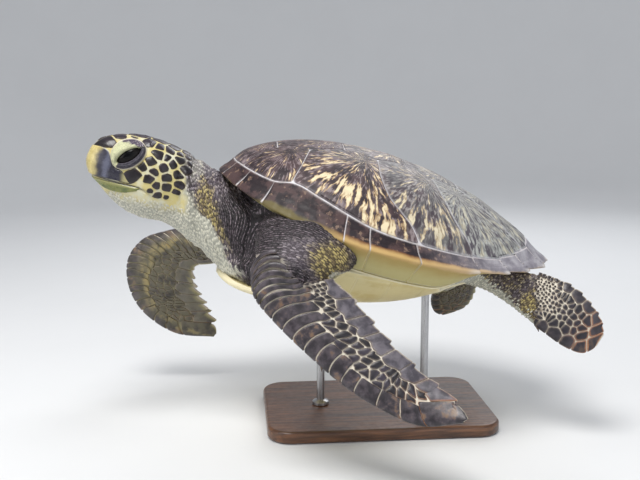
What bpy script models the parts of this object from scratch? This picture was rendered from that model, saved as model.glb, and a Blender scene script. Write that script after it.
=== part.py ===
"""Green sea turtle, a still life-size model of a young swimming animal on a plain display stand.

The animal is drawn in its own body frame (x forward, y to its left, z up), where every length is a
fraction of the straight length of the shell. The pose empty then lifts, pitches and rolls it above the
stand, so that it heads along -Y of the world with its left side towards +X. The origin is the middle of
the base's underside.
"""
import math

import bmesh
import bpy
import numpy as np
from mathutils import Matrix, Vector

# Driving dimensions, in metres and degrees.
SHELL_LENGTH = 0.50
PITCH = 15.0               # nose up
ROLL = 3.0                 # left side down
BODY_HEIGHT = 0.305        # body frame's origin above the floor
BODY_SHIFT = (0.0, 0.015)  # body frame's origin from the middle of the base
GAP = 0.0004               # clearance between touching solids
PLATE = 0.018              # shell plate thickness, in shell lengths
BASE_SIZE = (0.23, 0.34, 0.018)
BASE_CORNER = 0.035
BASE_BEVEL = 0.003
ROD_RADIUS = 0.006
ROD_PLACES = {"stand_rod_front": (0.0, -0.085), "stand_rod_rear": (0.0, 0.075)}
ROD_BITE = 0.004           # how far a rod's axis runs into the belly plate before it is trimmed

# Shell, in shell lengths: plan outline of the left half, from the nape to the tail.
SHELL_CENTRE = 0.08
OUTLINE = ((0.517, 0.0), (0.502, 0.09), (0.456, 0.185), (0.372, 0.272), (0.25, 0.340), (0.12, 0.376),
           (0.0, 0.385), (-0.12, 0.370), (-0.24, 0.318), (-0.34, 0.242), (-0.42, 0.160), (-0.480, 0.075),
           (-0.500, 0.0))
DOME_HEIGHT = 0.181
RIM_SAG = 0.034            # how far the rim dips over the bridge
RIM_ARCH = 0.020           # how far the rim rises over the neck
RIM_FLARE = 0.86           # share of the radius from which the dome flares out to the rim
RIM_SLOPE = (0.80, 0.30)   # slope of the flared rim: at the front and sides, and at the tail
RIM_TURN = 0.87            # inner edge of the rim's underside, as a share of the radius
DOME_SHARES = (0.18, 0.36, 0.53, 0.68, 0.80)
BELLY_X = (-0.50, -0.38, -0.28, -0.17, -0.08, 0.04, 0.20, 0.33, 0.40, 0.46)
BELLY_Z = (-0.070, -0.108, -0.132, -0.168, -0.204, -0.240, -0.268, -0.282, -0.284, -0.276)
FLANGE_DROP = (0.028, 0.078)   # fall of the rim's underside inwards: at the openings and at the bridge
FLESH_REACH = (0.80, 0.862)    # how far out the trunk's flesh goes: at the openings and at the bridge
# Edges of the rim plates, counted from the nape as shares of each side, and how far the rear ones jut out.
RIM_PLATES = (0.055, 0.15, 0.245, 0.40, 0.455, 0.56, 0.67, 0.755, 0.835, 0.92, 1.0)
RIM_TOOTH = 0.014
# Belly plate: half width by station, before the bridge reaches out to the rim.
PLASTRON_X = (-0.385, -0.36, -0.30, -0.20, -0.10, 0.04, 0.20, 0.30, 0.38, 0.435, 0.455)
PLASTRON_Y = (0.030, 0.060, 0.100, 0.150, 0.175, 0.190, 0.205, 0.190, 0.150, 0.100, 0.055)
BRIDGE = ((-0.20, -0.11), (0.13, 0.20))   # where the bridge starts and ends, rear and front

# Head and neck: station, top, underside, sideways shift, half width, and level of the widest part.
HEAD = ((0.28, -0.02, -0.225, 0.000, 0.165, -0.12), (0.40, -0.012, -0.255, 0.000, 0.150, -0.12),
        (0.455, -0.004, -0.258, 0.000, 0.138, -0.12), (0.505, 0.006, -0.234, 0.002, 0.120, -0.11),
        (0.549, 0.018, -0.211, 0.003, 0.106, -0.09), (0.597, 0.036, -0.186, 0.006, 0.095, -0.07),
        (0.642, 0.047, -0.172, 0.010, 0.097, -0.06), (0.700, 0.057, -0.174, 0.015, 0.098, -0.055),
        (0.750, 0.056, -0.163, 0.021, 0.088, -0.050), (0.790, 0.051, -0.143, 0.026, 0.074, -0.045),
        (0.830, 0.040, -0.114, 0.031, 0.058, -0.040), (0.860, 0.023, -0.088, 0.035, 0.042, -0.038),
        (0.877, 0.000, -0.068, 0.037, 0.027, -0.038), (0.885, -0.028, -0.050, 0.038, 0.008, -0.038))
HEAD_BACK = ((0.600, 0.08), (0.560, -0.20))       # side view of the cut behind the skull, top and bottom
EYE_CENTRE = (0.772, 0.052, 0.002)                # y from the head's own midline
EYE_RADIUS = 0.030
BEAK_UPPER = ((0.93, 0.030), (0.868, 0.006), (0.840, -0.020), (0.775, -0.076), (0.868, -0.082),
              (0.93, -0.086))
BEAK_LOWER = ((0.93, -0.088), (0.868, -0.084), (0.790, -0.079), (0.797, -0.16), (0.93, -0.16))

# Limbs: leading edge, trailing edge and thickness by station, from inside the trunk to the tip.
ARM_LEFT = (
    (0.360, 0.120, -0.130, 0.140, 0.120, -0.090, 0.200),
    (0.385, 0.250, -0.105, 0.120, 0.260, -0.065, 0.200),
    (0.388, 0.340, -0.120, 0.115, 0.345, -0.075, 0.170),
    (0.380, 0.410, -0.160, 0.145, 0.395, -0.095, 0.115),
    (0.360, 0.440, -0.210, 0.175, 0.415, -0.125, 0.068),
    (0.304, 0.460, -0.251, 0.131, 0.430, -0.150, 0.052),
    (0.214, 0.500, -0.298, 0.066, 0.470, -0.192, 0.042),
    (0.108, 0.545, -0.344, 0.004, 0.510, -0.230, 0.034),
    (0.012, 0.585, -0.369, -0.088, 0.550, -0.276, 0.027),
    (-0.092, 0.620, -0.377, -0.152, 0.600, -0.297, 0.020),
    (-0.182, 0.648, -0.336, -0.189, 0.652, -0.326, 0.010),
)
ARM_RIGHT = (
    (0.360, -0.120, -0.130, 0.140, -0.120, -0.100, 0.190),
    (0.400, -0.220, -0.115, 0.200, -0.250, -0.130, 0.170),
    (0.470, -0.262, -0.160, 0.320, -0.265, -0.240, 0.115),
    (0.555, -0.280, -0.225, 0.450, -0.265, -0.320, 0.075),
    (0.630, -0.300, -0.268, 0.508, -0.285, -0.350, 0.058),
    (0.700, -0.315, -0.318, 0.519, -0.300, -0.385, 0.050),
    (0.732, -0.325, -0.400, 0.505, -0.310, -0.425, 0.043),
    (0.707, -0.340, -0.496, 0.479, -0.320, -0.460, 0.036),
    (0.638, -0.350, -0.572, 0.448, -0.330, -0.495, 0.030),
    (0.522, -0.355, -0.616, 0.417, -0.340, -0.534, 0.022),
    (0.394, -0.356, -0.598, 0.390, -0.354, -0.588, 0.010),
)
LEG_LEFT = (
    (-0.220, 0.060, -0.130, -0.240, 0.090, -0.030, 0.110),
    (-0.300, 0.135, -0.116, -0.342, 0.125, -0.035, 0.095),
    (-0.365, 0.180, -0.131, -0.423, 0.160, -0.023, 0.066),
    (-0.422, 0.215, -0.151, -0.479, 0.185, -0.022, 0.046),
    (-0.476, 0.245, -0.170, -0.531, 0.215, -0.030, 0.036),
    (-0.532, 0.270, -0.189, -0.577, 0.243, -0.056, 0.028),
    (-0.581, 0.288, -0.191, -0.611, 0.265, -0.088, 0.022),
    (-0.613, 0.292, -0.165, -0.628, 0.283, -0.126, 0.014),
)
LEG_RIGHT = (
    (-0.220, -0.060, -0.130, -0.250, -0.090, -0.040, 0.110),
    (-0.245, -0.120, -0.135, -0.335, -0.120, -0.060, 0.095),
    (-0.252, -0.165, -0.190, -0.360, -0.160, -0.110, 0.066),
    (-0.260, -0.205, -0.237, -0.385, -0.195, -0.155, 0.046),
    (-0.272, -0.232, -0.275, -0.398, -0.222, -0.195, 0.034),
    (-0.295, -0.250, -0.303, -0.400, -0.242, -0.238, 0.024),
    (-0.325, -0.258, -0.312, -0.388, -0.254, -0.272, 0.014),
)
# Root and blade of each limb, and by kind: scallops of the trailing edge and their depth, rings, points
# round a ring, and the share of the length where the blade starts.
LIMBS = (("arm_left", "flipper_front_left", ARM_LEFT, "front"),
         ("arm_right", "flipper_front_right", ARM_RIGHT, "front"),
         ("leg_left", "flipper_hind_left", LEG_LEFT, "hind"),
         ("leg_right", "flipper_hind_right", LEG_RIGHT, "hind"))
LIMB_SHAPE = {"front": (9, 0.007, 23, 14, 0.36), "hind": (5, 0.008, 14, 12, 0.36)}
CLAW_STATION = {"front": 0.65, "hind": 0.52}
CLAW_SIZE = (0.017, 0.0070)
TAIL = ((-0.33, -0.078, 0.045), (-0.40, -0.082, 0.036), (-0.45, -0.086, 0.024), (-0.50, -0.092, 0.006))

COLOURS = {"scale": (0.085, 0.065, 0.070), "skin": (0.42, 0.38, 0.22), "shell": (0.16, 0.12, 0.11),
           "belly": (0.62, 0.56, 0.30), "horn": (0.48, 0.43, 0.22), "eye": (0.008, 0.008, 0.010),
           "claw": (0.30, 0.24, 0.16), "stand": (0.60, 0.45, 0.28), "rod": (0.55, 0.56, 0.58)}


def hermite(xs, ys, x):
    """Smooth curve through the points (xs, ys), read at x, with its ends held."""
    xs, ys, x = np.asarray(xs, float), np.asarray(ys, float), np.clip(np.asarray(x, float), xs[0], xs[-1])
    slopes = np.gradient(ys, xs, axis=0)
    low = np.clip(np.searchsorted(xs, x, side="right") - 1, 0, len(xs) - 2)
    span = xs[low + 1] - xs[low]
    t = (x - xs[low]) / span
    if ys.ndim > 1:
        t, span = t[..., None], span[..., None]
    rise = (1 + 2 * t) * (1 - t) ** 2 * ys[low] + t * (1 - t) ** 2 * span * slopes[low]
    return rise + t * t * (3 - 2 * t) * ys[low + 1] - t * t * (1 - t) * span * slopes[low + 1]


def smoothstep(a, b, x):
    """Ease from 0 at a to 1 at b."""
    t = np.clip((np.asarray(x, float) - a) / (b - a), 0.0, 1.0)
    return t * t * (3 - 2 * t)


# ---------------------------------------------------------------- shell

def rim_radius(turn):
    """Plain radius of the shell's plan outline at a turn, from the nape (0) to the tail (pi)."""
    points = np.array(OUTLINE) - (SHELL_CENTRE, 0.0)
    return hermite(np.arctan2(points[:, 1], points[:, 0]), np.hypot(*points.T), np.abs(turn))


def rim_share(turn):
    """Share of the way along one side's rim, from the nape to the tail, at a turn."""
    fine = np.linspace(0, math.pi, 400)
    x, y = rim_radius(fine) * np.cos(fine), rim_radius(fine) * np.sin(fine)
    run = np.concatenate([[0], np.cumsum(np.hypot(np.diff(x), np.diff(y)))])
    return np.interp(np.abs(turn), fine, run / run[-1])


def rim_tooth(turn):
    """How far the rim juts out of its plain outline: each rear plate ends in a low tooth."""
    share = rim_share(turn)
    edges = np.array((0.0,) + RIM_PLATES)
    plate = np.clip(np.searchsorted(edges, share, side="right") - 1, 0, len(edges) - 2)
    along = (share - edges[plate]) / (edges[plate + 1] - edges[plate])
    return RIM_TOOTH * smoothstep(0.50, 0.80, share) * (along ** 1.6 - 0.35)


def rim_height(x):
    """Height of the rim at a station along the body."""
    arch = RIM_ARCH * np.clip((x - 0.1) / 0.4, 0, 1) ** 2
    return arch - RIM_SAG * (1 - np.clip(np.abs(x) / 0.5, 0, 1) ** 2)


def dome(turn, share):
    """Upper surface of the shell at a turn and a share of the radius."""
    facing = np.cos(turn)
    radius = rim_radius(turn) + rim_tooth(turn) * smoothstep(0.80, 1.0, share)
    x, y = SHELL_CENTRE + radius * share * np.cos(turn), radius * share * np.sin(turn)
    rim = rim_height(SHELL_CENTRE + radius * np.cos(turn))
    fall = 2.2 + 0.2 * facing - 0.1 * facing ** 2
    fullness = 0.75 - 0.14 * facing + 0.06 * facing ** 2
    swell = (DOME_HEIGHT - rim) * np.clip(1 - share ** fall, 0, 1) ** fullness
    flare = smoothstep(RIM_FLARE, 1.0, share)
    slope = RIM_SLOPE[0] + (RIM_SLOPE[1] - RIM_SLOPE[0]) * smoothstep(0.3, 1.0, -facing)
    return np.stack([x, y, rim + swell + (slope * radius * (1 - share) - swell) * flare], -1)


def underside(turn, share):
    """Lower surface of the shell and belly at a turn and a share of the radius."""
    facing = np.cos(turn)
    radius = rim_radius(turn) + rim_tooth(turn) * smoothstep(0.80, 1.0, share)
    x, y = SHELL_CENTRE + radius * share * np.cos(turn), radius * share * np.sin(turn)
    rim = rim_height(SHELL_CENTRE + radius * np.cos(turn))
    power = 3.5 + 26 * smoothstep(0.62, 1.0, facing) + 0.5 * smoothstep(0.3, 1.0, -facing)
    weight = share ** power
    return np.stack([x, y, rim * weight + hermite(BELLY_X, BELLY_Z, x) * (1 - weight)], -1)


def shell_turns():
    """Turns about the shell's centre at which its solids have their points."""
    return np.linspace(-math.pi, math.pi, 48, endpoint=False)


def flange(turn, share):
    """Underside of the rim: it falls a little towards its inner edge, and more along the bridge."""
    point = dome(turn, share)
    rim = rim_height(SHELL_CENTRE + rim_radius(turn) * np.cos(turn))
    x = rim_radius(turn) * np.cos(turn) + SHELL_CENTRE
    bridge = smoothstep(-0.30, -0.12, x) * (1 - smoothstep(0.12, 0.24, x))
    drop = FLANGE_DROP[0] + (FLANGE_DROP[1] - FLANGE_DROP[0]) * bridge
    point[..., 2] = rim - drop * (1 - share) / (1 - RIM_TURN)
    return point


def reach(x, share):
    """Half width of the shell's plan at a station, at a share of the radius."""
    low, high = 0.0, 0.5
    for _ in range(40):
        y = (low + high) / 2
        turn = math.atan2(y, x - SHELL_CENTRE)
        inside = math.hypot(x - SHELL_CENTRE, y) < share * float(rim_radius(turn))
        low, high = (y, high) if inside else (low, y)
    return low


def plastron_half_width(x):
    """Half width of the belly plate at a station: it reaches out to the rim along the bridge."""
    bridge = smoothstep(*BRIDGE[0], x) * (1 - smoothstep(*BRIDGE[1], x))
    plain = float(hermite(PLASTRON_X, PLASTRON_Y, x))
    edge = reach(x, RIM_TURN) - 2 * GAP / SHELL_LENGTH
    return plain + (edge - plain) * float(bridge)


# ---------------------------------------------------------------- meshes

def make_object(name, points, faces, material):
    """Closed mesh object from points in shell lengths and faces, turned outward."""
    mesh = bpy.data.meshes.new(name)
    mesh.from_pydata((np.asarray(points) * SHELL_LENGTH).tolist(), [], faces)
    return add_object(name, mesh, material)


def add_object(name, mesh, material):
    """Object of a mesh, with the mesh's faces turned outward and its material set."""
    shape = bmesh.new()
    shape.from_mesh(mesh)
    bmesh.ops.remove_doubles(shape, verts=shape.verts, dist=1e-6)
    bmesh.ops.triangulate(shape, faces=shape.faces)
    bmesh.ops.recalc_face_normals(shape, faces=shape.faces)
    if shape.calc_volume(signed=True) < 0:
        bmesh.ops.reverse_faces(shape, faces=shape.faces)
    shape.to_mesh(mesh)
    shape.free()
    mesh.shade_smooth()
    mesh.set_sharp_from_angle(angle=math.radians(50))
    mesh.materials.clear()
    mesh.materials.append(material)
    obj = bpy.data.objects.new(name, mesh)
    bpy.context.scene.collection.objects.link(obj)
    return obj


def loft(rings):
    """Points and faces of a closed body through equal rings, with a point in the middle of each end."""
    rings = [np.asarray(ring, float) for ring in rings]
    count = len(rings[0])
    points = [rings[0].mean(0)] + [p for ring in rings for p in ring] + [rings[-1].mean(0)]
    last = len(points) - 1
    faces = []
    for j in range(count):
        k = (j + 1) % count
        faces.append((0, 1 + k, 1 + j))
        faces.append((last, last - count + j, last - count + k))
        for i in range(len(rings) - 1):
            a, b = 1 + i * count, 1 + (i + 1) * count
            faces.append((a + j, a + k, b + k, b + j))
    return points, faces


def grown(obj, distance):
    """Scratch copy of an object, pushed out along its normals."""
    mesh = obj.data.copy()
    for vertex, normal in zip(mesh.vertices, [v.normal.copy() for v in mesh.vertices]):
        vertex.co += normal * distance
    copy = bpy.data.objects.new(obj.name + "_cutter", mesh)
    bpy.context.scene.collection.objects.link(copy)
    copy.parent = obj.parent
    copy.hide_render = True
    copy.display_type = "WIRE"
    return copy


def trim(obj, tool, operation="DIFFERENCE"):
    """Cut an object by a tool for good, and keep its largest body."""
    cut = obj.modifiers.new("cut", "BOOLEAN")
    cut.operation, cut.solver, cut.object, cut.use_self = operation, "EXACT", tool, True
    bpy.context.view_layer.update()
    mesh = bpy.data.meshes.new_from_object(obj.evaluated_get(bpy.context.evaluated_depsgraph_get()))
    obj.modifiers.remove(cut)
    shape = bmesh.new()
    shape.from_mesh(mesh)
    bmesh.ops.dissolve_degenerate(shape, dist=2e-5, edges=shape.edges)
    bmesh.ops.triangulate(shape, faces=shape.faces)
    keep_largest(shape)
    shape.to_mesh(mesh)
    shape.free()
    mesh.shade_smooth()
    mesh.set_sharp_from_angle(angle=math.radians(50))
    obj.data = mesh


def keep_largest(shape):
    """Delete every loose body of a bmesh but the one with the most faces."""
    unseen, bodies = set(shape.faces), []
    while unseen:
        body, edge = set(), [unseen.pop()]
        while edge:
            face = edge.pop()
            body.add(face)
            near = {f for e in face.edges for f in e.link_faces} & unseen
            unseen -= near
            edge.extend(near)
        bodies.append(body)
    bodies.sort(key=len)
    extra = [face for body in bodies[:-1] for face in body]
    bmesh.ops.delete(shape, geom=extra, context="FACES")
    bmesh.ops.delete(shape, geom=[v for v in shape.verts if not v.link_faces], context="VERTS")


def material(name, roughness=0.55, metallic=0.0):
    """Principled material of a named colour."""
    made = bpy.data.materials.new(name)
    made.use_nodes = True
    shader = made.node_tree.nodes["Principled BSDF"]
    shader.inputs["Base Color"].default_value = (*COLOURS[name], 1.0)
    shader.inputs["Roughness"].default_value = roughness
    shader.inputs["Metallic"].default_value = metallic
    return made


# ---------------------------------------------------------------- body pieces

def carapace(look):
    """Upper shell: a domed plate that turns under at the rim."""
    turns = shell_turns()
    lift = np.array((0, 0, PLATE))
    rings = [dome(turns, s) for s in (*DOME_SHARES, 0.90, 0.955)]
    rings += [dome(turns, 1.0) - (0, 0, 0.004), flange(turns, 0.985) - (0, 0, 0.003)]
    rings += [flange(turns, 0.93), flange(turns, RIM_TURN), flange(turns, RIM_TURN) + lift * 0.8]
    rings += [dome(turns, s) - lift for s in (0.90, *reversed(DOME_SHARES))]
    return make_object("carapace", *loft(rings), look)


def plastron(look):
    """Belly plate with its bridges to the rim."""
    stations = np.linspace(PLASTRON_X[0], PLASTRON_X[-1], 20)
    across = np.sin(np.linspace(-math.pi / 2, math.pi / 2, 11))
    outer = []
    for x in stations:
        y = across * plastron_half_width(x)
        turn = np.arctan2(y, x - SHELL_CENTRE)
        share = np.hypot(x - SHELL_CENTRE, y) / rim_radius(turn)
        outer.append(np.column_stack([np.full_like(y, x), y, underside(turn, share)[:, 2]]))
    outer = np.array(outer)
    inner = outer + (0, 0, PLATE)
    rows, cols = outer.shape[:2]
    points = np.concatenate([outer.reshape(-1, 3), inner.reshape(-1, 3)])

    def at(i, j, side):
        """Index of a grid point on the outer (0) or inner (1) sheet."""
        return side * rows * cols + i * cols + j

    faces = []
    for i in range(rows - 1):
        for j in range(cols - 1):
            for side in (0, 1):
                far = (at(i + 1, j + 1, side), at(i, j + 1, side))
                faces.append((at(i, j, side), at(i + 1, j, side), *far))
        for j in (0, cols - 1):
            faces.append((at(i, j, 0), at(i + 1, j, 0), at(i + 1, j, 1), at(i, j, 1)))
    for j in range(cols - 1):
        for i in (0, rows - 1):
            faces.append((at(i, j, 0), at(i, j + 1, 0), at(i, j + 1, 1), at(i, j, 1)))
    return make_object("plastron", points, faces, look)


def trunk(look):
    """Flesh of the trunk: it fills the shell under the dome, and stands back at the two openings."""
    turns = shell_turns()
    x = rim_radius(turns) * np.cos(turns) + SHELL_CENTRE
    bridge = smoothstep(-0.26, -0.16, x) * (1 - smoothstep(0.14, 0.22, x))
    reach_share = FLESH_REACH[0] + (FLESH_REACH[1] - FLESH_REACH[0]) * bridge
    under_dome = np.array((0, 0, PLATE + 2.5 * GAP / SHELL_LENGTH))
    rings = [dome(turns, s) - under_dome for s in DOME_SHARES]
    for share in (1.0, 0.96, 0.84, 0.66, 0.42):
        ring = underside(turns, share * reach_share) + (0, 0, PLATE / 2)
        if share > 0.98:
            ring[:, 2] = (ring[:, 2] + rings[-1][:, 2]) / 2
        rings.append(ring)
    return make_object("trunk", *loft(rings), look)


def head_ring(row, turns):
    """One ring of the head and neck: an oval with its own upper and lower half."""
    x, top, under, shift, half_width, level = row
    side, rise = np.cos(turns), np.sin(turns)
    height = np.where(rise > 0, top - level, level - under)
    fullness = np.where(rise > 0, 0.86, 0.94)
    y = shift + half_width * np.sign(side) * np.abs(side) ** 0.90
    z = level + height * np.sign(rise) * np.abs(rise) ** fullness
    return np.column_stack([np.full_like(y, x), y, z])


def head_and_neck(look):
    """Head and neck in one smooth body, to be parted later."""
    rows = np.array(HEAD)
    along = np.linspace(0, 1, 23)
    rows = hermite(np.linspace(0, 1, len(rows)), rows, along)
    turns = np.linspace(0, 2 * math.pi, 20, endpoint=False)
    return make_object("neck", *loft([head_ring(row, turns) for row in rows]), look)


def limb_rings(stations, teeth, scallop, rows, count):
    """Rings of a limb: a round root that flattens into a blade with a scalloped trailing edge."""
    data = np.array(stations)
    along = np.linspace(0, 1, rows)
    data = hermite(np.linspace(0, 1, len(data)), data, along)
    lead, trail, thick = data[:, :3], data[:, 3:6], data[:, 6]
    chord = lead - trail
    size = np.linalg.norm(chord, axis=1)
    blade = smoothstep(0.40, 0.55, along) * (1 - smoothstep(0.93, 1.0, along))
    wave = np.abs(np.sin(math.pi * teeth * along))
    trail = trail - chord * (scallop * blade * wave / size)[:, None]
    chord, middle = lead - trail, (lead + trail) / 2
    normal = np.cross(chord, np.gradient(middle, axis=0))
    normal /= np.linalg.norm(normal, axis=1)[:, None]
    turns = np.linspace(0, 2 * math.pi, count, endpoint=False)
    flat = smoothstep(0.15, 0.45, along)
    rings = []
    for i in range(rows):
        fore = np.cos(turns)
        taper = 1 + flat[i] * (0.30 * fore - 0.12)
        rise = thick[i] / 2 * np.sin(turns) * taper
        rings.append(middle[i] + np.outer(fore / 2, chord[i]) + np.outer(rise, normal[i]))
    return rings


def limb(name, stations, teeth, scallop, rows, count, look):
    """Whole limb, root to tip."""
    return make_object(name, *loft(limb_rings(stations, teeth, scallop, rows, count)), look)


def claw(name, stations, share, look):
    """Small horn claw on the leading edge of a limb."""
    rows = np.array(stations)[:, :6]
    spot = hermite(np.linspace(0, 1, len(rows)), rows, np.array([share, share + 0.05]))
    lead, chord = spot[0, :3], spot[0, :3] - spot[0, 3:]
    chord /= np.linalg.norm(chord)
    onward = spot[1, :3] - lead
    onward /= np.linalg.norm(onward)
    point = 0.75 * chord + 0.65 * onward
    point /= np.linalg.norm(point)
    side = np.cross(point, np.cross(chord, onward))
    side /= np.linalg.norm(side)
    third = np.cross(point, side)
    length, radius = CLAW_SIZE
    turns = np.linspace(0, 2 * math.pi, 7, endpoint=False)
    rings = []
    for along, wide in ((-0.45, 1.0), (0.2, 0.9), (0.65, 0.55), (1.0, 0.12)):
        centre = lead + point * length * along
        around = np.outer(np.cos(turns), side) + 0.8 * np.outer(np.sin(turns), third)
        rings.append(centre + radius * wide * around)
    return make_object(name, *loft(rings), look)


def tail(look):
    """Short tail of a young animal."""
    turns = np.linspace(0, 2 * math.pi, 10, endpoint=False)
    rings = [np.column_stack([np.full(10, x), r * np.cos(turns), z + 0.8 * r * np.sin(turns)])
             for x, z, r in TAIL]
    return make_object("tail", *loft(rings), look)


def head_shift(x):
    """Sideways shift of the head's midline at a station."""
    return float(hermite([row[0] for row in HEAD], [row[3] for row in HEAD], x))


def eye(name, side, look):
    """Eyeball, sunk in its socket."""
    x, y, z = EYE_CENTRE
    centre = np.array((x, head_shift(x) + side * y, z))
    turns = np.linspace(0, 2 * math.pi, 12, endpoint=False)
    rings = []
    for level in np.linspace(0, math.pi, 8)[1:-1]:
        around = np.column_stack([np.cos(turns), np.zeros(12), np.sin(turns)]) * math.sin(level)
        rings.append(centre + EYE_RADIUS * (around - (0, math.cos(level), 0)))
    return make_object(name, *loft(rings), look)


def prism(outline, width, look, inset=0.0):
    """Block with a side-view outline, drawn in by an inset, across the whole head."""
    points = np.array(outline, float)
    area = 0.5 * np.sum(points[:, 0] * np.roll(points[:, 1], -1) - points[:, 1] * np.roll(points[:, 0], -1))
    edges = np.roll(points, -1, axis=0) - points
    normals = np.column_stack([edges[:, 1], -edges[:, 0]]) * math.copysign(1, area)
    normals /= np.linalg.norm(normals, axis=1)[:, None]
    before = np.roll(normals, 1, axis=0)
    miter = (normals + before) / (1 + np.sum(normals * before, axis=1))[:, None]
    points = points - miter * inset
    count = len(points)
    rings = [np.column_stack([points[:, 0], np.full(count, y), points[:, 1]]) for y in (-width, width)]
    faces = [tuple(range(count)), tuple(range(2 * count - 1, count - 1, -1))]
    faces += [(j, (j + 1) % count, count + (j + 1) % count, count + j) for j in range(count)]
    return make_object("cutter", np.concatenate(rings), faces, look)


def half_space(point, normal, look):
    """Large block that fills the far side of a plane."""
    normal = Vector(normal).normalized()
    turn = normal.to_track_quat("Z", "Y").to_matrix()
    square = ((-1, -1), (1, -1), (1, 1), (-1, 1))
    corners = [turn @ Vector((x, y, z)) + Vector(point) for z in (0, 1.2) for x, y in square]
    faces = [(0, 1, 2, 3), (4, 5, 6, 7), (0, 1, 5, 4), (1, 2, 6, 5), (2, 3, 7, 6), (3, 0, 4, 7)]
    return make_object("cutter", [tuple(c) for c in corners], faces, look)


def duplicate(obj, name):
    """Second object with a copy of an object's mesh."""
    copy = bpy.data.objects.new(name, obj.data.copy())
    bpy.context.scene.collection.objects.link(copy)
    return copy


def discard(*objects):
    """Remove scratch objects."""
    for obj in objects:
        bpy.data.objects.remove(obj, do_unlink=True)


def part_by_plane(obj, name, point, normal, look):
    """Split an object by a thin cut, and return the new piece on the plane's far side."""
    far = duplicate(obj, name)
    half = GAP / SHELL_LENGTH / 2
    step = np.array(Vector(normal).normalized()) * half
    keep = half_space(np.array(point) + step, normal, look)
    cut = half_space(np.array(point) - step, normal, look)
    trim(far, keep, "INTERSECT")
    trim(obj, cut)
    discard(keep, cut)
    return far


def limb_plane(stations, share):
    """Point and outward direction of the cut across a limb."""
    rows = np.array(stations)[:, :6]
    spot = hermite(np.linspace(0, 1, len(rows)), rows, np.array([share - 0.05, share, share + 0.05]))
    middle = (spot[:, :3] + spot[:, 3:]) / 2
    chord = spot[1, :3] - spot[1, 3:]
    chord /= np.linalg.norm(chord)
    ahead = middle[2] - middle[0]
    ahead -= chord * ahead.dot(chord)
    return middle[1], ahead / np.linalg.norm(ahead)


def trim_by(obj, tools):
    """Cut an object by grown copies of its neighbours."""
    for tool in tools:
        cutter = grown(tool, GAP)
        trim(obj, cutter)
        discard(cutter)


# ---------------------------------------------------------------- stand

def stand_base(look):
    """Flat base with round corners and a small bevel on its top edge."""
    wide, long, thick = BASE_SIZE
    corners = ((1, 1, 0), (-1, 1, 90), (-1, -1, 180), (1, -1, 270))
    outline = []
    for sx, sy, start in corners:
        for step in range(7):
            a = math.radians(start + 15 * step)
            centre = (sx * (wide / 2 - BASE_CORNER), sy * (long / 2 - BASE_CORNER))
            outline.append((*centre, math.cos(a), math.sin(a)))
    rings = []
    for inset, z in ((0.0, 0.0), (0.0, thick - BASE_BEVEL), (BASE_BEVEL, thick)):
        radius = BASE_CORNER - inset
        rings.append([(x + c * radius, y + s * radius, z) for x, y, c, s in outline])
    return make_object("stand_base", *loft(np.array(rings) / SHELL_LENGTH), look)


def stand_rod(name, place, belly, look):
    """Upright rod from the base into the belly plate, before it is trimmed."""
    x, y = place
    ray_from = Vector((x, y, BASE_SIZE[2]))
    inverse = belly.matrix_world.inverted()
    hit, spot, _, _ = belly.ray_cast(inverse @ ray_from, inverse.to_3x3() @ Vector((0, 0, 1)))
    top = (belly.matrix_world @ spot).z + ROD_BITE if hit else BODY_HEIGHT
    turns = np.linspace(0, 2 * math.pi, 16, endpoint=False)
    around = np.column_stack([x + ROD_RADIUS * np.cos(turns), y + ROD_RADIUS * np.sin(turns)])
    rings = [np.column_stack([around, np.full(16, z)]) for z in (BASE_SIZE[2] + GAP, top)]
    return make_object(name, *loft(np.array(rings) / SHELL_LENGTH), look)


# ---------------------------------------------------------------- assembly

def pose_matrix():
    """Body frame to world: heads along -Y, pitched nose up and rolled to its left."""
    pitch, roll = math.radians(PITCH), math.radians(ROLL)
    forward = Vector((0, -math.cos(pitch), math.sin(pitch)))
    plain_up = Vector((0, math.sin(pitch), math.cos(pitch)))
    left = Vector((1, 0, 0)) * math.cos(roll) - plain_up * math.sin(roll)
    up = plain_up * math.cos(roll) + Vector((1, 0, 0)) * math.sin(roll)
    turn = Matrix((forward, left, up)).transposed().to_4x4()
    return Matrix.Translation((*BODY_SHIFT, BODY_HEIGHT)) @ turn


def build_head(looks):
    """Head, neck, beak and eyes, parted by thin cuts."""
    neck = head_and_neck(looks["skin"])
    top, low = np.array(HEAD_BACK)
    along = top - low
    head = part_by_plane(neck, "head", (low[0], 0, low[1]), (along[1], 0, -along[0]), looks["scale"])
    eyes = [eye("eye_left", 1, looks["eye"]), eye("eye_right", -1, looks["eye"])]
    trim_by(head, eyes)
    beaks = []
    for name, outline in (("beak_upper", BEAK_UPPER), ("beak_lower", BEAK_LOWER)):
        beak = duplicate(head, name)
        inner = prism(outline, 0.2, looks["horn"], GAP / SHELL_LENGTH)
        outer = prism(outline, 0.2, looks["horn"])
        trim(beak, inner, "INTERSECT")
        trim(head, outer)
        discard(inner, outer)
        beaks.append(beak)
    return neck, [head, *beaks, *eyes]


def build_limb(names, stations, kind, looks):
    """Limb parted into its fleshy root and its flipper."""
    teeth, scallop, rows, count, split = LIMB_SHAPE[kind]
    root = limb(names[0], stations, teeth, scallop, rows, count, looks["skin"])
    point, normal = limb_plane(stations, split)
    return root, part_by_plane(root, names[1], point, normal, looks["scale"])


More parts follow.
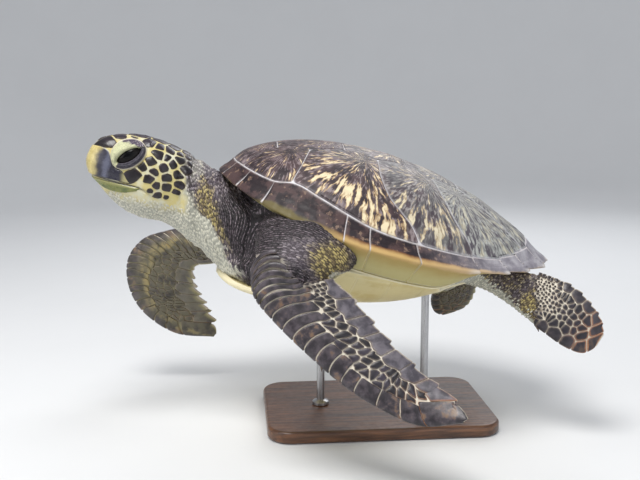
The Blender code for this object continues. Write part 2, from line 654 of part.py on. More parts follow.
def main():
    """Build the animal, its shell and its stand."""
    for obj in list(bpy.data.objects):
        bpy.data.objects.remove(obj, do_unlink=True)
    looks = {name: material(name) for name in COLOURS}
    looks["eye"].node_tree.nodes["Principled BSDF"].inputs["Roughness"].default_value = 0.08
    looks["rod"].node_tree.nodes["Principled BSDF"].inputs["Metallic"].default_value = 1.0

    upper, belly = carapace(looks["shell"]), plastron(looks["belly"])
    flesh = trunk(looks["skin"])
    whole_trunk = duplicate(flesh, "whole_trunk")
    neck, head_parts = build_head(looks)
    limbs = {root: build_limb((root, blade), stations, kind, looks)
             for root, blade, stations, kind in LIMBS}
    rear = tail(looks["skin"])
    shells = [upper, belly]
    trim_by(belly, [upper])
    trim_by(flesh, [belly])
    trim_by(neck, [whole_trunk, *shells])
    for root, _ in limbs.values():
        trim_by(root, [whole_trunk, *shells, neck])
    trim_by(rear, [whole_trunk, *shells])
    for name in ("leg_left", "leg_right"):
        trim_by(limbs[name][0], [rear])
    claws = []
    for name, _, stations, kind in LIMBS:
        side = name.split("_")[1]
        piece = claw(f"claw_{kind}_{side}", stations, CLAW_STATION[kind], looks["claw"])
        trim_by(piece, [limbs[name][1]])
        claws.append(piece)
    discard(whole_trunk)

    pose = bpy.data.objects.new("pose", None)
    bpy.context.scene.collection.objects.link(pose)
    pose.matrix_world = pose_matrix()
    limb_pieces = [piece for pair in limbs.values() for piece in pair]
    body = [flesh, neck, *head_parts, *limb_pieces, rear, *claws, *shells]
    for piece in body:
        piece.parent = pose
    bpy.context.view_layer.update()
    stand_base(looks["stand"])
    for name, place in ROD_PLACES.items():
        rod = stand_rod(name, place, belly, looks["rod"])
        trim_by(rod, [belly])


if __name__ == "__main__":
    main()
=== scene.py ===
"""Looks of a young green sea turtle: a still, life-size model that swims above a plain display stand.

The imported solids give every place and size. The animal's surfaces are drawn again here, finer, in its own
body frame (x forward, y to its left, z up), where lengths are shares of the straight length of the shell.
BodyFrame turns them into metres. One skin stands for all of the flesh. The shell and its scutes, the horn
of the jaws, the eyes, the claws and the scales are pieces of their own.
"""
import logging
import math
from collections.abc import Callable, Sequence
from dataclasses import dataclass, field
from enum import Enum

import bmesh
import bpy
import numpy as np
from mathutils import Matrix, Vector
from mathutils.bvhtree import BVHTree
from mathutils.kdtree import KDTree


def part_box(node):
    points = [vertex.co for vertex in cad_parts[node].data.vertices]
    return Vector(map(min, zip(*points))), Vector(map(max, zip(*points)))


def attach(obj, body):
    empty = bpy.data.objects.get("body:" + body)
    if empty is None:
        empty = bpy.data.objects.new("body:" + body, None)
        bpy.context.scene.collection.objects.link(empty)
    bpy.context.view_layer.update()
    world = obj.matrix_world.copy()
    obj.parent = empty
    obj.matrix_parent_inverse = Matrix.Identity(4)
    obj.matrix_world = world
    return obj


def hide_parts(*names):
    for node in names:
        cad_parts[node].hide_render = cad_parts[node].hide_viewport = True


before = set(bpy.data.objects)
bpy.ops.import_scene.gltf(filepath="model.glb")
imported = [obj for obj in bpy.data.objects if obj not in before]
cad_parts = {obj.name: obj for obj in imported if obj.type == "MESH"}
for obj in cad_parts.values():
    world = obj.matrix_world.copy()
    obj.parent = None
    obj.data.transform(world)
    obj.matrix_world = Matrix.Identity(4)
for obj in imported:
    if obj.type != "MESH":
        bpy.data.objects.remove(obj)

log = logging.getLogger("turtle")
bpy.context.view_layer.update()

Array = np.ndarray
Colour = tuple[float, float, float]
BAKE_MAP = "OFBake"
SIDES = (1.0, -1.0)        # left, right
GRAIN_ROW = 0.0052         # spacing of the rows of grains, and of the fine folds of the skin
FRAME = (640, 480)         # width and height that the camera is set for


# ---------------------------------------------------------------- curves and noise

def hermite(xs: Sequence[float], ys: Array, x: Array) -> Array:
    """Smooth curve through points, with its ends held.

    Args:
        xs: Places of the points, rising.
        ys: Values at the points, each a number or a row.
        x: Places at which the curve is read.

    Returns:
        Value of the curve at each place.
    """
    xs, ys, x = np.asarray(xs, float), np.asarray(ys, float), np.clip(np.asarray(x, float), xs[0], xs[-1])
    slopes = np.gradient(ys, xs, axis=0)
    low = np.clip(np.searchsorted(xs, x, side="right") - 1, 0, len(xs) - 2)
    span = xs[low + 1] - xs[low]
    t = (x - xs[low]) / span
    extra = (1,) * (ys.ndim - 1)
    t, span = t.reshape(t.shape + extra), span.reshape(span.shape + extra)
    rise = (1 + 2 * t) * (1 - t) ** 2 * ys[low] + t * (1 - t) ** 2 * span * slopes[low]
    return rise + t * t * (3 - 2 * t) * ys[low + 1] - t * t * (1 - t) * span * slopes[low + 1]


def smoothstep(a: float, b: float, x: Array) -> Array:
    """Ease from 0 at a to 1 at b."""
    t = np.clip((np.asarray(x, float) - a) / (b - a), 0.0, 1.0)
    return t * t * (3 - 2 * t)


def bell(x: Array, width: float) -> Array:
    """Soft bump of height 1 at 0."""
    return np.exp(-((np.asarray(x, float) / width) ** 2))


def unit(vectors: Array) -> Array:
    """Vectors of length 1 along the last axis."""
    return vectors / np.maximum(np.linalg.norm(vectors, axis=-1, keepdims=True), 1e-12)


def full_turn(count: int) -> Array:
    """Even turns all the way round."""
    return np.linspace(0, 2 * math.pi, count, endpoint=False)


def value_noise(points: Array, scale: float, seed: int = 0) -> Array:
    """Smooth noise from -1 to 1 in space.

    Args:
        points: Points, one row each.
        scale: Cells of noise to one unit of length.
        seed: Picks one noise among many.

    Returns:
        One value for each point.
    """
    place = np.asarray(points, float) * scale + 37.7 * (seed + 1)
    cell = np.floor(place).astype(np.int64)
    part = place - cell
    part = part * part * (3 - 2 * part)
    total = np.zeros(len(place))
    for corner in range(8):
        step = np.array([(corner >> k) & 1 for k in range(3)])
        key = (cell + step) @ np.array([73856093, 19349663, 83492791]) + seed * 7919
        key = (key ^ (key >> 13)) * 1274126177
        value = ((key ^ (key >> 16)) & 0xFFFF) / 32767.5 - 1
        total += value * np.prod(np.where(step, part, 1 - part), axis=1)
    return total


# ---------------------------------------------------------------- shapes

@dataclass(frozen=True)
class BodyFrame:
    """Pose of the animal above its stand: it heads along -Y with its left side towards +X."""

    shell_length: float = 0.50
    pitch: float = 15.0
    roll: float = 3.0
    origin: tuple[float, float, float] = (0.0, 0.015, 0.305)

    def axes(self) -> Array:
        """Directions of forward, left and up in the world, one row each.

        Returns:
            Three rows of three numbers.
        """
        pitch, roll = math.radians(self.pitch), math.radians(self.roll)
        forward = np.array((0, -math.cos(pitch), math.sin(pitch)))
        plain_up = np.array((0, math.sin(pitch), math.cos(pitch)))
        side = np.array((1.0, 0, 0))
        left = side * math.cos(roll) - plain_up * math.sin(roll)
        return np.array((forward, left, plain_up * math.cos(roll) + side * math.sin(roll)))

    def to_world(self, points: Array) -> Array:
        """Body points in metres of the world."""
        return np.asarray(points, float) @ self.axes() * self.shell_length + self.origin

    def to_body(self, points: Array) -> Array:
        """World points in shell lengths of the body."""
        return (np.asarray(points, float) - self.origin) @ self.axes().T / self.shell_length


BODY = BodyFrame()


@dataclass
class Shape:
    """Points and faces of a piece in the making, with a value of each mark and a flat place per point."""

    points: Array
    faces: list[tuple[int, ...]]
    marks: dict[str, Array] = field(default_factory=dict)
    flat: Array | None = None

    def marked(self, **marks: float | Array) -> "Shape":
        """The same shape with marks set, each one number or one for each point."""
        self.marks.update({k: np.broadcast_to(np.asarray(v, float), len(self.points)) for k, v in marks.items()})
        return self

    def turned_out(self, centre: Array) -> "Shape":
        """The same shape with its faces turned away from a point inside it.

        Args:
            centre: A point that most faces look away from.

        Returns:
            This shape.
        """
        corners = self.points[np.array([f[:3] for f in self.faces])]
        across = np.cross(corners[:, 1] - corners[:, 0], corners[:, 2] - corners[:, 0])
        if np.sum(across * (corners.mean(1) - centre)) < 0:
            self.faces = [face[::-1] for face in self.faces]
        return self

    def mirrored(self) -> "Shape":
        """This shape, moved to the other side of the body."""
        self.points, self.faces = self.points * (1, -1, 1), [face[::-1] for face in self.faces]
        return self


def merged(shapes: Sequence[Shape]) -> Shape:
    """One shape of several.

    Args:
        shapes: Shapes with the same marks, and all or none with flat places.

    Returns:
        The joined shape.
    """
    faces, start = [], 0
    for shape in shapes:
        faces += [tuple(i + start for i in face) for face in shape.faces]
        start += len(shape.points)
    marks = {k: np.concatenate([np.asarray(s.marks[k], float) for s in shapes]) for k in shapes[0].marks}
    flat = None if shapes[0].flat is None else np.concatenate([s.flat for s in shapes])
    return Shape(np.concatenate([s.points for s in shapes]), faces, marks, flat)


def tube(rings: Array, capped: bool = True) -> Shape:
    """Skin through equal closed rings.

    Args:
        rings: Points, ring by ring.
        capped: Whether a fan closes each end.

    Returns:
        The shape, turned outward if the rings run to the right of their way.
    """
    rings = np.asarray(rings, float)
    rows, count = rings.shape[:2]
    i, j = np.meshgrid(np.arange(rows - 1), np.arange(count), indexing="ij")
    k = (j + 1) % count
    quads = np.stack([i * count + j, i * count + k, (i + 1) * count + k, (i + 1) * count + j], -1)
    faces = [tuple(q) for q in quads.reshape(-1, 4).tolist()]
    points = rings.reshape(-1, 3)
    if capped:
        first, last = len(points), len(points) + 1
        points = np.concatenate([points, rings[0].mean(0)[None], rings[-1].mean(0)[None]])
        end = (rows - 1) * count
        for a in range(count):
            b = (a + 1) % count
            faces += [(first, b, a), (last, end + a, end + b)]
    return Shape(points, faces)


def sheet_faces(rows: int, columns: int, start: int = 0, flip: bool = False) -> list[tuple[int, ...]]:
    """Quads of a grid of points.

    Args:
        rows: Rows of points.
        columns: Points in a row.
        start: Index of the first point.
        flip: Whether the quads look the other way.

    Returns:
        The quads.
    """
    i, j = np.meshgrid(np.arange(rows - 1), np.arange(columns - 1), indexing="ij")
    a = start + i * columns + j
    quads = np.stack([a, a + 1, a + columns + 1, a + columns], -1).reshape(-1, 4)
    return [tuple(q) for q in (quads[:, ::-1] if flip else quads).tolist()]


def repeated(pattern: Array, count: int, size: int) -> list[tuple[int, ...]]:
    """Faces of many equal small meshes whose points lie one mesh after another.

    Args:
        pattern: Faces of the first mesh.
        count: Number of meshes.
        size: Points in a mesh.

    Returns:
        The faces.
    """
    start = (np.arange(count) * size)[:, None, None]
    return [tuple(f) for f in (pattern[None] + start).reshape(-1, pattern.shape[1]).tolist()]


def slab(spot: Array, outward: Array, rise: Array, sink: float, **marks: Array) -> Shape:
    """Closed shell over a grid of places.

    Args:
        spot: Places by row and column.
        outward: Outward directions at the places.
        rise: Height of the outer sheet over each place.
        sink: Depth of the inner sheet under the places.
        marks: Values of each mark at the places.

    Returns:
        The shape.
    """
    rows, columns = spot.shape[:2]
    count = rows * columns
    faces = sheet_faces(rows, columns) + sheet_faces(rows, columns, count, flip=True)
    index = np.arange(count).reshape(rows, columns)
    loop = np.concatenate([index[:, 0], index[-1, 1:], index[-2::-1, -1], index[0, -2:0:-1]]).tolist()
    faces += [(a, b, b + count, a + count) for a, b in zip(loop, loop[1:] + loop[:1])]
    points = np.concatenate([(spot + outward * rise[..., None]).reshape(-1, 3),
                             (spot - outward * sink).reshape(-1, 3)])
    across = np.cross(points[index[1:, 1:]] - points[index[:-1, :-1]], points[index[:-1, 1:]] - points[index[1:, :-1]])
    if np.sum(across * outward[:-1, :-1]) > 0:
        faces = [face[::-1] for face in faces]
    return Shape(points, faces).marked(**{k: np.tile(np.broadcast_to(v, (rows, columns)).ravel(), 2)
                                          for k, v in marks.items()})


class Slot(Enum):
    """Names of the material slots."""

    SKIN = "scaly_skin"
    UPPER = "upper_shell"
    BELLY = "belly_shell"
    HORN = "beak_horn"
    CLAW = "claw_horn"
    EYE = "eye"
    WOOD = "stand_wood"
    STEEL = "stand_steel"


def make_piece(name: str, shape: Shape, look: bpy.types.Material, nodes: Sequence[str] = (),
               in_world: bool = False, crease: float | None = None) -> bpy.types.Object:
    """Object of a shape that rides on the model.

    Args:
        name: Name of the piece.
        shape: Its shape.
        look: Its material.
        nodes: Solids that it stands for.
        in_world: Whether the shape is already in metres of the world.
        crease: Angle in degrees above which an edge stays sharp, or None for none.

    Returns:
        The object.
    """
    mesh = bpy.data.meshes.new(name)
    points = shape.points if in_world else BODY.to_world(shape.points)
    mesh.from_pydata(points.tolist(), [], shape.faces)
    for mark, values in shape.marks.items():
        attribute = mesh.attributes.new(mark, "FLOAT", "POINT")
        attribute.data.foreach_set("value", np.ascontiguousarray(values, np.float32))
    if shape.flat is not None:
        corner = np.zeros(len(mesh.loops), np.int32)
        mesh.loops.foreach_get("vertex_index", corner)
        layer = mesh.uv_layers.new(name=BAKE_MAP)
        layer.data.foreach_set("uv", shape.flat[corner].astype(np.float32).ravel())
    mesh.shade_smooth()
    if crease is not None:
        mesh.set_sharp_from_angle(angle=math.radians(crease))
    mesh.materials.append(look)
    piece = bpy.data.objects.new(name, mesh)
    bpy.context.scene.collection.objects.link(piece)
    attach(piece, "root")
    if nodes:
        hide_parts(*nodes)
    log.info("%s: %d points, %d faces", name, len(mesh.vertices), len(mesh.polygons))
    return piece


# ---------------------------------------------------------------- cells and plates

SAME_PLACE = 1e-7          # seeds nearer than this are one seed
NO_NEIGHBOUR = 1e9         # distance that stands for none
HALVINGS = 18              # steps of the search for a cell's border


def cell_outlines(offsets: Array, gap: float, rounding: float, reach: Array,
                  fence: Callable[[Array], Array] | None = None) -> Array:
    """Rounded outlines of the cells round a set of seeds.

    Args:
        offsets: For each seed, its neighbours' places from it; a far place stands for none.
        gap: Clearance between neighbours.
        rounding: Radius of the softened corners.
        reach: For each seed, the furthest that each ray may go.
        fence: Distance inside a further border, at points counted from their seeds.

    Returns:
        For each seed, the outline's points from it, one on each ray.
    """
    rays = reach.shape[1]
    angle = full_turn(rays)
    heading = np.stack([np.cos(angle), np.sin(angle)], -1)
    size = np.linalg.norm(offsets, axis=-1)
    toward = offsets / size[..., None]
    along = np.einsum("rk,njk->nrj", heading, toward)
    low, high = np.zeros_like(reach), reach.copy()
    for _ in range(HALVINGS):
        middle = (low + high) / 2
        inside = size[:, None, :] / 2 - middle[..., None] * along
        clear = -rounding * np.log(np.sum(np.exp(-np.clip(inside / rounding, -40, 40)), axis=-1))
        if fence is not None:
            border = fence(middle[..., None] * heading)
            ease = 0.6 * rounding
            clear = -ease * np.logaddexp(-clear / ease, -border / ease)
        good = clear > gap / 2
        low, high = np.where(good, middle, low), np.where(good, high, middle)
    return low[..., None] * heading


def nearest_offsets(seeds: Array, count: int) -> Array:
    """Places of the nearest other seeds from each seed.

    Args:
        seeds: Seeds, one row each.
        count: How many neighbours to keep.

    Returns:
        Offsets by seed and neighbour.
    """
    away = seeds[None] - seeds[:, None]
    size = np.linalg.norm(away, axis=-1)
    away[size < SAME_PLACE] = 1e3
    size[size < SAME_PLACE] = NO_NEIGHBOUR
    order = np.argsort(size, axis=1)[:, :count]
    return np.take_along_axis(away, order[..., None], axis=1)


def even_outlines(outlines: Array, count: int) -> Array:
    """Outlines read again at even steps along their length.

    Args:
        outlines: Closed outlines by plate and point.
        count: New number of points.

    Returns:
        The new outlines.
    """
    closed = np.concatenate([outlines, outlines[:, :1]], axis=1)
    step = np.linalg.norm(np.diff(closed, axis=1), axis=-1)
    run = np.concatenate([np.zeros((len(step), 1)), np.cumsum(step, axis=1)], axis=1)
    made = np.empty((len(outlines), count, outlines.shape[2]))
    for n, (line, length) in enumerate(zip(closed, run)):
        at = np.linspace(0, length[-1], count, endpoint=False)
        for axis in range(outlines.shape[2]):
            made[n, :, axis] = np.interp(at, length, line[:, axis])
    return made


class Kind(Enum):
    """Kinds of scale on a flipper, as the finish reads them."""

    LEADING = 0.0
    HIND_REAR = 0.5
    TRAILING = 1.0
    SMALL = 2.0


@dataclass(frozen=True)
class PlateCut:
    """How a scale is cut."""

    thickness: float
    crown: float               # how much higher its middle stands
    edge: float                # width of the rounded border
    sink: float                # depth of its foot
    around: int                # points round it
    least: float = 0.0028      # mean radius below which it is left out

    def build(self, seeds: Array, outlines: Array, surface: Callable[[Array], tuple[Array, Array]],
              marks: dict[str, Array], atlas: tuple[float, float, float]) -> Shape:
        """Closed, crowned plates over a surface.

        Args:
            seeds: Middle of each plate on the flat chart.
            outlines: Outline of each plate from its seed.
            surface: Gives points and outward directions at places of the flat chart.
            marks: Values for each plate.
            atlas: Scale and shift that take the flat chart into the bake map.

        Returns:
            All plates as one shape. Its mark edge runs from 0 in the middle of a plate to 1 at its border.
        """
        keep = np.linalg.norm(outlines, axis=-1).mean(1) > self.least
        seeds, outlines = seeds[keep], even_outlines(outlines[keep], self.around)
        middle = outlines.mean(1, keepdims=True)
        outlines, seeds = outlines - middle, seeds + middle[:, 0]
        radius = np.linalg.norm(outlines, axis=-1, keepdims=True)
        rows = ((0.0, -self.sink, 1.0), (0.0, 0.5 * self.thickness, 1.0), (0.35, 0.86 * self.thickness, 0.9),
                (1.0, self.thickness, 0.75))
        rings, rises, edges = [], [], []
        for inset, rise, edge in rows:
            share = 1 - np.minimum(inset * self.edge / np.maximum(radius, 1e-9), 0.4)
            rings.append(outlines * share)
            rises.append(rise)
            edges.append(edge)
        rings.append(rings[-1] * 0.55)
        rises.append(self.thickness + 0.75 * self.crown)
        edges.append(0.4)
        count, around = len(seeds), self.around
        flat = np.concatenate([np.stack(rings, 1).reshape(count, -1, 2), np.zeros((count, 2, 2))], axis=1)
        flat = flat + seeds[:, None]
        lift = np.concatenate([np.repeat(rises, around), [self.thickness + self.crown, -self.sink]])
        edge = np.concatenate([np.repeat(edges, around), [0.0, 1.0]])
        points, outward = surface(flat.reshape(-1, 2))
        points = points + outward * np.tile(lift, count)[:, None]
        a = np.arange(around)
        b = (a + 1) % around
        quads = np.concatenate([np.stack([r * around + a, r * around + b, (r + 1) * around + b,
                                          (r + 1) * around + a], -1) for r in range(len(rings) - 1)])
        top, base = len(rings) * around, len(rings) * around + 1
        last = (len(rings) - 1) * around
        fans = np.concatenate([np.stack([last + a, last + b, np.full(around, top)], -1),
                               np.stack([b, a, np.full(around, base)], -1)])
        size = base + 1
        faces = repeated(quads, count, size) + repeated(fans, count, size)
        sample = points.reshape(count, size, 3)
        first = np.cross(sample[:, last + 1] - sample[:, last], sample[:, top] - sample[:, last])
        facing = outward.reshape(count, size, 3)[:, top]
        if np.mean(np.sum(first * facing, axis=-1) > 0) < 0.5:
            faces = [face[::-1] for face in faces]
        scale, across, up = atlas
        made = {k: np.repeat(np.asarray(v, float)[keep], size) for k, v in marks.items()}
        made["edge"] = np.tile(edge, count)
        return Shape(points, faces, made, flat.reshape(-1, 2) * scale + (across, up))


# ---------------------------------------------------------------- forms of the animal

@dataclass
class ShellForm:
    """Upper and lower surfaces of the shell, read by the turn about its centre and the share of the radius."""

    centre: float = 0.08
    outline: tuple = ((0.517, 0.0), (0.502, 0.09), (0.456, 0.185), (0.372, 0.272), (0.25, 0.340),
                      (0.12, 0.376), (0.0, 0.385), (-0.12, 0.370), (-0.24, 0.318), (-0.34, 0.242),
                      (-0.42, 0.160), (-0.480, 0.075), (-0.500, 0.0))
    height: float = 0.181
    rim_sag: float = 0.034
    rim_arch: float = 0.020
    flare_from: float = 0.86
    rim_slope: tuple[float, float] = (0.80, 0.30)
    flange_inner: float = 0.87
    flange_drop: tuple[float, float] = (0.028, 0.078)
    belly_x: tuple = (-0.50, -0.38, -0.28, -0.17, -0.08, 0.04, 0.20, 0.33, 0.40, 0.46)
    belly_z: tuple = (-0.070, -0.108, -0.132, -0.168, -0.204, -0.240, -0.268, -0.282, -0.284, -0.276)
    tooth: float = 0.022
    plate: float = 0.018
    rim_plates: tuple = (0.055, 0.13, 0.208, 0.388, 0.440, 0.540, 0.670, 0.753, 0.828, 0.912, 1.0)
    seam_turn: tuple = (0.0, 0.18, 0.41, 0.565, 0.67, 0.80, 1.06, 1.32, 1.51, 1.87, 2.28, 2.53, 2.74, 2.90,
                        3.0, math.pi)
    seam_share: tuple = (0.925, 0.924, 0.918, 0.912, 0.905, 0.880, 0.888, 0.905, 0.918, 0.926, 0.930, 0.928,
                         0.910, 0.893, 0.874, 0.862)

    def __post_init__(self) -> None:
        """Tabulate the plan outline and the way along it."""
        points = np.array(self.outline) - (self.centre, 0.0)
        self.turns = np.linspace(0, math.pi, 721)
        self.radii = hermite(np.arctan2(points[:, 1], points[:, 0]), np.hypot(*points.T), self.turns)
        x, y = self.radii * np.cos(self.turns), self.radii * np.sin(self.turns)
        run = np.concatenate([[0], np.cumsum(np.hypot(np.diff(x), np.diff(y)))])
        self.rim_length, self.shares = run[-1], run / run[-1]

    def rim_radius(self, turn: Array) -> Array:
        """Plain radius of the plan outline at a turn, from the nape (0) to the tail (pi)."""
        return np.interp(np.abs(turn), self.turns, self.radii)

    def rim_share(self, turn: Array) -> Array:
        """Share of the way along one side's rim at a turn."""
        return np.interp(np.abs(turn), self.turns, self.shares)

    def turn_at(self, share: Array) -> Array:
        """Turn at a share of the way along one side's rim."""
        return np.interp(share, self.shares, self.turns)

    def rim_tooth(self, turn: Array) -> Array:
        """How far the rim juts out: each rear plate ends in a low tooth.

        Args:
            turn: Turns about the centre.

        Returns:
            Distance added to the radius.
        """
        share = self.rim_share(turn)
        edges = np.array((0.0,) + self.rim_plates)
        plate = np.clip(np.searchsorted(edges, share, side="right") - 1, 0, len(edges) - 2)
        along = (share - edges[plate]) / (edges[plate + 1] - edges[plate])
        return self.tooth * smoothstep(0.50, 0.80, share) * (along ** 1.6 - 0.35)

    def rim_height(self, x: Array) -> Array:
        """Height of the rim at a station along the body."""
        arch = self.rim_arch * np.clip((x - 0.1) / 0.4, 0, 1) ** 2
        return arch - self.rim_sag * (1 - np.clip(np.abs(x) / 0.5, 0, 1) ** 2)

    def seam(self, turn: Array) -> Array:
        """Share of the radius at which the rim plates begin."""
        return hermite(self.seam_turn, np.array(self.seam_share), np.abs(turn))

    def dome(self, turn: Array, share: Array) -> Array:
        """Upper surface.

        Args:
            turn: Turns about the centre.
            share: Shares of the radius.

        Returns:
            Points.
        """
        facing = np.cos(turn)
        radius = self.rim_radius(turn) + self.rim_tooth(turn) * smoothstep(0.80, 1.0, share)
        x, y = self.centre + radius * share * facing, radius * share * np.sin(turn)
        rim = self.rim_height(self.centre + radius * facing)
        fall = 2.2 + 0.2 * facing - 0.1 * facing ** 2
        fullness = 0.75 - 0.14 * facing + 0.06 * facing ** 2
        swell = (self.height - rim) * np.clip(1 - share ** fall, 0, 1) ** fullness
        flare = smoothstep(self.flare_from, 1.0, share)
        slope = self.rim_slope[0] + (self.rim_slope[1] - self.rim_slope[0]) * smoothstep(0.3, 1.0, -facing)
        z = rim + swell + (slope * radius * (1 - share) - swell) * flare
        keel = 0.0030 * bell(y, 0.022) * (0.6 + 0.4 * np.cos((x - 0.06) * 2 * math.pi / 0.155))
        return np.stack([x, y, z + keel * (1 - smoothstep(0.80, 0.95, share)) * smoothstep(0.40, 0.20, x)], -1)

    def flange(self, turn: Array, share: Array) -> Array:
        """Underside of the rim, which falls towards its inner edge.

        Args:
            turn: Turns about the centre.
            share: Shares of the radius.

        Returns:
            Points.
        """
        point = self.dome(turn, share)
        x = self.rim_radius(turn) * np.cos(turn) + self.centre
        bridge = smoothstep(-0.30, -0.12, x) * (1 - smoothstep(0.12, 0.24, x))
        drop = self.flange_drop[0] + (self.flange_drop[1] - self.flange_drop[0]) * bridge
        point[..., 2] = self.rim_height(x) - drop * (1 - share) / (1 - self.flange_inner)
        return point

    def underside(self, turn: Array, share: Array) -> Array:
        """Lower surface of the belly.

        Args:
            turn: Turns about the centre.
            share: Shares of the radius.

        Returns:
            Points.
        """
        facing = np.cos(turn)
        radius = self.rim_radius(turn)
        x, y = self.centre + radius * share * facing, radius * share * np.sin(turn)
        rim = self.rim_height(self.centre + radius * facing)
        power = 3.5 + 26 * smoothstep(0.62, 1.0, facing) + 0.5 * smoothstep(0.3, 1.0, -facing)
        weight = share ** power
        z = rim * weight + hermite(self.belly_x, np.array(self.belly_z), x) * (1 - weight)
        return np.stack([x, y, z], -1)

    def polar(self, plan: Array) -> tuple[Array, Array]:
        """Turn and share of the radius at plan places.

        Args:
            plan: Places (x, y).

        Returns:
            Turns and shares.
        """
        turn = np.arctan2(plan[..., 1], plan[..., 0] - self.centre)
        return turn, np.hypot(plan[..., 0] - self.centre, plan[..., 1]) / self.rim_radius(turn)

    def over(self, plan: Array) -> tuple[Array, Array]:
        """Upper surface at plan places.

        Args:
            plan: Places (x, y).

        Returns:
            Points and outward directions.
        """
        return self._read(plan, self.dome, 1.0)

    def under(self, plan: Array) -> tuple[Array, Array]:
        """Belly surface at plan places.

        Args:
            plan: Places (x, y).

        Returns:
            Points and outward directions.
        """
        return self._read(plan, self.underside, -1.0)

    def _read(self, plan: Array, form: Callable[[Array, Array], Array], up: float) -> tuple[Array, Array]:
        """Points and directions of one of the forms.

        Args:
            plan: Places (x, y).
            form: Surface by turn and share.
            up: 1 if outward is up, -1 if down.

        Returns:
            Points and outward directions.
        """
        step = 0.002
        point = form(*self.polar(plan))
        ahead = form(*self.polar(plan + (step, 0))) - form(*self.polar(plan - (step, 0)))
        aside = form(*self.polar(plan + (0, step))) - form(*self.polar(plan - (0, step)))
        return point, unit(np.cross(ahead, aside)) * up

    def rim_profile(self, turn: Array, way: Array) -> Array:
        """Rim from the costal seam (way 0) over its edge (1) to the inner edge of the underside (2).

        Args:
            turn: Turns about the centre.
            way: Way round the rim, of the same form.

        Returns:
            Points.
        """
        seam = self.seam(turn)
        knots = [self.dome(turn, seam), self.dome(turn, seam + 0.5 * (1 - seam)),
                 self.dome(turn, seam + 0.85 * (1 - seam)), self.dome(turn, np.ones_like(turn)) - (0, 0, 0.004),
                 self.flange(turn, np.full_like(turn, 0.984)) - (0, 0, 0.004),
                 self.flange(turn, np.full_like(turn, 0.93)), self.flange(turn, np.full_like(turn, 0.875))]
        places = (0.0, 0.5, 0.85, 1.0, 1.15, 1.55, 2.0)
        rows = np.stack(knots)
        low = np.clip(np.searchsorted(places, way, side="right") - 1, 0, len(places) - 2)
        slopes = np.gradient(rows, np.array(places), axis=0)
        span = np.diff(places)[low]
        t = ((way - np.array(places)[low]) / span)[..., None]
        pick = tuple(np.indices(low.shape))
        a, b = rows[(low, *pick)], rows[(low + 1, *pick)]
        da, db = slopes[(low, *pick)] * span[..., None], slopes[(low + 1, *pick)] * span[..., None]
        rise = (1 + 2 * t) * (1 - t) ** 2 * a + t * (1 - t) ** 2 * da
        return rise + t * t * (3 - 2 * t) * b - t * t * (1 - t) * db


SHELL = ShellForm()


@dataclass
class HeadForm:
    """Head and neck: station, top, underside, sideways shift, half width, and level of the widest part."""

    rows: tuple = (
        (0.28, -0.02, -0.225, 0.000, 0.165, -0.12), (0.40, -0.012, -0.255, 0.000, 0.150, -0.12),
        (0.455, -0.004, -0.258, 0.000, 0.138, -0.12), (0.505, 0.006, -0.234, 0.002, 0.120, -0.11),
        (0.549, 0.018, -0.211, 0.003, 0.106, -0.09), (0.597, 0.036, -0.186, 0.006, 0.095, -0.07),
        (0.642, 0.047, -0.172, 0.010, 0.097, -0.06), (0.700, 0.057, -0.174, 0.015, 0.098, -0.055),
        (0.750, 0.056, -0.163, 0.021, 0.088, -0.050), (0.790, 0.051, -0.143, 0.026, 0.074, -0.045),
        (0.830, 0.040, -0.114, 0.031, 0.058, -0.040), (0.860, 0.023, -0.088, 0.035, 0.042, -0.038),
        (0.877, 0.000, -0.068, 0.037, 0.027, -0.038), (0.885, -0.028, -0.050, 0.038, 0.008, -0.038))
    heart: tuple[float, float, float] = (0.770, 0.026, -0.040)

    def rings(self, stations: int, around: int) -> Array:
        """Rings of the head and neck, from inside the trunk to the snout.

        Args:
            stations: Number of rings.
            around: Points in a ring.

        Returns:
            Points by ring.
        """
        table = np.array(self.rows)
        rows = hermite(np.linspace(0, 1, len(table)), table, np.linspace(0, 1, stations))
        turns = full_turn(around)
        side, rise = np.cos(turns), np.sin(turns)
        x, top, under, shift, half_width, level = (rows[:, k:k + 1] for k in range(6))
        y = shift + half_width * np.sign(side) * np.abs(side) ** 0.90
        height = np.where(rise > 0, top - level, level - under)
        z = level + height * np.sign(rise) * np.abs(rise) ** np.where(rise > 0, 0.86, 0.94)
        return np.stack([np.broadcast_to(x, y.shape), y, z], -1)

    def shift(self, x: Array) -> Array:
        """Sideways shift of the midline at a station."""
        return hermite([r[0] for r in self.rows], np.array([r[3] for r in self.rows]), x)


HEAD = HeadForm()


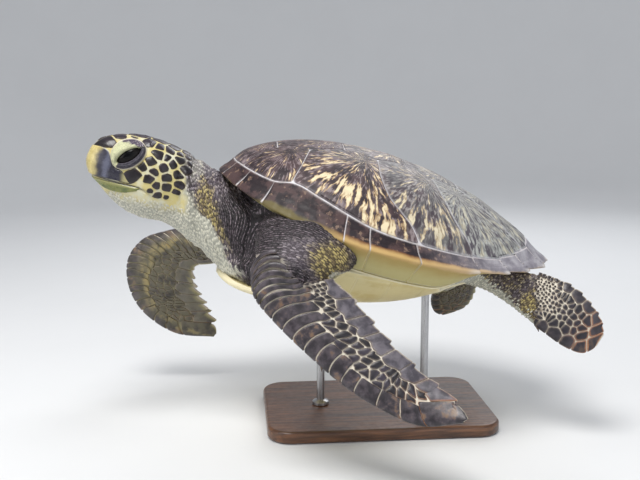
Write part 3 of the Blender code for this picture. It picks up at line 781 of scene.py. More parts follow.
@dataclass
class LimbForm:
    """A limb: leading edge, trailing edge and thickness by station, from inside the trunk to the tip."""

    stations: tuple
    side: float                  # 1 left, -1 right
    teeth: int
    scallop: float
    lean: float = 1.0            # how strongly the seams of the scales lean and curl
    fine: int = 361              # stations of the tables
    steps: int = 64              # steps of the way round half a section

    def __post_init__(self) -> None:
        """Tabulate the limb's axis, chord and blade, and the way round each section."""
        data = hermite(np.linspace(0, 1, len(self.stations)), np.array(self.stations),
                       np.linspace(0, 1, self.fine))
        self.along = np.linspace(0, 1, self.fine)
        lead, trail, self.thick = data[:, :3], data[:, 3:6], data[:, 6]
        chord = lead - trail
        size = np.linalg.norm(chord, axis=1)
        blade = smoothstep(0.42, 0.52, self.along) * (1 - smoothstep(0.95, 1.0, self.along))
        wave = 1 - (self.teeth * self.along % 1.0) ** 1.4
        trail = trail - chord * (self.scallop * blade * (0.75 - wave) / size)[:, None]
        self.chord, self.middle = lead - trail, (lead + trail) / 2
        normal = np.cross(self.chord, np.gradient(self.middle, axis=0))
        self.upward = unit(normal) * self.side
        self.run = np.concatenate([[0], np.cumsum(np.linalg.norm(np.diff(self.middle, axis=0), axis=1))])
        turns = np.linspace(0, math.pi, 97)
        ring = self.section(self.along, turns, 0.0)
        step = np.linalg.norm(np.diff(ring, axis=1), axis=-1)
        way = np.concatenate([np.zeros((self.fine, 1)), np.cumsum(step, axis=1)], axis=1)
        self.girth = way[:, -1]
        shares = np.linspace(0, 1, self.steps + 1)
        self.turn_table = np.array([np.interp(shares, w / w[-1], turns) for w in way])

    def section(self, along: Array, turns: Array, inset: float | Array) -> Array:
        """Rings of the limb: a turn of 0 is the leading edge and a quarter turn the upper side.

        Args:
            along: Shares of the limb's length, one for each ring.
            turns: Turns round the section.
            inset: How far the surface lies inside, for all or for each ring.

        Returns:
            Points by ring.
        """
        inset = inset if np.ndim(inset) == 0 else np.asarray(inset)[:, None]
        return self._place(np.asarray(along)[:, None], np.asarray(turns)[None, :], inset)

    def _place(self, along: Array, turn: Array, inset: float | Array) -> Array:
        """Points of the limb's surface.

        Args:
            along: Shares of the limb's length, broadcast with the turns.
            turn: Turns round the section.
            inset: How far the surface lies inside.

        Returns:
            The points.
        """
        along, turn = np.broadcast_arrays(along, turn)
        at = np.clip(along, 0, 1) * (self.fine - 1)
        low = np.clip(at.astype(int), 0, self.fine - 2)
        part = (at - low)[..., None]

        def read(table: Array) -> Array:
            """Row of a table between two of its stations."""
            return table[low] * (1 - part) + table[low + 1] * part

        thick = np.maximum(read(self.thick[:, None])[..., 0] - 2 * inset, 0.002)
        chord, upward = read(self.chord), unit(read(self.upward))
        size = np.linalg.norm(chord, axis=-1, keepdims=True)
        deep = np.asarray(inset, float)[..., None]
        chord = chord * (1 - 2 * deep / np.maximum(size, 4 * deep + 1e-6))
        fore = np.cos(turn)
        flat = smoothstep(0.15, 0.45, along)
        rise = thick / 2 * np.sin(turn) * (1 + flat * (0.30 * fore - 0.12))
        return read(self.middle) + (fore / 2)[..., None] * chord + rise[..., None] * upward

    def girth_at(self, run: Array) -> Array:
        """Way from the leading to the trailing edge at a run along the limb."""
        return np.interp(run, self.run, self.girth)

    def cells_from(self, part: Array) -> Array:
        """Where the cells begin.

        Args:
            part: Parts of the way from the leading to the trailing edge.

        Returns:
            Shares of the limb's length.
        """
        if self.lean > 0:
            return 0.322 + 0.055 * smoothstep(0.28, 0.62, part)
        waves = 0.012 * np.sin(part * 23) + 0.009 * np.sin(part * 47 + 1)
        return 0.590 - 0.150 * smoothstep(0.0, 0.9, part) + waves

    def shift(self, run: Array, way: Array) -> Array:
        """How far the seams of the cells lean and curl towards the tip.

        Args:
            run: Runs along the limb.
            way: Ways from the leading edge.

        Returns:
            Lengths to add to the runs.
        """
        share = np.clip(run / self.run[-1], 0, 1)
        part = np.minimum(np.abs(way), 0.105)
        slant = -0.58 - 0.40 * smoothstep(0.72, 0.95, share)
        return self.lean * (slant * part + 4.4 * (1 - smoothstep(0.70, 0.92, share)) * part ** 2)

    def surface(self, flat: Array, inset: float = 0.0) -> tuple[Array, Array]:
        """Surface at places of the flat chart.

        Args:
            flat: Run along the limb, and way from the leading edge, more than 0 on the upper side.
            inset: How far the surface lies inside.

        Returns:
            Points and outward directions.
        """
        def point(run: Array, way: Array) -> Array:
            """Points at runs and ways.

            Args:
                run: Runs along the limb.
                way: Ways from the leading edge.

            Returns:
                The points.
            """
            share = np.clip(np.abs(way) / np.maximum(self.girth_at(run), 1e-6), 0, 1) * self.steps
            along = np.interp(run, self.run, self.along)
            row = np.clip((along * (self.fine - 1)).round().astype(int), 0, self.fine - 1)
            low = np.clip(share.astype(int), 0, self.steps - 1)
            turn = self.turn_table[row, low] * (1 - (share - low)) + self.turn_table[row, low + 1] * (share - low)
            return self._place(along, turn * np.where(way < 0, -1, 1), inset)

        run = flat[:, 0] + self.shift(flat[:, 0], flat[:, 1])
        way, step = flat[:, 1], 0.0025
        made = point(run, way)
        outward = unit(np.cross(point(run + step, way) - point(run - step, way),
                                point(run, way + step) - point(run, way - step)))
        along = np.interp(run, self.run, self.along)
        middle = self._place(along, np.full_like(along, math.pi / 2), inset) / 2
        middle += self._place(along, np.full_like(along, -math.pi / 2), inset) / 2
        wrong = np.sum(outward * (made - middle), axis=1) < 0
        return made, outward * np.where(wrong, -1, 1)[:, None]


LIMBS = {
    "front_left": LimbForm((
        (0.360, 0.120, -0.130, 0.140, 0.120, -0.090, 0.200), (0.385, 0.250, -0.105, 0.120, 0.260, -0.065, 0.200),
        (0.388, 0.340, -0.120, 0.115, 0.345, -0.075, 0.170), (0.380, 0.410, -0.160, 0.145, 0.395, -0.095, 0.115),
        (0.360, 0.440, -0.210, 0.175, 0.415, -0.125, 0.068), (0.304, 0.460, -0.251, 0.131, 0.430, -0.150, 0.052),
        (0.214, 0.500, -0.298, 0.066, 0.470, -0.192, 0.042), (0.108, 0.545, -0.344, 0.004, 0.510, -0.230, 0.034),
        (0.012, 0.585, -0.369, -0.088, 0.550, -0.276, 0.027), (-0.092, 0.620, -0.377, -0.152, 0.600, -0.297, 0.020),
        (-0.182, 0.648, -0.336, -0.189, 0.652, -0.326, 0.010)), 1, 13, 0.0095),
    "front_right": LimbForm((
        (0.360, -0.120, -0.130, 0.140, -0.120, -0.100, 0.190), (0.400, -0.220, -0.115, 0.200, -0.250, -0.130, 0.170),
        (0.470, -0.262, -0.160, 0.320, -0.265, -0.240, 0.115), (0.555, -0.280, -0.225, 0.450, -0.265, -0.320, 0.075),
        (0.630, -0.300, -0.268, 0.508, -0.285, -0.350, 0.058), (0.700, -0.315, -0.318, 0.519, -0.300, -0.385, 0.050),
        (0.732, -0.325, -0.400, 0.505, -0.310, -0.425, 0.043), (0.707, -0.340, -0.496, 0.479, -0.320, -0.460, 0.036),
        (0.638, -0.350, -0.572, 0.448, -0.330, -0.495, 0.030), (0.522, -0.355, -0.616, 0.417, -0.340, -0.534, 0.022),
        (0.394, -0.356, -0.598, 0.390, -0.354, -0.588, 0.010)), -1, 13, 0.0210),
    "hind_left": LimbForm((
        (-0.220, 0.060, -0.130, -0.240, 0.090, -0.030, 0.110), (-0.300, 0.135, -0.116, -0.342, 0.125, -0.035, 0.095),
        (-0.365, 0.180, -0.131, -0.423, 0.160, -0.023, 0.066), (-0.422, 0.215, -0.151, -0.479, 0.185, -0.022, 0.046),
        (-0.476, 0.245, -0.170, -0.531, 0.215, -0.030, 0.036), (-0.532, 0.270, -0.189, -0.577, 0.243, -0.056, 0.028),
        (-0.581, 0.288, -0.191, -0.611, 0.265, -0.088, 0.022), (-0.613, 0.292, -0.165, -0.628, 0.283, -0.126, 0.014)),
        1, 11, 0.0070, 0.0),
    "hind_right": LimbForm((
        (-0.220, -0.060, -0.130, -0.250, -0.090, -0.040, 0.110),
        (-0.245, -0.120, -0.135, -0.335, -0.120, -0.060, 0.095),
        (-0.252, -0.165, -0.190, -0.360, -0.160, -0.110, 0.066),
        (-0.260, -0.205, -0.237, -0.385, -0.195, -0.155, 0.046),
        (-0.272, -0.232, -0.275, -0.398, -0.222, -0.195, 0.034),
        (-0.295, -0.250, -0.303, -0.400, -0.242, -0.238, 0.024),
        (-0.325, -0.258, -0.312, -0.388, -0.254, -0.272, 0.014)), -1, 10, 0.0070, 0.0),
}


def past_cells(points: Array) -> Array:
    """How far points of the limbs lie past the border where their cells begin.

    Args:
        points: Body points.

    Returns:
        Shares of the limb's length, or -1 for points away from every limb.
    """
    made = np.full(len(points), -1.0)
    for limb in LIMBS.values():
        low, high = limb.middle.min(0) - 0.12, limb.middle.max(0) + 0.12
        some = np.flatnonzero(np.all((points > low) & (points < high), axis=1))
        place = np.argmin(np.linalg.norm(points[some, None] - limb.middle[None, ::12], axis=-1), axis=1) * 12
        away, chord = points[some] - limb.middle[place], limb.chord[place]
        near = (np.linalg.norm(away, axis=1) < limb.girth[place] * 0.56) & (np.abs(points[some, 1]) > 0.14)
        share = limb.run[place] / limb.run[-1]
        part = 0.5 - np.sum(away * chord, axis=1) / np.sum(chord ** 2, axis=1)
        beyond = np.where(near, share - limb.cells_from(part), -1.0)
        made[some] = np.maximum(made[some], beyond)
    return made


# ---------------------------------------------------------------- eyes, lids and the horn of the jaws

@dataclass(frozen=True)
class EyeForm:
    """Place of an eye and its almond opening, in the side view of the head."""

    corners: tuple = ((0.797, -0.020), (0.743, 0.032))   # front and rear corner (x, z)
    open_up: float = 0.0115
    open_down: float = 0.0175
    lid_along: float = 0.0520
    lid_up: float = 0.0500
    lid_down: float = 0.0370
    ball: tuple[float, float, float] = (0.0470, 0.0300, 0.0340)
    depth: float = 0.0500
    out: float = 0.080           # distance from the midline at which the corners are given

    def frame(self, side: float) -> tuple[Array, Array]:
        """Middle of the opening and its axes: along the slit, across it, and outward.

        Args:
            side: 1 for the left eye, -1 for the right.

        Returns:
            The middle, on the midline of the head, and three rows of directions.
        """
        front, rear = (np.array((x, 0.0, z)) for x, z in self.corners)
        middle = (front + rear) / 2
        middle[1] = float(HEAD.shift(np.array(middle[0])))
        outward = unit(np.array((0.10, side * 1.0, 0.20)))
        middle -= np.array((outward[0], 0, outward[2])) * self.out / abs(outward[1])
        along = rear - front
        along = unit(along - outward * (along @ outward))
        across = np.cross(outward, along)
        return middle, np.array((along, across if across[2] > 0 else -across, outward))

    def reach(self, points: Array, side: float) -> tuple[Array, Array, Array]:
        """Where points lie about the eye.

        Args:
            points: Body points.
            side: 1 for the left eye, -1 for the right.

        Returns:
            Places along and across the slit, and how far out of the lids (1 at their border).
        """
        middle, axes = self.frame(side)
        local = (points - middle) @ axes.T
        high = np.where(local[:, 1] > 0, self.lid_up, self.lid_down)
        out = np.hypot(local[:, 0] / self.lid_along, local[:, 1] / high)
        out = np.where(local[:, 2] > 0.015, out, 9.0)
        return local[:, 0], local[:, 1], out

    def clearance(self, points: Array) -> Array:
        """How far points lie out of the lids of the nearer eye (1 at their border)."""
        return np.minimum(self.reach(points, 1.0)[2], self.reach(points, -1.0)[2])

    def lids(self, side: float, head: BVHTree, rows: int = 26, around: int = 128) -> Shape:
        """Both lids of an eye as one closed ring of skin that bulges over the ball.

        Args:
            side: 1 for the left eye, -1 for the right.
            head: Surface of the head.
            rows: Rings from the rim of the opening to the outer border.
            around: Points in a ring.

        Returns:
            The shape, with the mark lid: 1 on the upper lid and -1 on the lower.
        """
        middle, axes = self.frame(side)
        angle = full_turn(around)
        cosine, sine = np.cos(angle), np.sin(angle)
        half = np.linalg.norm(np.subtract(*self.corners)) / 2
        slit = np.stack([half * cosine, np.where(sine > 0, self.open_up, self.open_down) * sine
                         * np.sqrt(np.abs(sine)) ** 0.3], -1)
        outer = np.stack([self.lid_along * cosine, np.where(sine > 0, self.lid_up, self.lid_down) * sine], -1)
        upper = smoothstep(-0.15, 0.25, sine)
        ring_out = np.empty(around)
        for k, (u, v) in enumerate(outer):
            start = middle + axes[0] * u + axes[1] * v + axes[2] * 0.3
            spot = head.ray_cast(Vector(start), Vector(-axes[2]))[0]
            ring_out[k] = (np.array(spot) - middle) @ axes[2] if spot is not None else 0.04
        ball = self.depth + self.ball[2] * np.sqrt(np.clip(
            1 - (slit[:, 0] / self.ball[0]) ** 2 - (slit[:, 1] / self.ball[1]) ** 2, 0.03, 1))
        rim = np.maximum(ball + 0.0012, ring_out - 0.016 - 0.004 * upper)
        levels = np.concatenate([[-0.14, -0.07, -0.02], np.linspace(0.0, 1.0, rows) ** 1.15])
        rings = []
        for level in levels:
            share = max(level, 0.0)
            place = slit + (outer - slit) * share
            if level < 0:
                place = slit * (1 + 0.25 * level)
            bulge = (0.0150 * upper + 0.0075 * (1 - upper)) * math.sin(math.pi * share ** 0.80) ** 0.85
            fold = 0.0016 * math.sin(share * 15.0) * (1 - share) * smoothstep(0.12, 0.3, share)
            rise = rim + (ring_out - rim) * smoothstep(0.0, 1.0, share) ** 0.8 + bulge + fold * (1 - upper)
            if level < 0:
                rise = rim + 0.06 * level
            sunk = 0.0030 * smoothstep(0.90, 1.0, share)
            rings.append(middle + place[:, :1] * axes[0] + place[:, 1:] * axes[1]
                         + (rise - sunk)[:, None] * axes[2])
        shape = tube(np.array(rings), capped=False)
        shape.turned_out(middle + axes[2] * 0.02)
        forward = smoothstep(0.45, 1.0, -cosine)
        lid = np.tile(2 * smoothstep(-0.15, 0.25, sine + 0.42 * forward) - 1, len(levels))
        rim_mark = np.repeat(1 - smoothstep(0.0, 0.16, np.abs(levels)), around)
        out = np.repeat(np.clip(levels, 0, 1), around)
        local = (shape.points - middle) @ axes.T
        return shape.marked(lid=lid, lid_rim=rim_mark, lid_back=0.5 * out + 0.6 * local[:, 0] / self.lid_along,
                            lid_seam=smoothstep(0.84, 0.93, out))

    def ball_shape(self, side: float) -> Shape:
        """Eyeball.

        Args:
            side: 1 for the left eye, -1 for the right.

        Returns:
            A closed ellipsoid, with its iris bulging a little.
        """
        middle, axes = self.frame(side)
        polar, around = np.linspace(0, math.pi, 34)[1:-1], 64
        turn = full_turn(around)
        rings = []
        for level in polar:
            bulge = 1 + 0.03 * bell(level, 0.45)
            local = np.stack([self.ball[0] * math.sin(level) * np.cos(turn),
                              self.ball[1] * math.sin(level) * np.sin(turn),
                              np.full(around, self.depth + self.ball[2] * math.cos(level) * bulge)], -1)
            rings.append(middle + local @ axes)
        shape = tube(np.array(rings)).turned_out(middle + axes[2] * self.depth)
        away = np.concatenate([np.repeat(polar, around), [0.0, math.pi]])
        return shape.marked(gaze=away)


EYE = EyeForm()


class Jaw(Enum):
    """Horn sheaths of the jaws."""

    UPPER = "beak_upper"
    LOWER = "beak_lower"


@dataclass(frozen=True)
class BeakForm:
    """Horn sheath of a jaw: border points on the left of the head, from the snout back to the mouth's corner."""

    jaw: Jaw
    high: tuple      # (x, y, z) along the upper border
    low: tuple       # (x, y, z) along the lower border
    thickness: float = 0.0006
    sink: float = 0.0080

    def _angles(self, points: tuple) -> tuple[Array, Array]:
        """Turn and climb of border points seen from the middle of the head."""
        away = np.array(points) - HEAD.heart
        return np.arctan2(away[:, 1], away[:, 0]), np.arctan2(away[:, 2], np.hypot(away[:, 0], away[:, 1]))

    def build(self, head: BVHTree, columns: int = 150, rows: int = 44) -> Shape:
        """The sheath as a closed shell over the head's surface.

        Args:
            head: Surface of the head.
            columns: Points from the right corner of the mouth to the left.
            rows: Points from the lower border to the upper.

        Returns:
            The shape, with marks for the way back (0 at the snout) and the way up.
        """
        heart = np.array(HEAD.heart)
        turn_high, climb_high = self._angles(self.high)
        turn_low, climb_low = self._angles(self.low)
        end = min(turn_high[-1], turn_low[-1])
        turns = np.linspace(-end, end, columns)
        top = hermite(turn_high, climb_high, np.abs(turns))
        bottom = hermite(turn_low, climb_low, np.abs(turns))
        up = np.linspace(0, 1, rows)
        climbs = bottom[:, None] + (top - bottom)[:, None] * up[None]
        spot, outward = np.empty((columns, rows, 3)), np.empty((columns, rows, 3))
        for i in range(columns):
            for j in range(rows):
                ray = Vector((math.cos(climbs[i, j]) * math.cos(turns[i]),
                              math.cos(climbs[i, j]) * math.sin(turns[i]), math.sin(climbs[i, j])))
                hit, normal = head.ray_cast(Vector(heart), ray)[:2]
                spot[i, j] = hit if hit is not None else heart + np.array(ray) * 0.08
                outward[i, j] = normal if normal is not None and normal.dot(ray) > 0 else ray
        border = np.minimum(np.minimum(up, 1 - up)[None] * (top - bottom)[:, None] * 0.09,
                            (end - np.abs(turns))[:, None] * 0.05)
        out = EYE.clearance(spot.reshape(-1, 3)).reshape(border.shape)
        border = np.minimum(border, (out - 1.01) * 0.045)
        swell = smoothstep(0, 0.0045, border)
        lip = 0.0016 * bell(up - (0.04 if self.jaw is Jaw.UPPER else 0.96), 0.10)[None] * np.ones((columns, 1))
        rise = (self.thickness + lip) * swell - 0.0030 * (1 - swell) - 0.0040 * smoothstep(1.02, 0.96, out)
        return slab(spot, outward, rise, self.sink, back=np.abs(turns)[:, None] / end, up=up[None])


BEAKS = (
    BeakForm(Jaw.UPPER,
             high=((0.874, 0.037, 0.004), (0.873, 0.050, 0.004), (0.862, 0.062, 0.006), (0.842, 0.076, 0.008),
                   (0.824, 0.084, 0.000), (0.812, 0.090, -0.018), (0.795, 0.097, -0.034), (0.770, 0.103, -0.046),
                   (0.752, 0.107, -0.064), (0.742, 0.108, -0.069)),
             low=((0.882, 0.037, -0.085), (0.870, 0.056, -0.084), (0.840, 0.080, -0.081), (0.800, 0.095, -0.0765),
                  (0.760, 0.105, -0.0735), (0.742, 0.108, -0.0730))),
    BeakForm(Jaw.LOWER,
             high=((0.880, 0.037, -0.089), (0.868, 0.055, -0.088), (0.840, 0.078, -0.085), (0.800, 0.094, -0.0805),
                   (0.760, 0.104, -0.0775), (0.720, 0.110, -0.0765)),
             low=((0.868, 0.037, -0.098), (0.855, 0.055, -0.102), (0.830, 0.068, -0.110), (0.790, 0.088, -0.113),
                  (0.755, 0.101, -0.104), (0.720, 0.110, -0.088))),
)


# ---------------------------------------------------------------- the skin

class Zones:
    """Markings of the flesh, read at points of the body frame by the skin and by its small scales alike.

    Each gold patch has its middle, its stretch along each axis and its width.
    """

    ARM_GOLD = (((0.188, 0.400, -0.088), (1.1, 1.4, 1.0), 0.062), ((0.30, -0.27, -0.22), (1.3, 1.4, 1.1), 0.055))
    LEG_GOLD = (((-0.440, 0.222, -0.118), (1.0, 2.5, 1.2), 0.056), ((-0.32, -0.19, -0.16), (1.2, 2.5, 1.2), 0.045))

    @staticmethod
    def patches(points: Array, table: tuple) -> Array:
        """Strength of the strongest of a table's soft patches."""
        return np.max([bell(np.linalg.norm((points - middle) / stretch, axis=1), width)
                       for middle, stretch, width in table], axis=0)

    @staticmethod
    def fold_field(points: Array) -> tuple[Array, Array]:
        """Which way the folds run.

        Args:
            points: Body points.

        Returns:
            A value that stays the same along a fold, and its direction of growth.
        """
        def level(spot: Array) -> Array:
            """Value that stays the same along a fold.

            Args:
                spot: Body points.

            Returns:
                One value for each point.
            """
            x, y, z = spot.T
            side = y > 0
            away = spot - np.where(side[:, None], (0.285, 0.40, -0.235), (0.40, -0.30, -0.26))
            near = smoothstep(0.07, 0.18, np.abs(y - 0.01)) * smoothstep(0.54, 0.42, x)
            neck = x - 0.56 * z - 0.187
            front = neck + near * (np.linalg.norm(away, axis=1) - neck)
            return np.where(x < -0.1, -0.8 * x + 0.35 * np.abs(y) - 0.5 * z, front)

        step = 0.002 * np.eye(3)
        slope = np.stack([level(points + d) - level(points - d) for d in step], -1)
        return level(points), unit(slope)

    @staticmethod
    def read(points: Array, outward: Array) -> dict[str, Array]:
        """Strength of each marking.

        Args:
            points: Body points.
            outward: Outward directions.

        Returns:
            pale: cream underside; dusk: near-black shoulder; gold: yellow patches; all from 0 to 1.
        """
        x, y, z = points.T
        drift = 0.018 * value_noise(points, 22.0, 3) + 0.008 * value_noise(points, 60.0, 4)
        line = np.where(x > 0.60, -0.035 - 0.02 * np.clip((x - 0.6) / 0.1, 0, 1), -0.040 + 1.02 * (x - 0.58))
        line = np.where(x < 0.36, -0.255 + 0.2 * (0.36 - x), line)
        front = x > -0.1
        above = z - line + drift
        pale_front = (1 - smoothstep(-0.035, 0.012, above)) * np.maximum(
            smoothstep(-0.20, -0.155, y), smoothstep(0.10, 0.50, -outward[:, 2]))
        pale_front = np.maximum(pale_front, smoothstep(0.25, 0.65, -outward[:, 2]) * smoothstep(0.56, 0.50, x))
        neck = smoothstep(0.23, 0.19, np.abs(y))
        pale_front = np.maximum(pale_front, 0.50 * neck * smoothstep(0.555, 0.585, x + 2 * drift))
        pale_rear = smoothstep(-0.15, 0.55, -outward[:, 2] + 12 * drift)
        pale = np.where(front, pale_front, pale_rear)
        width = 0.044 + 0.024 * smoothstep(0.46, 0.54, x)
        neck_gold = np.exp(-((above - 0.020) / width) ** 2) * smoothstep(0.38, 0.46, x) * smoothstep(0.590, 0.545, x)
        neck_gold *= neck * (0.50 + 0.24 * bell(x - 0.52, 0.06))
        arm_gold = Zones.patches(points, Zones.ARM_GOLD)
        leg_gold = np.maximum(Zones.patches(points, Zones.LEG_GOLD),
                              0.50 * smoothstep(-0.22, -0.30, x) * (0.8 + 12 * drift))
        gold = np.clip(0.95 * neck_gold + arm_gold + leg_gold, 0, 1)
        away = np.minimum(np.abs(x - 0.36) / 0.17, 2)
        dusk = smoothstep(1.0, 0.62, away) * smoothstep(0.045, 0.105, np.abs(y - 0.012))
        dusk = dusk * smoothstep(-0.02, 0.045, above + 0.02 * (x < 0.40))
        dusk = np.maximum(dusk, smoothstep(0.455, 0.425, x) * smoothstep(-0.14, -0.10, z)) * front
        dusk = dusk * (1 - 0.8 * bell(np.linalg.norm(points - (0.290, 0.412, -0.078), axis=1), 0.042))
        return {"pale": np.clip(pale * (1 - 0.75 * dusk), 0, 1), "dusk": dusk * (1 - 0.9 * np.minimum(arm_gold, 1)),
                "gold": gold}


@dataclass
class Skin:
    """One skin over all of the flesh."""

    voxel: float = 0.0029
    inset: float = 0.0018
    blade_from: float = 0.40     # share of a limb's length at which its blade begins
    thinned: float = 0.955       # share of the faces inside the shell that is left out
    fine_from: float = 0.585     # station from which the head's faces are cut finer
    nodes: tuple[str, ...] = ("head", "neck", "trunk", "tail", "arm_left", "arm_right", "leg_left", "leg_right",
                              "flipper_front_left", "flipper_front_right", "flipper_hind_left",
                              "flipper_hind_right")

    def trunk(self) -> Shape:
        """Flesh of the trunk, which stands back at the two openings of the shell.

        Returns:
            A closed shape.
        """
        turns = np.linspace(-math.pi, math.pi, 144, endpoint=False)
        x = SHELL.rim_radius(turns) * np.cos(turns) + SHELL.centre
        bridge = smoothstep(-0.26, -0.16, x) * (1 - smoothstep(0.14, 0.22, x))
        reach = 0.80 + 0.055 * bridge
        lift = np.array((0, 0, SHELL.plate + 0.003))
        rings = [SHELL.dome(turns, np.full_like(turns, s)) - lift for s in (0.18, 0.36, 0.53, 0.68, 0.79)]
        for share in (1.0, 0.96, 0.84, 0.66, 0.42):
            ring = SHELL.underside(turns, share * reach) + (0, 0, SHELL.plate / 2)
            if share > 0.98:
                ring[:, 2] = (ring[:, 2] + rings[-1][:, 2]) / 2
            rings.append(ring)
        return tube(np.array(rings)).turned_out(np.array((0.05, 0, -0.05)))

    def tail(self) -> Shape:
        """Short tail of a young animal.

        Returns:
            A closed shape.
        """
        rows = hermite((0, 1, 2, 3), np.array(((-0.33, -0.078, 0.045), (-0.40, -0.082, 0.036),
                                               (-0.45, -0.086, 0.024), (-0.50, -0.092, 0.006))),
                       np.linspace(0, 3, 24))
        turns = full_turn(32)
        rings = [np.column_stack([np.full_like(turns, x), r * np.cos(turns), z + 0.8 * r * np.sin(turns)])
                 for x, z, r in rows]
        return tube(np.array(rings)).turned_out(np.array((-0.40, 0, -0.08)))

    @staticmethod
    def pad(middle: tuple[float, float, float], size: tuple[float, float, float]) -> Shape:
        """Soft pad of flesh where the belly shell ends.

        Args:
            middle: Its middle.
            size: Its half sizes.

        Returns:
            A closed shape.
        """
        level = np.linspace(0, math.pi, 26)[1:-1, None]
        turn = full_turn(48)[None]
        ring = np.stack([np.cos(level) + 0 * turn, np.sin(level) * np.cos(turn), np.sin(level) * np.sin(turn)], -1)
        return tube(ring * size + middle).turned_out(np.array(middle))

    def fused(self) -> tuple[Array, list[tuple[int, ...]]]:
        """Trunk, head, tail and roots of the limbs fused into one body.

        Returns:
            Body points and faces.
        """
        turns = full_turn(72)
        parts = [self.trunk(), tube(HEAD.rings(150, 112)).turned_out(np.array((0.6, 0.01, -0.07))), self.tail(),
                 self.pad((0.365, 0.0, -0.212), (0.108, 0.170, 0.050)),
                 self.pad((0.398, 0.0, -0.249), (0.070, 0.128, 0.029)),
                 self.pad((-0.330, 0.0, -0.084), (0.080, 0.120, 0.030))]
        for limb in LIMBS.values():
            along = np.linspace(0, self.blade_from + 0.10, 70)
            inset = 0.009 * smoothstep(self.blade_from + 0.035, self.blade_from + 0.10, along)
            parts.append(tube(limb.section(along, turns, inset)).turned_out(limb.middle[30]))
        whole = merged(parts)
        mesh = bpy.data.meshes.new("flesh")
        mesh.from_pydata(BODY.to_world(whole.points).tolist(), [], whole.faces)
        flesh = bpy.data.objects.new("flesh", mesh)
        bpy.context.scene.collection.objects.link(flesh)
        remesh = flesh.modifiers.new("fuse", "REMESH")
        remesh.mode, remesh.voxel_size, remesh.adaptivity = "VOXEL", self.voxel, 0.0
        kept = bpy.data.meshes.new_from_object(flesh.evaluated_get(bpy.context.evaluated_depsgraph_get()))
        points = np.empty(len(kept.vertices) * 3)
        kept.vertices.foreach_get("co", points)
        hidden = self._buried(BODY.to_body(points.reshape(-1, 3)))
        flesh.modifiers.clear()
        flesh.data = kept
        group = flesh.vertex_groups.new(name="buried")
        group.add(np.flatnonzero(hidden).tolist(), 1.0, "REPLACE")
        thin = flesh.modifiers.new("thin", "DECIMATE")
        thin.ratio = 1 - self.thinned * float(hidden.mean())
        thin.vertex_group = "buried"
        final = bpy.data.meshes.new_from_object(flesh.evaluated_get(bpy.context.evaluated_depsgraph_get()))
        shape = bmesh.new()
        shape.from_mesh(final)
        points = BODY.to_body(np.array([v.co for v in shape.verts]))
        for vertex, x in zip(shape.verts, points[:, 0]):
            vertex.tag = bool(x > self.fine_from)
        fine = [e for e in shape.edges if e.verts[0].tag and e.verts[1].tag]
        bmesh.ops.subdivide_edges(shape, edges=fine, cuts=1, use_grid_fill=True)
        points = BODY.to_body(np.array([v.co for v in shape.verts]))
        shape.verts.index_update()
        faces = [tuple(v.index for v in f.verts) for f in shape.faces]
        shape.free()
        bpy.data.objects.remove(flesh, do_unlink=True)
        return points, faces

    @staticmethod
    def _buried(points: Array) -> Array:
        """Which points lie hidden in the shell.

        Args:
            points: Body points.

        Returns:
            True where they do.
        """
        turn, share = SHELL.polar(points[:, :2])
        top = SHELL.dome(turn, np.minimum(share, 1.0))[:, 2]
        low = SHELL.underside(turn, np.minimum(share, 1.0))[:, 2]
        return (share < 0.72) & (points[:, 2] < top - 0.010) & (points[:, 2] > low + 0.004)

    @staticmethod
    def smoothed(points: Array, faces: list[tuple[int, ...]], rounds: int, weight: Array | float) -> Array:
        """Points eased towards the middle of their neighbours.

        Args:
            points: Points.
            faces: Faces that join them.
            rounds: How many times.
            weight: How far to go each time, from 0 to 1.

        Returns:
            The new points.
        """
        ends = np.array([(a, b) for f in faces for a, b in zip(f, f[1:] + f[:1])])
        count = len(points)
        share = np.bincount(ends[:, 0], minlength=count) + np.bincount(ends[:, 1], minlength=count)
        weight = np.broadcast_to(np.asarray(weight, float), count)[:, None]
        for _ in range(rounds):
            total = np.stack([np.bincount(ends[:, 0], points[ends[:, 1], k], count)
                              + np.bincount(ends[:, 1], points[ends[:, 0], k], count) for k in range(3)], -1)
            points = points + weight * (total / np.maximum(share, 1)[:, None] - points)
        return points

    @staticmethod
    def normals(points: Array, faces: list[tuple[int, ...]]) -> Array:
        """Outward directions at the points.

        Args:
            points: Points.
            faces: Faces that join them.

        Returns:
            Directions of length 1.
        """
        total = np.zeros_like(points)
        for size in (3, 4):
            some = np.array([f for f in faces if len(f) == size])
            if len(some):
                corner = points[some]
                across = np.cross(corner[:, 2] - corner[:, 0], corner[:, -1] - corner[:, 1])
                for k in range(size):
                    for axis in range(3):
                        total[:, axis] += np.bincount(some[:, k], across[:, axis], len(points))
        return unit(total)

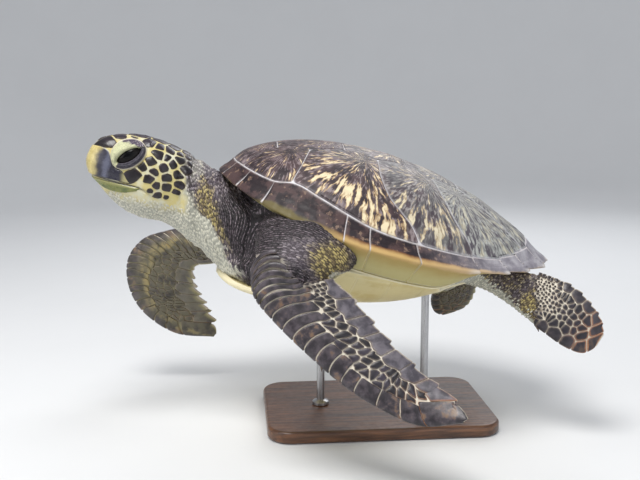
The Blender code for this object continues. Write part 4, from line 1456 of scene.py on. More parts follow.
    def relief(self, points: Array, outward: Array) -> Array:
        """How far folds and features raise the skin.

        Args:
            points: Body points.
            outward: Outward directions.

        Returns:
            Heights.
        """
        x, y, z = points.T
        value, _ = Zones.fold_field(points)
        warp = 0.35 * value_noise(points, 30.0, 7) + 0.20 * value_noise(points, 75.0, 8)
        neck = smoothstep(0.30, 0.36, x) * smoothstep(0.600, 0.570, x)
        shoulder = smoothstep(0.52, 0.44, x) * smoothstep(0.08, 0.14, np.abs(y)) * (x > 0.0)
        zone = Zones.read(points, outward)
        coarse = np.sin(2 * math.pi * (value / 0.0300 + warp))
        fine = np.sin(2 * math.pi * (value / 0.0135 + 1.3 * warp))
        height = 0.0016 * coarse * neck * (1 - 0.5 * zone["pale"]) + 0.0011 * fine * np.maximum(neck, shoulder)
        height += 0.0012 * fine * (x < -0.15)
        height -= 0.011 * smoothstep(-0.175, -0.130, z) * smoothstep(0.11, 0.17, x) * smoothstep(
            0.44, 0.36, x) * smoothstep(0.24, 0.31, y)
        collar = x - 0.30 * (z + 0.06) - 0.588
        height += 0.0060 * bell(collar, 0.011) * smoothstep(-0.17, -0.12, z) * smoothstep(0.02, -0.02, z)
        height -= 0.0035 * bell(collar - 0.021, 0.007) * smoothstep(-0.14, -0.10, z) * smoothstep(0.02, -0.02, z)
        height -= 0.0050 * bell(collar + 0.024, 0.010)
        throat = smoothstep(0.60, 0.64, x) * smoothstep(-0.085, -0.12, z)
        height += 0.0008 * np.sin(2 * math.pi * ((x * 0.5 - z) / 0.012 + 1.4 * warp)) * throat
        corner = np.interp(x, (0.672, 0.72, 0.77), (-0.094, -0.0775, -0.0765))
        height -= 0.0050 * bell(z - corner, 0.0028) * smoothstep(0.666, 0.690, x) * smoothstep(0.80, 0.75, x)
        for side in SIDES:
            _, across, out = EYE.reach(points, side)
            height -= 0.022 * smoothstep(1.0, 0.86, out)
            height -= 0.0022 * bell(out - 1.06, 0.06)
            height += 0.0030 * bell(out - 1.24, 0.12) * (across > 0) * smoothstep(0.800, 0.775, x)
        return height

    def build(self) -> tuple[Shape, BVHTree]:
        """The whole skin, with its folds, lids and blades.

        Returns:
            The shape with its marks, and its surface for rays.
        """
        points, faces = self.fused()
        log.info("fused flesh: %d faces, %d of them triangles", len(faces), sum(len(f) == 3 for f in faces))
        x, y = points[:, 0], np.abs(points[:, 1])
        crease = smoothstep(0.50, 0.42, x) * smoothstep(0.20, 0.26, x) * smoothstep(0.30, 0.22, y)
        crease = np.maximum(crease, smoothstep(-0.20, -0.26, x) * smoothstep(0.22, 0.16, y))
        points = self.smoothed(points, faces, 3, 0.5)
        points = self.smoothed(points, faces, 26, 0.6 * crease)
        outward = self.normals(points, faces)
        points = points - outward * self.inset
        points = points + outward * self.relief(points, outward)[:, None]
        body = Shape(points, faces)
        blades = []
        for limb in LIMBS.values():
            along = np.linspace(self.blade_from, 1.0, 220)
            inset = self.inset + 0.007 * smoothstep(self.blade_from + 0.065, self.blade_from, along)
            turns = full_turn(72)
            blade = tube(limb.section(along, turns, inset)).turned_out(limb.middle[250])
            # The mark lower picks the faces that look down; the skin's finish paints shade on them.
            blade.marked(blade=smoothstep(0.000, 0.040, past_cells(blade.points)), hull=0.0,
                         lower=np.resize(smoothstep(0.0, -0.3, np.sin(turns)), len(blade.points)))
            blades.append(blade)
        plain = {"lid": 0.0, "lid_rim": 0.0, "lid_back": 0.0, "lid_seam": 0.0}
        cream = smoothstep(0.000, 0.040, past_cells(points))
        # On the body too, lower marks the faces that look down, which take painted shade where the blade colour shows.
        parts = [body.marked(**plain, blade=cream, hull=1.0, lower=smoothstep(0.1, -0.2, outward[:, 2])),
                 *(b.marked(**plain) for b in blades)]
        parts += [EYE.lids(side, HEAD_SURFACE).marked(blade=0.0, hull=0.0, lower=0.0) for side in SIDES]
        whole = merged(parts)
        whole.marked(**Zones.read(whole.points, self.normals(whole.points, whole.faces)),
                     fold=Zones.fold_field(whole.points)[0])
        x, z = whole.points[:, 0], whole.points[:, 2]
        warp = 0.010 * value_noise(whole.points, 60.0, 21)
        # The mark mouth lays a dark line of painted shade along the crease where the jaws meet.
        whole.marked(face=smoothstep(-0.012, 0.016, x - 0.30 * (z + 0.06) - 0.594 + warp)
                     * smoothstep(-0.135, -0.100, z + warp),
                     mouth=bell(z + 0.0785, 0.0035) * smoothstep(0.69, 0.74, x))
        return whole, BVHTree.FromPolygons(body.points.tolist(), body.faces)


HEAD_MESH = tube(HEAD.rings(220, 160)).turned_out(np.array((0.6, 0.01, -0.07)))
HEAD_SURFACE = BVHTree.FromPolygons(HEAD_MESH.points.tolist(), HEAD_MESH.faces)


# ---------------------------------------------------------------- the shell and its scutes

@dataclass(frozen=True)
class Scute:
    """A plate of the dome: its border and growth centre in plan, and how greyed and flamed it is."""

    name: str
    border: tuple
    centre: tuple[float, float]
    grey: float
    flame: float
    mirrored: bool = True


def rim_line(start: float, end: float, count: int = 26) -> tuple:
    """Line along the seam of the rim plates.

    Args:
        start: Turn at which it begins.
        end: Turn at which it ends.
        count: Number of places.

    Returns:
        Plan places.
    """
    turns = np.linspace(start, end, count)
    radius = SHELL.rim_radius(turns) * SHELL.seam(turns)
    return tuple(zip(SHELL.centre + radius * np.cos(turns), radius * np.sin(turns)))


def seam_line(*points: tuple[float, float]) -> tuple:
    """Smooth line through points.

    Args:
        points: Plan places.

    Returns:
        Plan places along the line.
    """
    knots = np.array(points)
    run = np.concatenate([[0], np.cumsum(np.linalg.norm(np.diff(knots, axis=0), axis=1))])
    return tuple(map(tuple, hermite(run, knots, np.linspace(0, run[-1], 16))))


@dataclass
class ShellDress:
    """Upper shell with its scutes, and the belly shell with its own."""

    gap: float = 0.0023
    rise: float = 0.0013
    around: int = 300            # points round a scute
    turns: tuple = (0.295, 0.79, 1.876, 2.292, 2.853)    # rim turns where the side scutes begin and end
    flame_arc: tuple = ((0.256, 0.222), (0.230, 0.246), (0.190, 0.262), (0.146, 0.292), (0.098, 0.326),
                        (0.046, 0.338))                  # line of the flames on the second side scute
    flame_line: tuple = ((0.004, 0.330), (-0.110, 0.296))                     # and on the third
    belly_stations: tuple = (-0.385, -0.36, -0.30, -0.20, -0.10, 0.04, 0.20, 0.30, 0.38, 0.435, 0.455)
    belly_widths: tuple = (0.030, 0.060, 0.100, 0.150, 0.175, 0.190, 0.205, 0.190, 0.150, 0.100, 0.055)
    belly_ends: tuple = (-0.383, -0.235, -0.085, 0.100, 0.270, 0.405, 0.452)  # seams across the belly
    bridge_ends: tuple = (-0.170, -0.085, 0.008, 0.100, 0.185)                # seams across the bridge
    bridge_edge: float = 0.873   # share of the radius where the bridge meets the rim
    belly_seam: float = 0.0016   # half the gap between belly plates

    def base(self) -> Shape:
        """Shell under the scutes: dome, rim and hollow inside.

        Returns:
            A closed shape, with the mark under (1 on the underside).
        """
        turn = np.linspace(-math.pi, math.pi, 320, endpoint=False)
        lift = np.array((0, 0, SHELL.plate))
        rows = [(SHELL.dome(turn, np.full_like(turn, s)) - (0, 0, 0.0008), 0.0)
                for s in np.concatenate([np.linspace(0.012, 0.86, 40), np.linspace(0.875, 0.994, 14)])]
        rows.append((SHELL.dome(turn, np.ones_like(turn)) - (0, 0, 0.004), 0.3))
        rows += [(SHELL.flange(turn, np.full_like(turn, s)) - (0, 0, d), 1.0)
                 for s, d in ((0.99, 0.003), (0.975, 0.002), (0.95, 0), (0.93, 0), (0.90, 0), (0.873, 0))]
        rows.append((SHELL.flange(turn, np.full_like(turn, 0.872)) + lift * 0.75, 1.0))
        rows += [(SHELL.dome(turn, np.full_like(turn, s)) - lift, 1.0) for s in (0.90, 0.8, 0.6, 0.4, 0.2, 0.05)]
        shape = tube(np.array([r[0] for r in rows])).turned_out(np.array((0.08, 0, 0.0)))
        return shape.marked(under=np.concatenate([np.repeat([r[1] for r in rows], len(turn)), [0, 1]]))

    def scutes(self) -> list[Scute]:
        """Plates of the dome: the middle row, and the left side's row that is mirrored.

        Returns:
            The plates.
        """
        a, b, c, d, e = self.turns
        side = ((0.375, 0.075), (0.288, 0.112), (0.190, 0.085), (0.097, 0.118), (0.010, 0.078),
                (-0.070, 0.095), (-0.165, 0.055))

        def mirror(points: tuple) -> tuple:
            """The right half of a border, in turn."""
            return tuple((x, -y) for x, y in reversed(points))

        nape, tail = rim_line(0.0, a), rim_line(e, math.pi)
        cuts = (seam_line(side[1], (0.296, 0.150), (0.312, 0.212), rim_line(b, b, 1)[0]),
                seam_line(side[3], (0.089, 0.221), (0.065, 0.279), (0.013, 0.322), rim_line(c, c, 1)[0]),
                seam_line(side[5], (-0.097, 0.190), (-0.136, 0.266), rim_line(d, d, 1)[0]))
        rows = [Scute("neural_1", mirror(nape + side[:1]) + nape + side[:1], (0.385, 0.0), 0.0, -0.40, False),
                Scute("neural_2", side[:3] + mirror(side[:3]), (0.225, 0.0), 0.1, -0.10, False),
                Scute("neural_3", side[2:5] + mirror(side[2:5]), (0.045, 0.0), 0.3, 0.35, False),
                Scute("neural_4", side[4:7] + mirror(side[4:7]), (-0.125, 0.0), 0.6, 0.3, False),
                Scute("neural_5", side[6:] + tail + mirror(side[6:] + tail), (-0.245, 0.0), 0.9, 0.25, False),
                Scute("costal_1", rim_line(a, b) + cuts[0][::-1] + side[:1], (0.335, 0.120), 0.0, -0.45),
                Scute("costal_2", cuts[0] + rim_line(b, c) + cuts[1][::-1] + side[2:3], (0.135, 0.150), 0.15, 1.0),
                Scute("costal_3", cuts[1] + rim_line(c, d) + cuts[2][::-1] + side[4:5], (-0.045, 0.140), 0.5, 0.52),
                Scute("costal_4", cuts[2] + rim_line(d, e) + side[6:], (-0.150, 0.110), 0.9, 0.30)]
        return rows

    def plate(self, scute: Scute, flip: float = 1.0) -> Shape:
        """One closed plate of the dome.

        Args:
            scute: The plate.
            flip: -1 for its mirror image.

        Returns:
            The shape, with marks for growth rings, fans of streaks, greying and flames.
        """
        border = even_outlines(np.array(scute.border)[None], self.around)[0]
        for _ in range(14):
            border = border + 0.5 * ((np.roll(border, 1, 0) + np.roll(border, -1, 0)) / 2 - border)
        middle = border.mean(0)
        along = np.roll(border, -1, 0) - np.roll(border, 1, 0)
        inward = unit(np.stack([-along[:, 1], along[:, 0]], -1))
        inward *= np.sign(np.sum(inward * (middle - border), axis=1))[:, None]
        border = even_outlines((border + inward * self.gap / 2)[None], self.around)[0]
        away = border - middle
        size = np.linalg.norm(away, axis=1, keepdims=True)
        steps = [(0.0, -0.004), (0.0, 0.25), (0.0004, 0.7), (0.0012, 0.95), (0.0030, 1.0)]
        rings, rises = [away * (1 - inset / size) for inset, _ in steps], [rise for _, rise in steps]
        for share in np.linspace(0.97, 0.0, 40, endpoint=False) ** 0.9:
            rings.append(away * share)
            rises.append(1.0)
        plan = np.concatenate([np.concatenate(rings), np.zeros((2, 2))]) + middle
        rise = np.concatenate([np.repeat(rises, self.around), [1.0, -0.004]]) * self.rise
        gaze = plan - scute.centre
        reach = np.linalg.norm(gaze, axis=1)
        tree = KDTree(len(border))
        for n, point in enumerate(border):
            tree.insert((*point, 0.0), n)
        tree.balance()
        clear = np.array([tree.find((*point, 0.0))[2] for point in plan])
        ring = reach / (reach + clear + 1e-6)
        rise += np.where(rise > self.rise * 0.9, 0.00022 * np.sin(ring * 46 + 2 * value_noise(
            np.column_stack([plan, plan[:, 0] * 0]), 14.0, 5)) * smoothstep(0.0, 0.02, clear), 0)
        point, outward = SHELL.over(plan)
        rows, around = len(rings), self.around
        shape = tube((point + outward * rise[:, None])[:-2].reshape(rows, around, 3), capped=False)
        top, base, last = rows * around, rows * around + 1, (rows - 1) * around
        steps = [(i, (i + 1) % around) for i in range(around)]
        shape.faces += [(last + i, last + j, top) for i, j in steps] + [(j, i, base) for i, j in steps]
        end = point[-1:] - outward[-1:] * 0.006
        shape.points = np.concatenate([shape.points, point[-2:-1] + outward[-2:-1] * rise[-2], end])
        shape.turned_out(np.array((0.05, 0, -0.20)))
        if flip < 0:
            shape.mirrored()
        fan = gaze / np.maximum(reach, 1e-6)[:, None]
        seed = sum(map(ord, scute.name)) % 17 + (5.3 if flip < 0 else 0)
        return shape.marked(ring=ring, fan_x=fan[:, 0], fan_y=fan[:, 1], rim=np.exp(-clear / 0.010),
                            grey=np.clip(scute.grey + 0.35 * smoothstep(0.05, -0.35, plan[:, 0]) - 0.1, 0, 1),
                            blaze=self.flames(scute, plan, ring), hue=seed / 17, reach=reach)

    def flames(self, scute: Scute, plan: Array, ring: Array) -> Array:
        """Where cream flames lie on a plate.

        Args:
            scute: The plate.
            plan: Plan places.
            ring: Share of the way from the growth centre to the border.

        Returns:
            Strength from 0 to 1.
        """
        arc = hermite(range(len(self.flame_arc)), np.array(self.flame_arc), np.linspace(0, len(self.flame_arc) - 1, 60))
        if scute.name == "costal_3":
            arc = np.linspace(*self.flame_line, 30)
        near = np.min(np.linalg.norm(plan[:, None] - arc[None], axis=-1), axis=1)
        strength = scute.flame * (0.15 + 0.60 * bell(ring - 0.66, 0.20))
        if scute.name in ("costal_2", "costal_3"):
            strength = np.maximum(strength * 0.34, scute.flame * 0.92 * bell(near, 0.030))
        return np.clip(strength, -1, 1)

    def rim_plate(self, start: float, end: float, flip: float) -> Shape:
        """One plate of the rim, which wraps over its edge.

        Args:
            start: Share of the rim at which it begins, less than 0 for the plate over the nape.
            end: Share at which it ends.
            flip: -1 for its mirror image.

        Returns:
            The shape, with marks for its way round the rim, its border and its greying.
        """
        half = self.gap / 2 / SHELL.rim_length
        columns = max(14, int(abs(end - start) * 420))
        shares = np.linspace(start + half, end - half, columns)
        ways = np.concatenate([np.linspace(0.014, 0.90, 23), np.linspace(0.93, 1.12, 9), np.linspace(1.16, 1.96, 16)])
        turn = SHELL.turn_at(np.abs(shares)) * np.sign(shares)
        turn, way = np.meshgrid(turn, ways, indexing="ij")
        slant = 0.030 * smoothstep(0.10, 0.30, end) * (way.clip(0, 1) - 0.5)
        point = SHELL.rim_profile(turn + slant, way)
        outward = unit(np.cross(np.gradient(point, axis=0), np.gradient(point, axis=1)))
        outward *= np.sign(np.sum(outward[:, 0] * (0, 0, 1), axis=-1).mean())
        side = np.minimum(shares - shares[0], shares[-1] - shares)[:, None] * SHELL.rim_length
        width = SHELL.rim_radius(turn) * (1 - SHELL.seam(turn))
        border = np.minimum(side, np.minimum(way - 0.014, 1.96 - way) * width * 0.9)
        swell = smoothstep(-0.0004, 0.0012, border) ** 0.7
        tone = 0.0002 * np.sin(way * 30 + 3 * shares[:, None] * 20)
        shape = slab(point, outward, (self.rise + tone) * swell - 0.0006 * (1 - swell), 0.0040, way=way,
                     rim=np.exp(-border / 0.0045), grey=smoothstep(0.50, 0.80, np.abs(shares))[:, None],
                     hue=(end * 7.3) % 1.0 + 0 * way, fore=smoothstep(0.42, 0.30, np.abs(shares))[:, None],
                     nape=smoothstep(0.24, 0.17, np.abs(shares))[:, None],
                     notch=smoothstep(0.0, 1.0, (np.abs(shares) - abs(start)) / max(end - start, 0.01))[:, None])
        return shape if flip > 0 else shape.mirrored()

    def rim_plates(self) -> Shape:
        """All plates of the rim.

        Returns:
            One shape.
        """
        edges = SHELL.rim_plates
        plates = [self.rim_plate(-edges[0], edges[0], 1.0)]
        for flip in SIDES:
            plates += [self.rim_plate(a, b, flip) for a, b in zip(edges, edges[1:])]
        return merged(plates)

    def belly_half_width(self, x: Array) -> Array:
        """Half width of the belly shell: it reaches out to the rim along the bridge.

        Args:
            x: Stations along the body.

        Returns:
            Half widths.
        """
        bridge = smoothstep(-0.20, -0.11, x) * (1 - smoothstep(0.13, 0.20, x))
        plain = hermite(self.belly_stations, np.array(self.belly_widths), x)
        turns = np.linspace(0.02, math.pi - 0.02, 400)
        plan_x = SHELL.centre + self.bridge_edge * SHELL.rim_radius(turns) * np.cos(turns)
        plan_y = self.bridge_edge * SHELL.rim_radius(turns) * np.sin(turns)
        edge = np.interp(x, plan_x[::-1], plan_y[::-1])
        return plain + (edge - plain) * bridge

    def belly_sheet(self, x: Array, across: Array, rise: float, sink: float) -> Shape:
        """Closed sheet over part of the belly.

        Args:
            x: Stations along the body.
            across: Shares of the half width, from -1 to 1.
            rise: Height of the outer sheet.
            sink: Depth of the inner sheet.

        Returns:
            The shape, with the mark rim at its border.
        """
        station, share = np.meshgrid(x, across, indexing="ij")
        plan = np.stack([station, share * self.belly_half_width(station)], -1)
        point, outward = SHELL.under(plan)
        side = np.minimum(plan[..., 1] - plan[:, :1, 1], plan[:, -1:, 1] - plan[..., 1])
        border = np.minimum(side, np.minimum(station - x[0], x[-1] - station))
        swell = smoothstep(-0.0004, 0.0025, border) ** 0.7
        return slab(point, outward, rise * swell - 0.0008 * (1 - swell), sink, rim=np.exp(-border / 0.006))

    @staticmethod
    def welt(side: float) -> Shape:
        """Pale welt where the bridge meets the rim.

        Args:
            side: 1 for the left, -1 for the right.

        Returns:
            A closed shape.
        """
        along = np.linspace(0, 1, 110)
        turn = 1.24 + (2.30 - 1.24) * along
        middle = SHELL.flange(turn, np.full_like(turn, 0.8725))
        outward = np.stack([np.cos(turn), np.sin(turn), np.zeros_like(turn)], -1)
        round_by = full_turn(10)
        thick = 0.0026 * np.minimum(1, np.minimum(along, 1 - along) * 12 + 0.08)[:, None, None]
        ring = outward[:, None] * np.cos(round_by)[None, :, None] + np.array((0, 0, 1.0)) * np.sin(
            round_by)[None, :, None]
        shape = tube(middle[:, None] + ring * thick).turned_out(middle.mean(0)).marked(rim=1.0)
        return shape if side > 0 else shape.mirrored()

    def belly(self) -> tuple[Shape, Shape]:
        """Belly shell: the body of it, and its paired plates.

        Returns:
            The base and the plates.
        """
        base = self.belly_sheet(np.linspace(self.belly_stations[0], self.belly_stations[-1], 120),
                                np.sin(np.linspace(-1, 1, 81) * math.pi / 2), 0.0, SHELL.plate)

        def pair(low: float, high: float, rows: int, inner: float, outer: float, columns: int) -> list[Shape]:
            """Left and right plate between two seams.

            Args:
                low: Station of the rear seam.
                high: Station of the front seam.
                rows: Points along the plate.
                inner: Share of the half width at which it begins.
                outer: Share at which it ends.
                columns: Points across the plate.

            Returns:
                Both shapes.
            """
            x = np.linspace(low + self.belly_seam, high - self.belly_seam, rows)
            share = np.linspace(inner, outer, columns)
            return [self.belly_sheet(x, (share * side)[::side], 0.0010, 0.004) for side in (1, -1)]

        plates = []
        for low, high in zip(self.belly_ends, self.belly_ends[1:]):
            outer = 0.60 - 0.008 if low > -0.2 and high < 0.25 else 0.985
            plates += pair(low, high, max(10, int((high - low) * 320)), 0.010, outer, 44)
        plates += [self.welt(side) for side in SIDES]
        for low, high in zip(self.bridge_ends, self.bridge_ends[1:]):
            plates += pair(low, high, 40, 0.612, 0.978, 30)
        return base, merged(plates)


# ---------------------------------------------------------------- scales

@dataclass
class HeadScales:
    """Dark plates of the head, as places on its left side with their reach, mirrored to the right."""

    cheek: tuple = (     # x, y, z, half length, half width, lean in degrees
        (0.744, 0.109, -0.044, 0.026, 0.015, -52), (0.729, 0.108, -0.014, 0.0135, 0.0125, -30),
        (0.706, 0.101, 0.005, 0.0175, 0.0105, -28), (0.689, 0.087, 0.025, 0.019, 0.0125, -12),
        (0.666, 0.084, 0.022, 0.0115, 0.0095, -20), (0.646, 0.088, 0.010, 0.0125, 0.011, -40),
        (0.667, 0.100, -0.005, 0.0115, 0.0115, 0), (0.691, 0.109, -0.022, 0.0125, 0.0075, 5),
        (0.699, 0.111, -0.044, 0.0155, 0.0105, -15), (0.652, 0.105, -0.030, 0.0135, 0.0100, -10),
        (0.623, 0.096, -0.015, 0.0130, 0.0110, -20), (0.609, 0.086, 0.003, 0.0155, 0.0130, 25),
        (0.628, 0.074, 0.026, 0.0145, 0.0120, -35), (0.677, 0.111, -0.058, 0.0105, 0.0095, 0),
        (0.647, 0.107, -0.055, 0.0135, 0.0100, 8), (0.615, 0.101, -0.041, 0.0125, 0.0110, 20),
        (0.601, 0.067, 0.021, 0.0085, 0.0085, 0), (0.687, 0.111, -0.076, 0.0095, 0.0055, -5),
        (0.667, 0.108, -0.084, 0.0125, 0.0070, -12), (0.620, 0.103, -0.062, 0.0110, 0.0065, 15),
        (0.643, 0.105, -0.084, 0.0070, 0.0050, 0))
    crown: tuple = (
        (0.846, 0.060, 0.022, 0.026, 0.020, 0), (0.722, 0.058, 0.050, 0.018, 0.017, -20),
        (0.692, 0.062, 0.046, 0.014, 0.014, 0), (0.664, 0.056, 0.044, 0.018, 0.013, -15),
        (0.634, 0.050, 0.037, 0.014, 0.010, -20), (0.612, 0.044, 0.034, 0.011, 0.009, 0),
        (0.810, 0.040, 0.045, 0.018, 0.016, 0), (0.768, 0.052, 0.054, 0.012, 0.012, 0),
        (0.655, 0.032, 0.046, 0.018, 0.016, 0), (0.618, 0.026, 0.040, 0.014, 0.012, 0))
    middle: tuple = ((0.760, 0.0215, 0.060, 0.038, 0.024, 0), (0.698, 0.0155, 0.062, 0.026, 0.018, 0),
                     (0.858, 0.0345, 0.026, 0.010, 0.008, 0), (0.600, 0.008, 0.040, 0.012, 0.010, 0))
    gap: float = 0.0046
    grow: float = 1.28           # how far past its reach a plate may grow to meet its neighbours
    rays: int = 96
    chart: float = 4.0           # room for each plate's own chart

    def places(self) -> tuple[Array, Array, Array]:
        """Middle of each plate, its reach and its lean, on both sides.

        Returns:
            Points, half sizes, and the direction of the long axis.
        """
        table = np.array(self.cheek + self.crown)
        other = table.copy()
        other[:, 1] = 2 * HEAD.shift(other[:, 0]) - other[:, 1]
        middle = np.array(self.middle)
        middle[:, 1] = HEAD.shift(middle[:, 0])
        every = np.concatenate([table, other, middle])
        lean = np.radians(every[:, 5])
        axis = np.stack([np.cos(lean), np.zeros(len(every)), np.sin(lean)], -1)
        return every[:, :3], every[:, 3:5], axis

    def build(self, skin: BVHTree) -> Shape:
        """All plates of the head.

        Args:
            skin: Surface of the skin.

        Returns:
            One shape, with the mark edge.
        """
        seeds, sizes, axes = self.places()
        seeds = np.array([skin.find_nearest(Vector(p))[0] for p in seeds])
        up = np.zeros_like(seeds)
        for step in np.concatenate([np.eye(3), -np.eye(3)]) * 0.010:
            face = np.array([skin.find_nearest(Vector(p + step))[1] for p in seeds])
            up += face * np.sign(np.sum(face * (seeds - HEAD.heart), axis=1))[:, None]
        up = unit(up)
        first = unit(axes - up * np.sum(axes * up, axis=1, keepdims=True))
        second = np.cross(up, first)
        away = seeds[None] - seeds[:, None]
        span = np.linalg.norm(away, axis=-1)
        span[span < SAME_PLACE] = NO_NEIGHBOUR
        order = np.argsort(span, axis=1)[:, :12]
        near = np.take_along_axis(away, order[..., None], axis=1)
        local = np.stack([np.einsum("nkc,nc->nk", near, first), np.einsum("nkc,nc->nk", near, second)], -1)
        grow = np.linalg.norm(near, axis=-1) / np.maximum(np.linalg.norm(local, axis=-1), 1e-6)
        local *= np.minimum(grow, 1.6)[..., None]
        share = sizes.mean(1)[:, None] / (sizes.mean(1)[:, None] + sizes.mean(1)[order])
        local *= 2 * np.clip(share, 0.36, 0.64)[..., None]
        turn = full_turn(self.rays)
        a, b = sizes[:, :1] * self.grow, sizes[:, 1:] * self.grow
        shape = (np.abs(np.cos(turn) / a) ** 2.6 + np.abs(np.sin(turn) / b) ** 2.6) ** (-1 / 2.6)
        wave = 1 + 0.06 * np.sin(3 * turn + 5 * seeds[:, :1] * 40) + 0.05 * np.sin(2 * turn + seeds[:, 2:] * 90)

        def fence(offset: Array) -> Array:
            """Distance from the lids.

            Args:
                offset: Places from the seeds.

            Returns:
                The distances.
            """
            spot = seeds[:, None] + first[:, None] * offset[..., :1] + second[:, None] * offset[..., 1:]
            return (EYE.clearance(spot.reshape(-1, 3)).reshape(offset.shape[:2]) - 1.01) * 0.042

        outlines = cell_outlines(local, self.gap, 0.0020, shape * wave, fence)
        def surface(flat: Array) -> tuple[Array, Array]:
            """Skin at places of the plates' own charts, laid side by side.

            Args:
                flat: Places of the charts.

            Returns:
                Points and outward directions.
            """
            index = np.clip((flat[:, 0] / self.chart + 0.5).astype(int), 0, len(seeds) - 1)
            u, v = flat[:, 0] - index * self.chart, flat[:, 1]
            start = seeds[index] + first[index] * u[:, None] + second[index] * v[:, None]
            hits = [skin.ray_cast(Vector(p + n * 0.03), Vector(-n), 0.08) for p, n in zip(start, up[index])]
            hits = [h if h[0] is not None else skin.find_nearest(Vector(p)) for h, p in zip(hits, start)]
            spot = np.array([h[0] for h in hits])
            face = np.array([h[1] if h[1] is not None else n for h, n in zip(hits, up[index])])
            face = unit(face * np.sign(np.sum(face * up[index], axis=1))[:, None] + 1.5 * up[index])
            return spot, face

        chart = np.stack([np.arange(len(seeds)) * self.chart, np.zeros(len(seeds))], -1)
        cut = PlateCut(thickness=0.0020, crown=0.0010, edge=0.0030, sink=0.0030, around=40)
        made = cut.build(chart, outlines, surface, {"number": np.arange(len(seeds)) * 1.0}, (1.0, 0.0, 0.0))
        index = made.marks.pop("number").astype(int)
        offset = made.flat - chart[index]
        angle = np.arctan2(seeds[:, 1] - HEAD.shift(seeds[:, 0]), seeds[:, 2] + 0.05)
        root = np.stack([(seeds[:, 0] - 0.5) / 0.8 + 0.1, 0.5 + angle / (2 * math.pi) * 0.9], -1)
        made.flat = root[index] + offset * 0.25
        return made


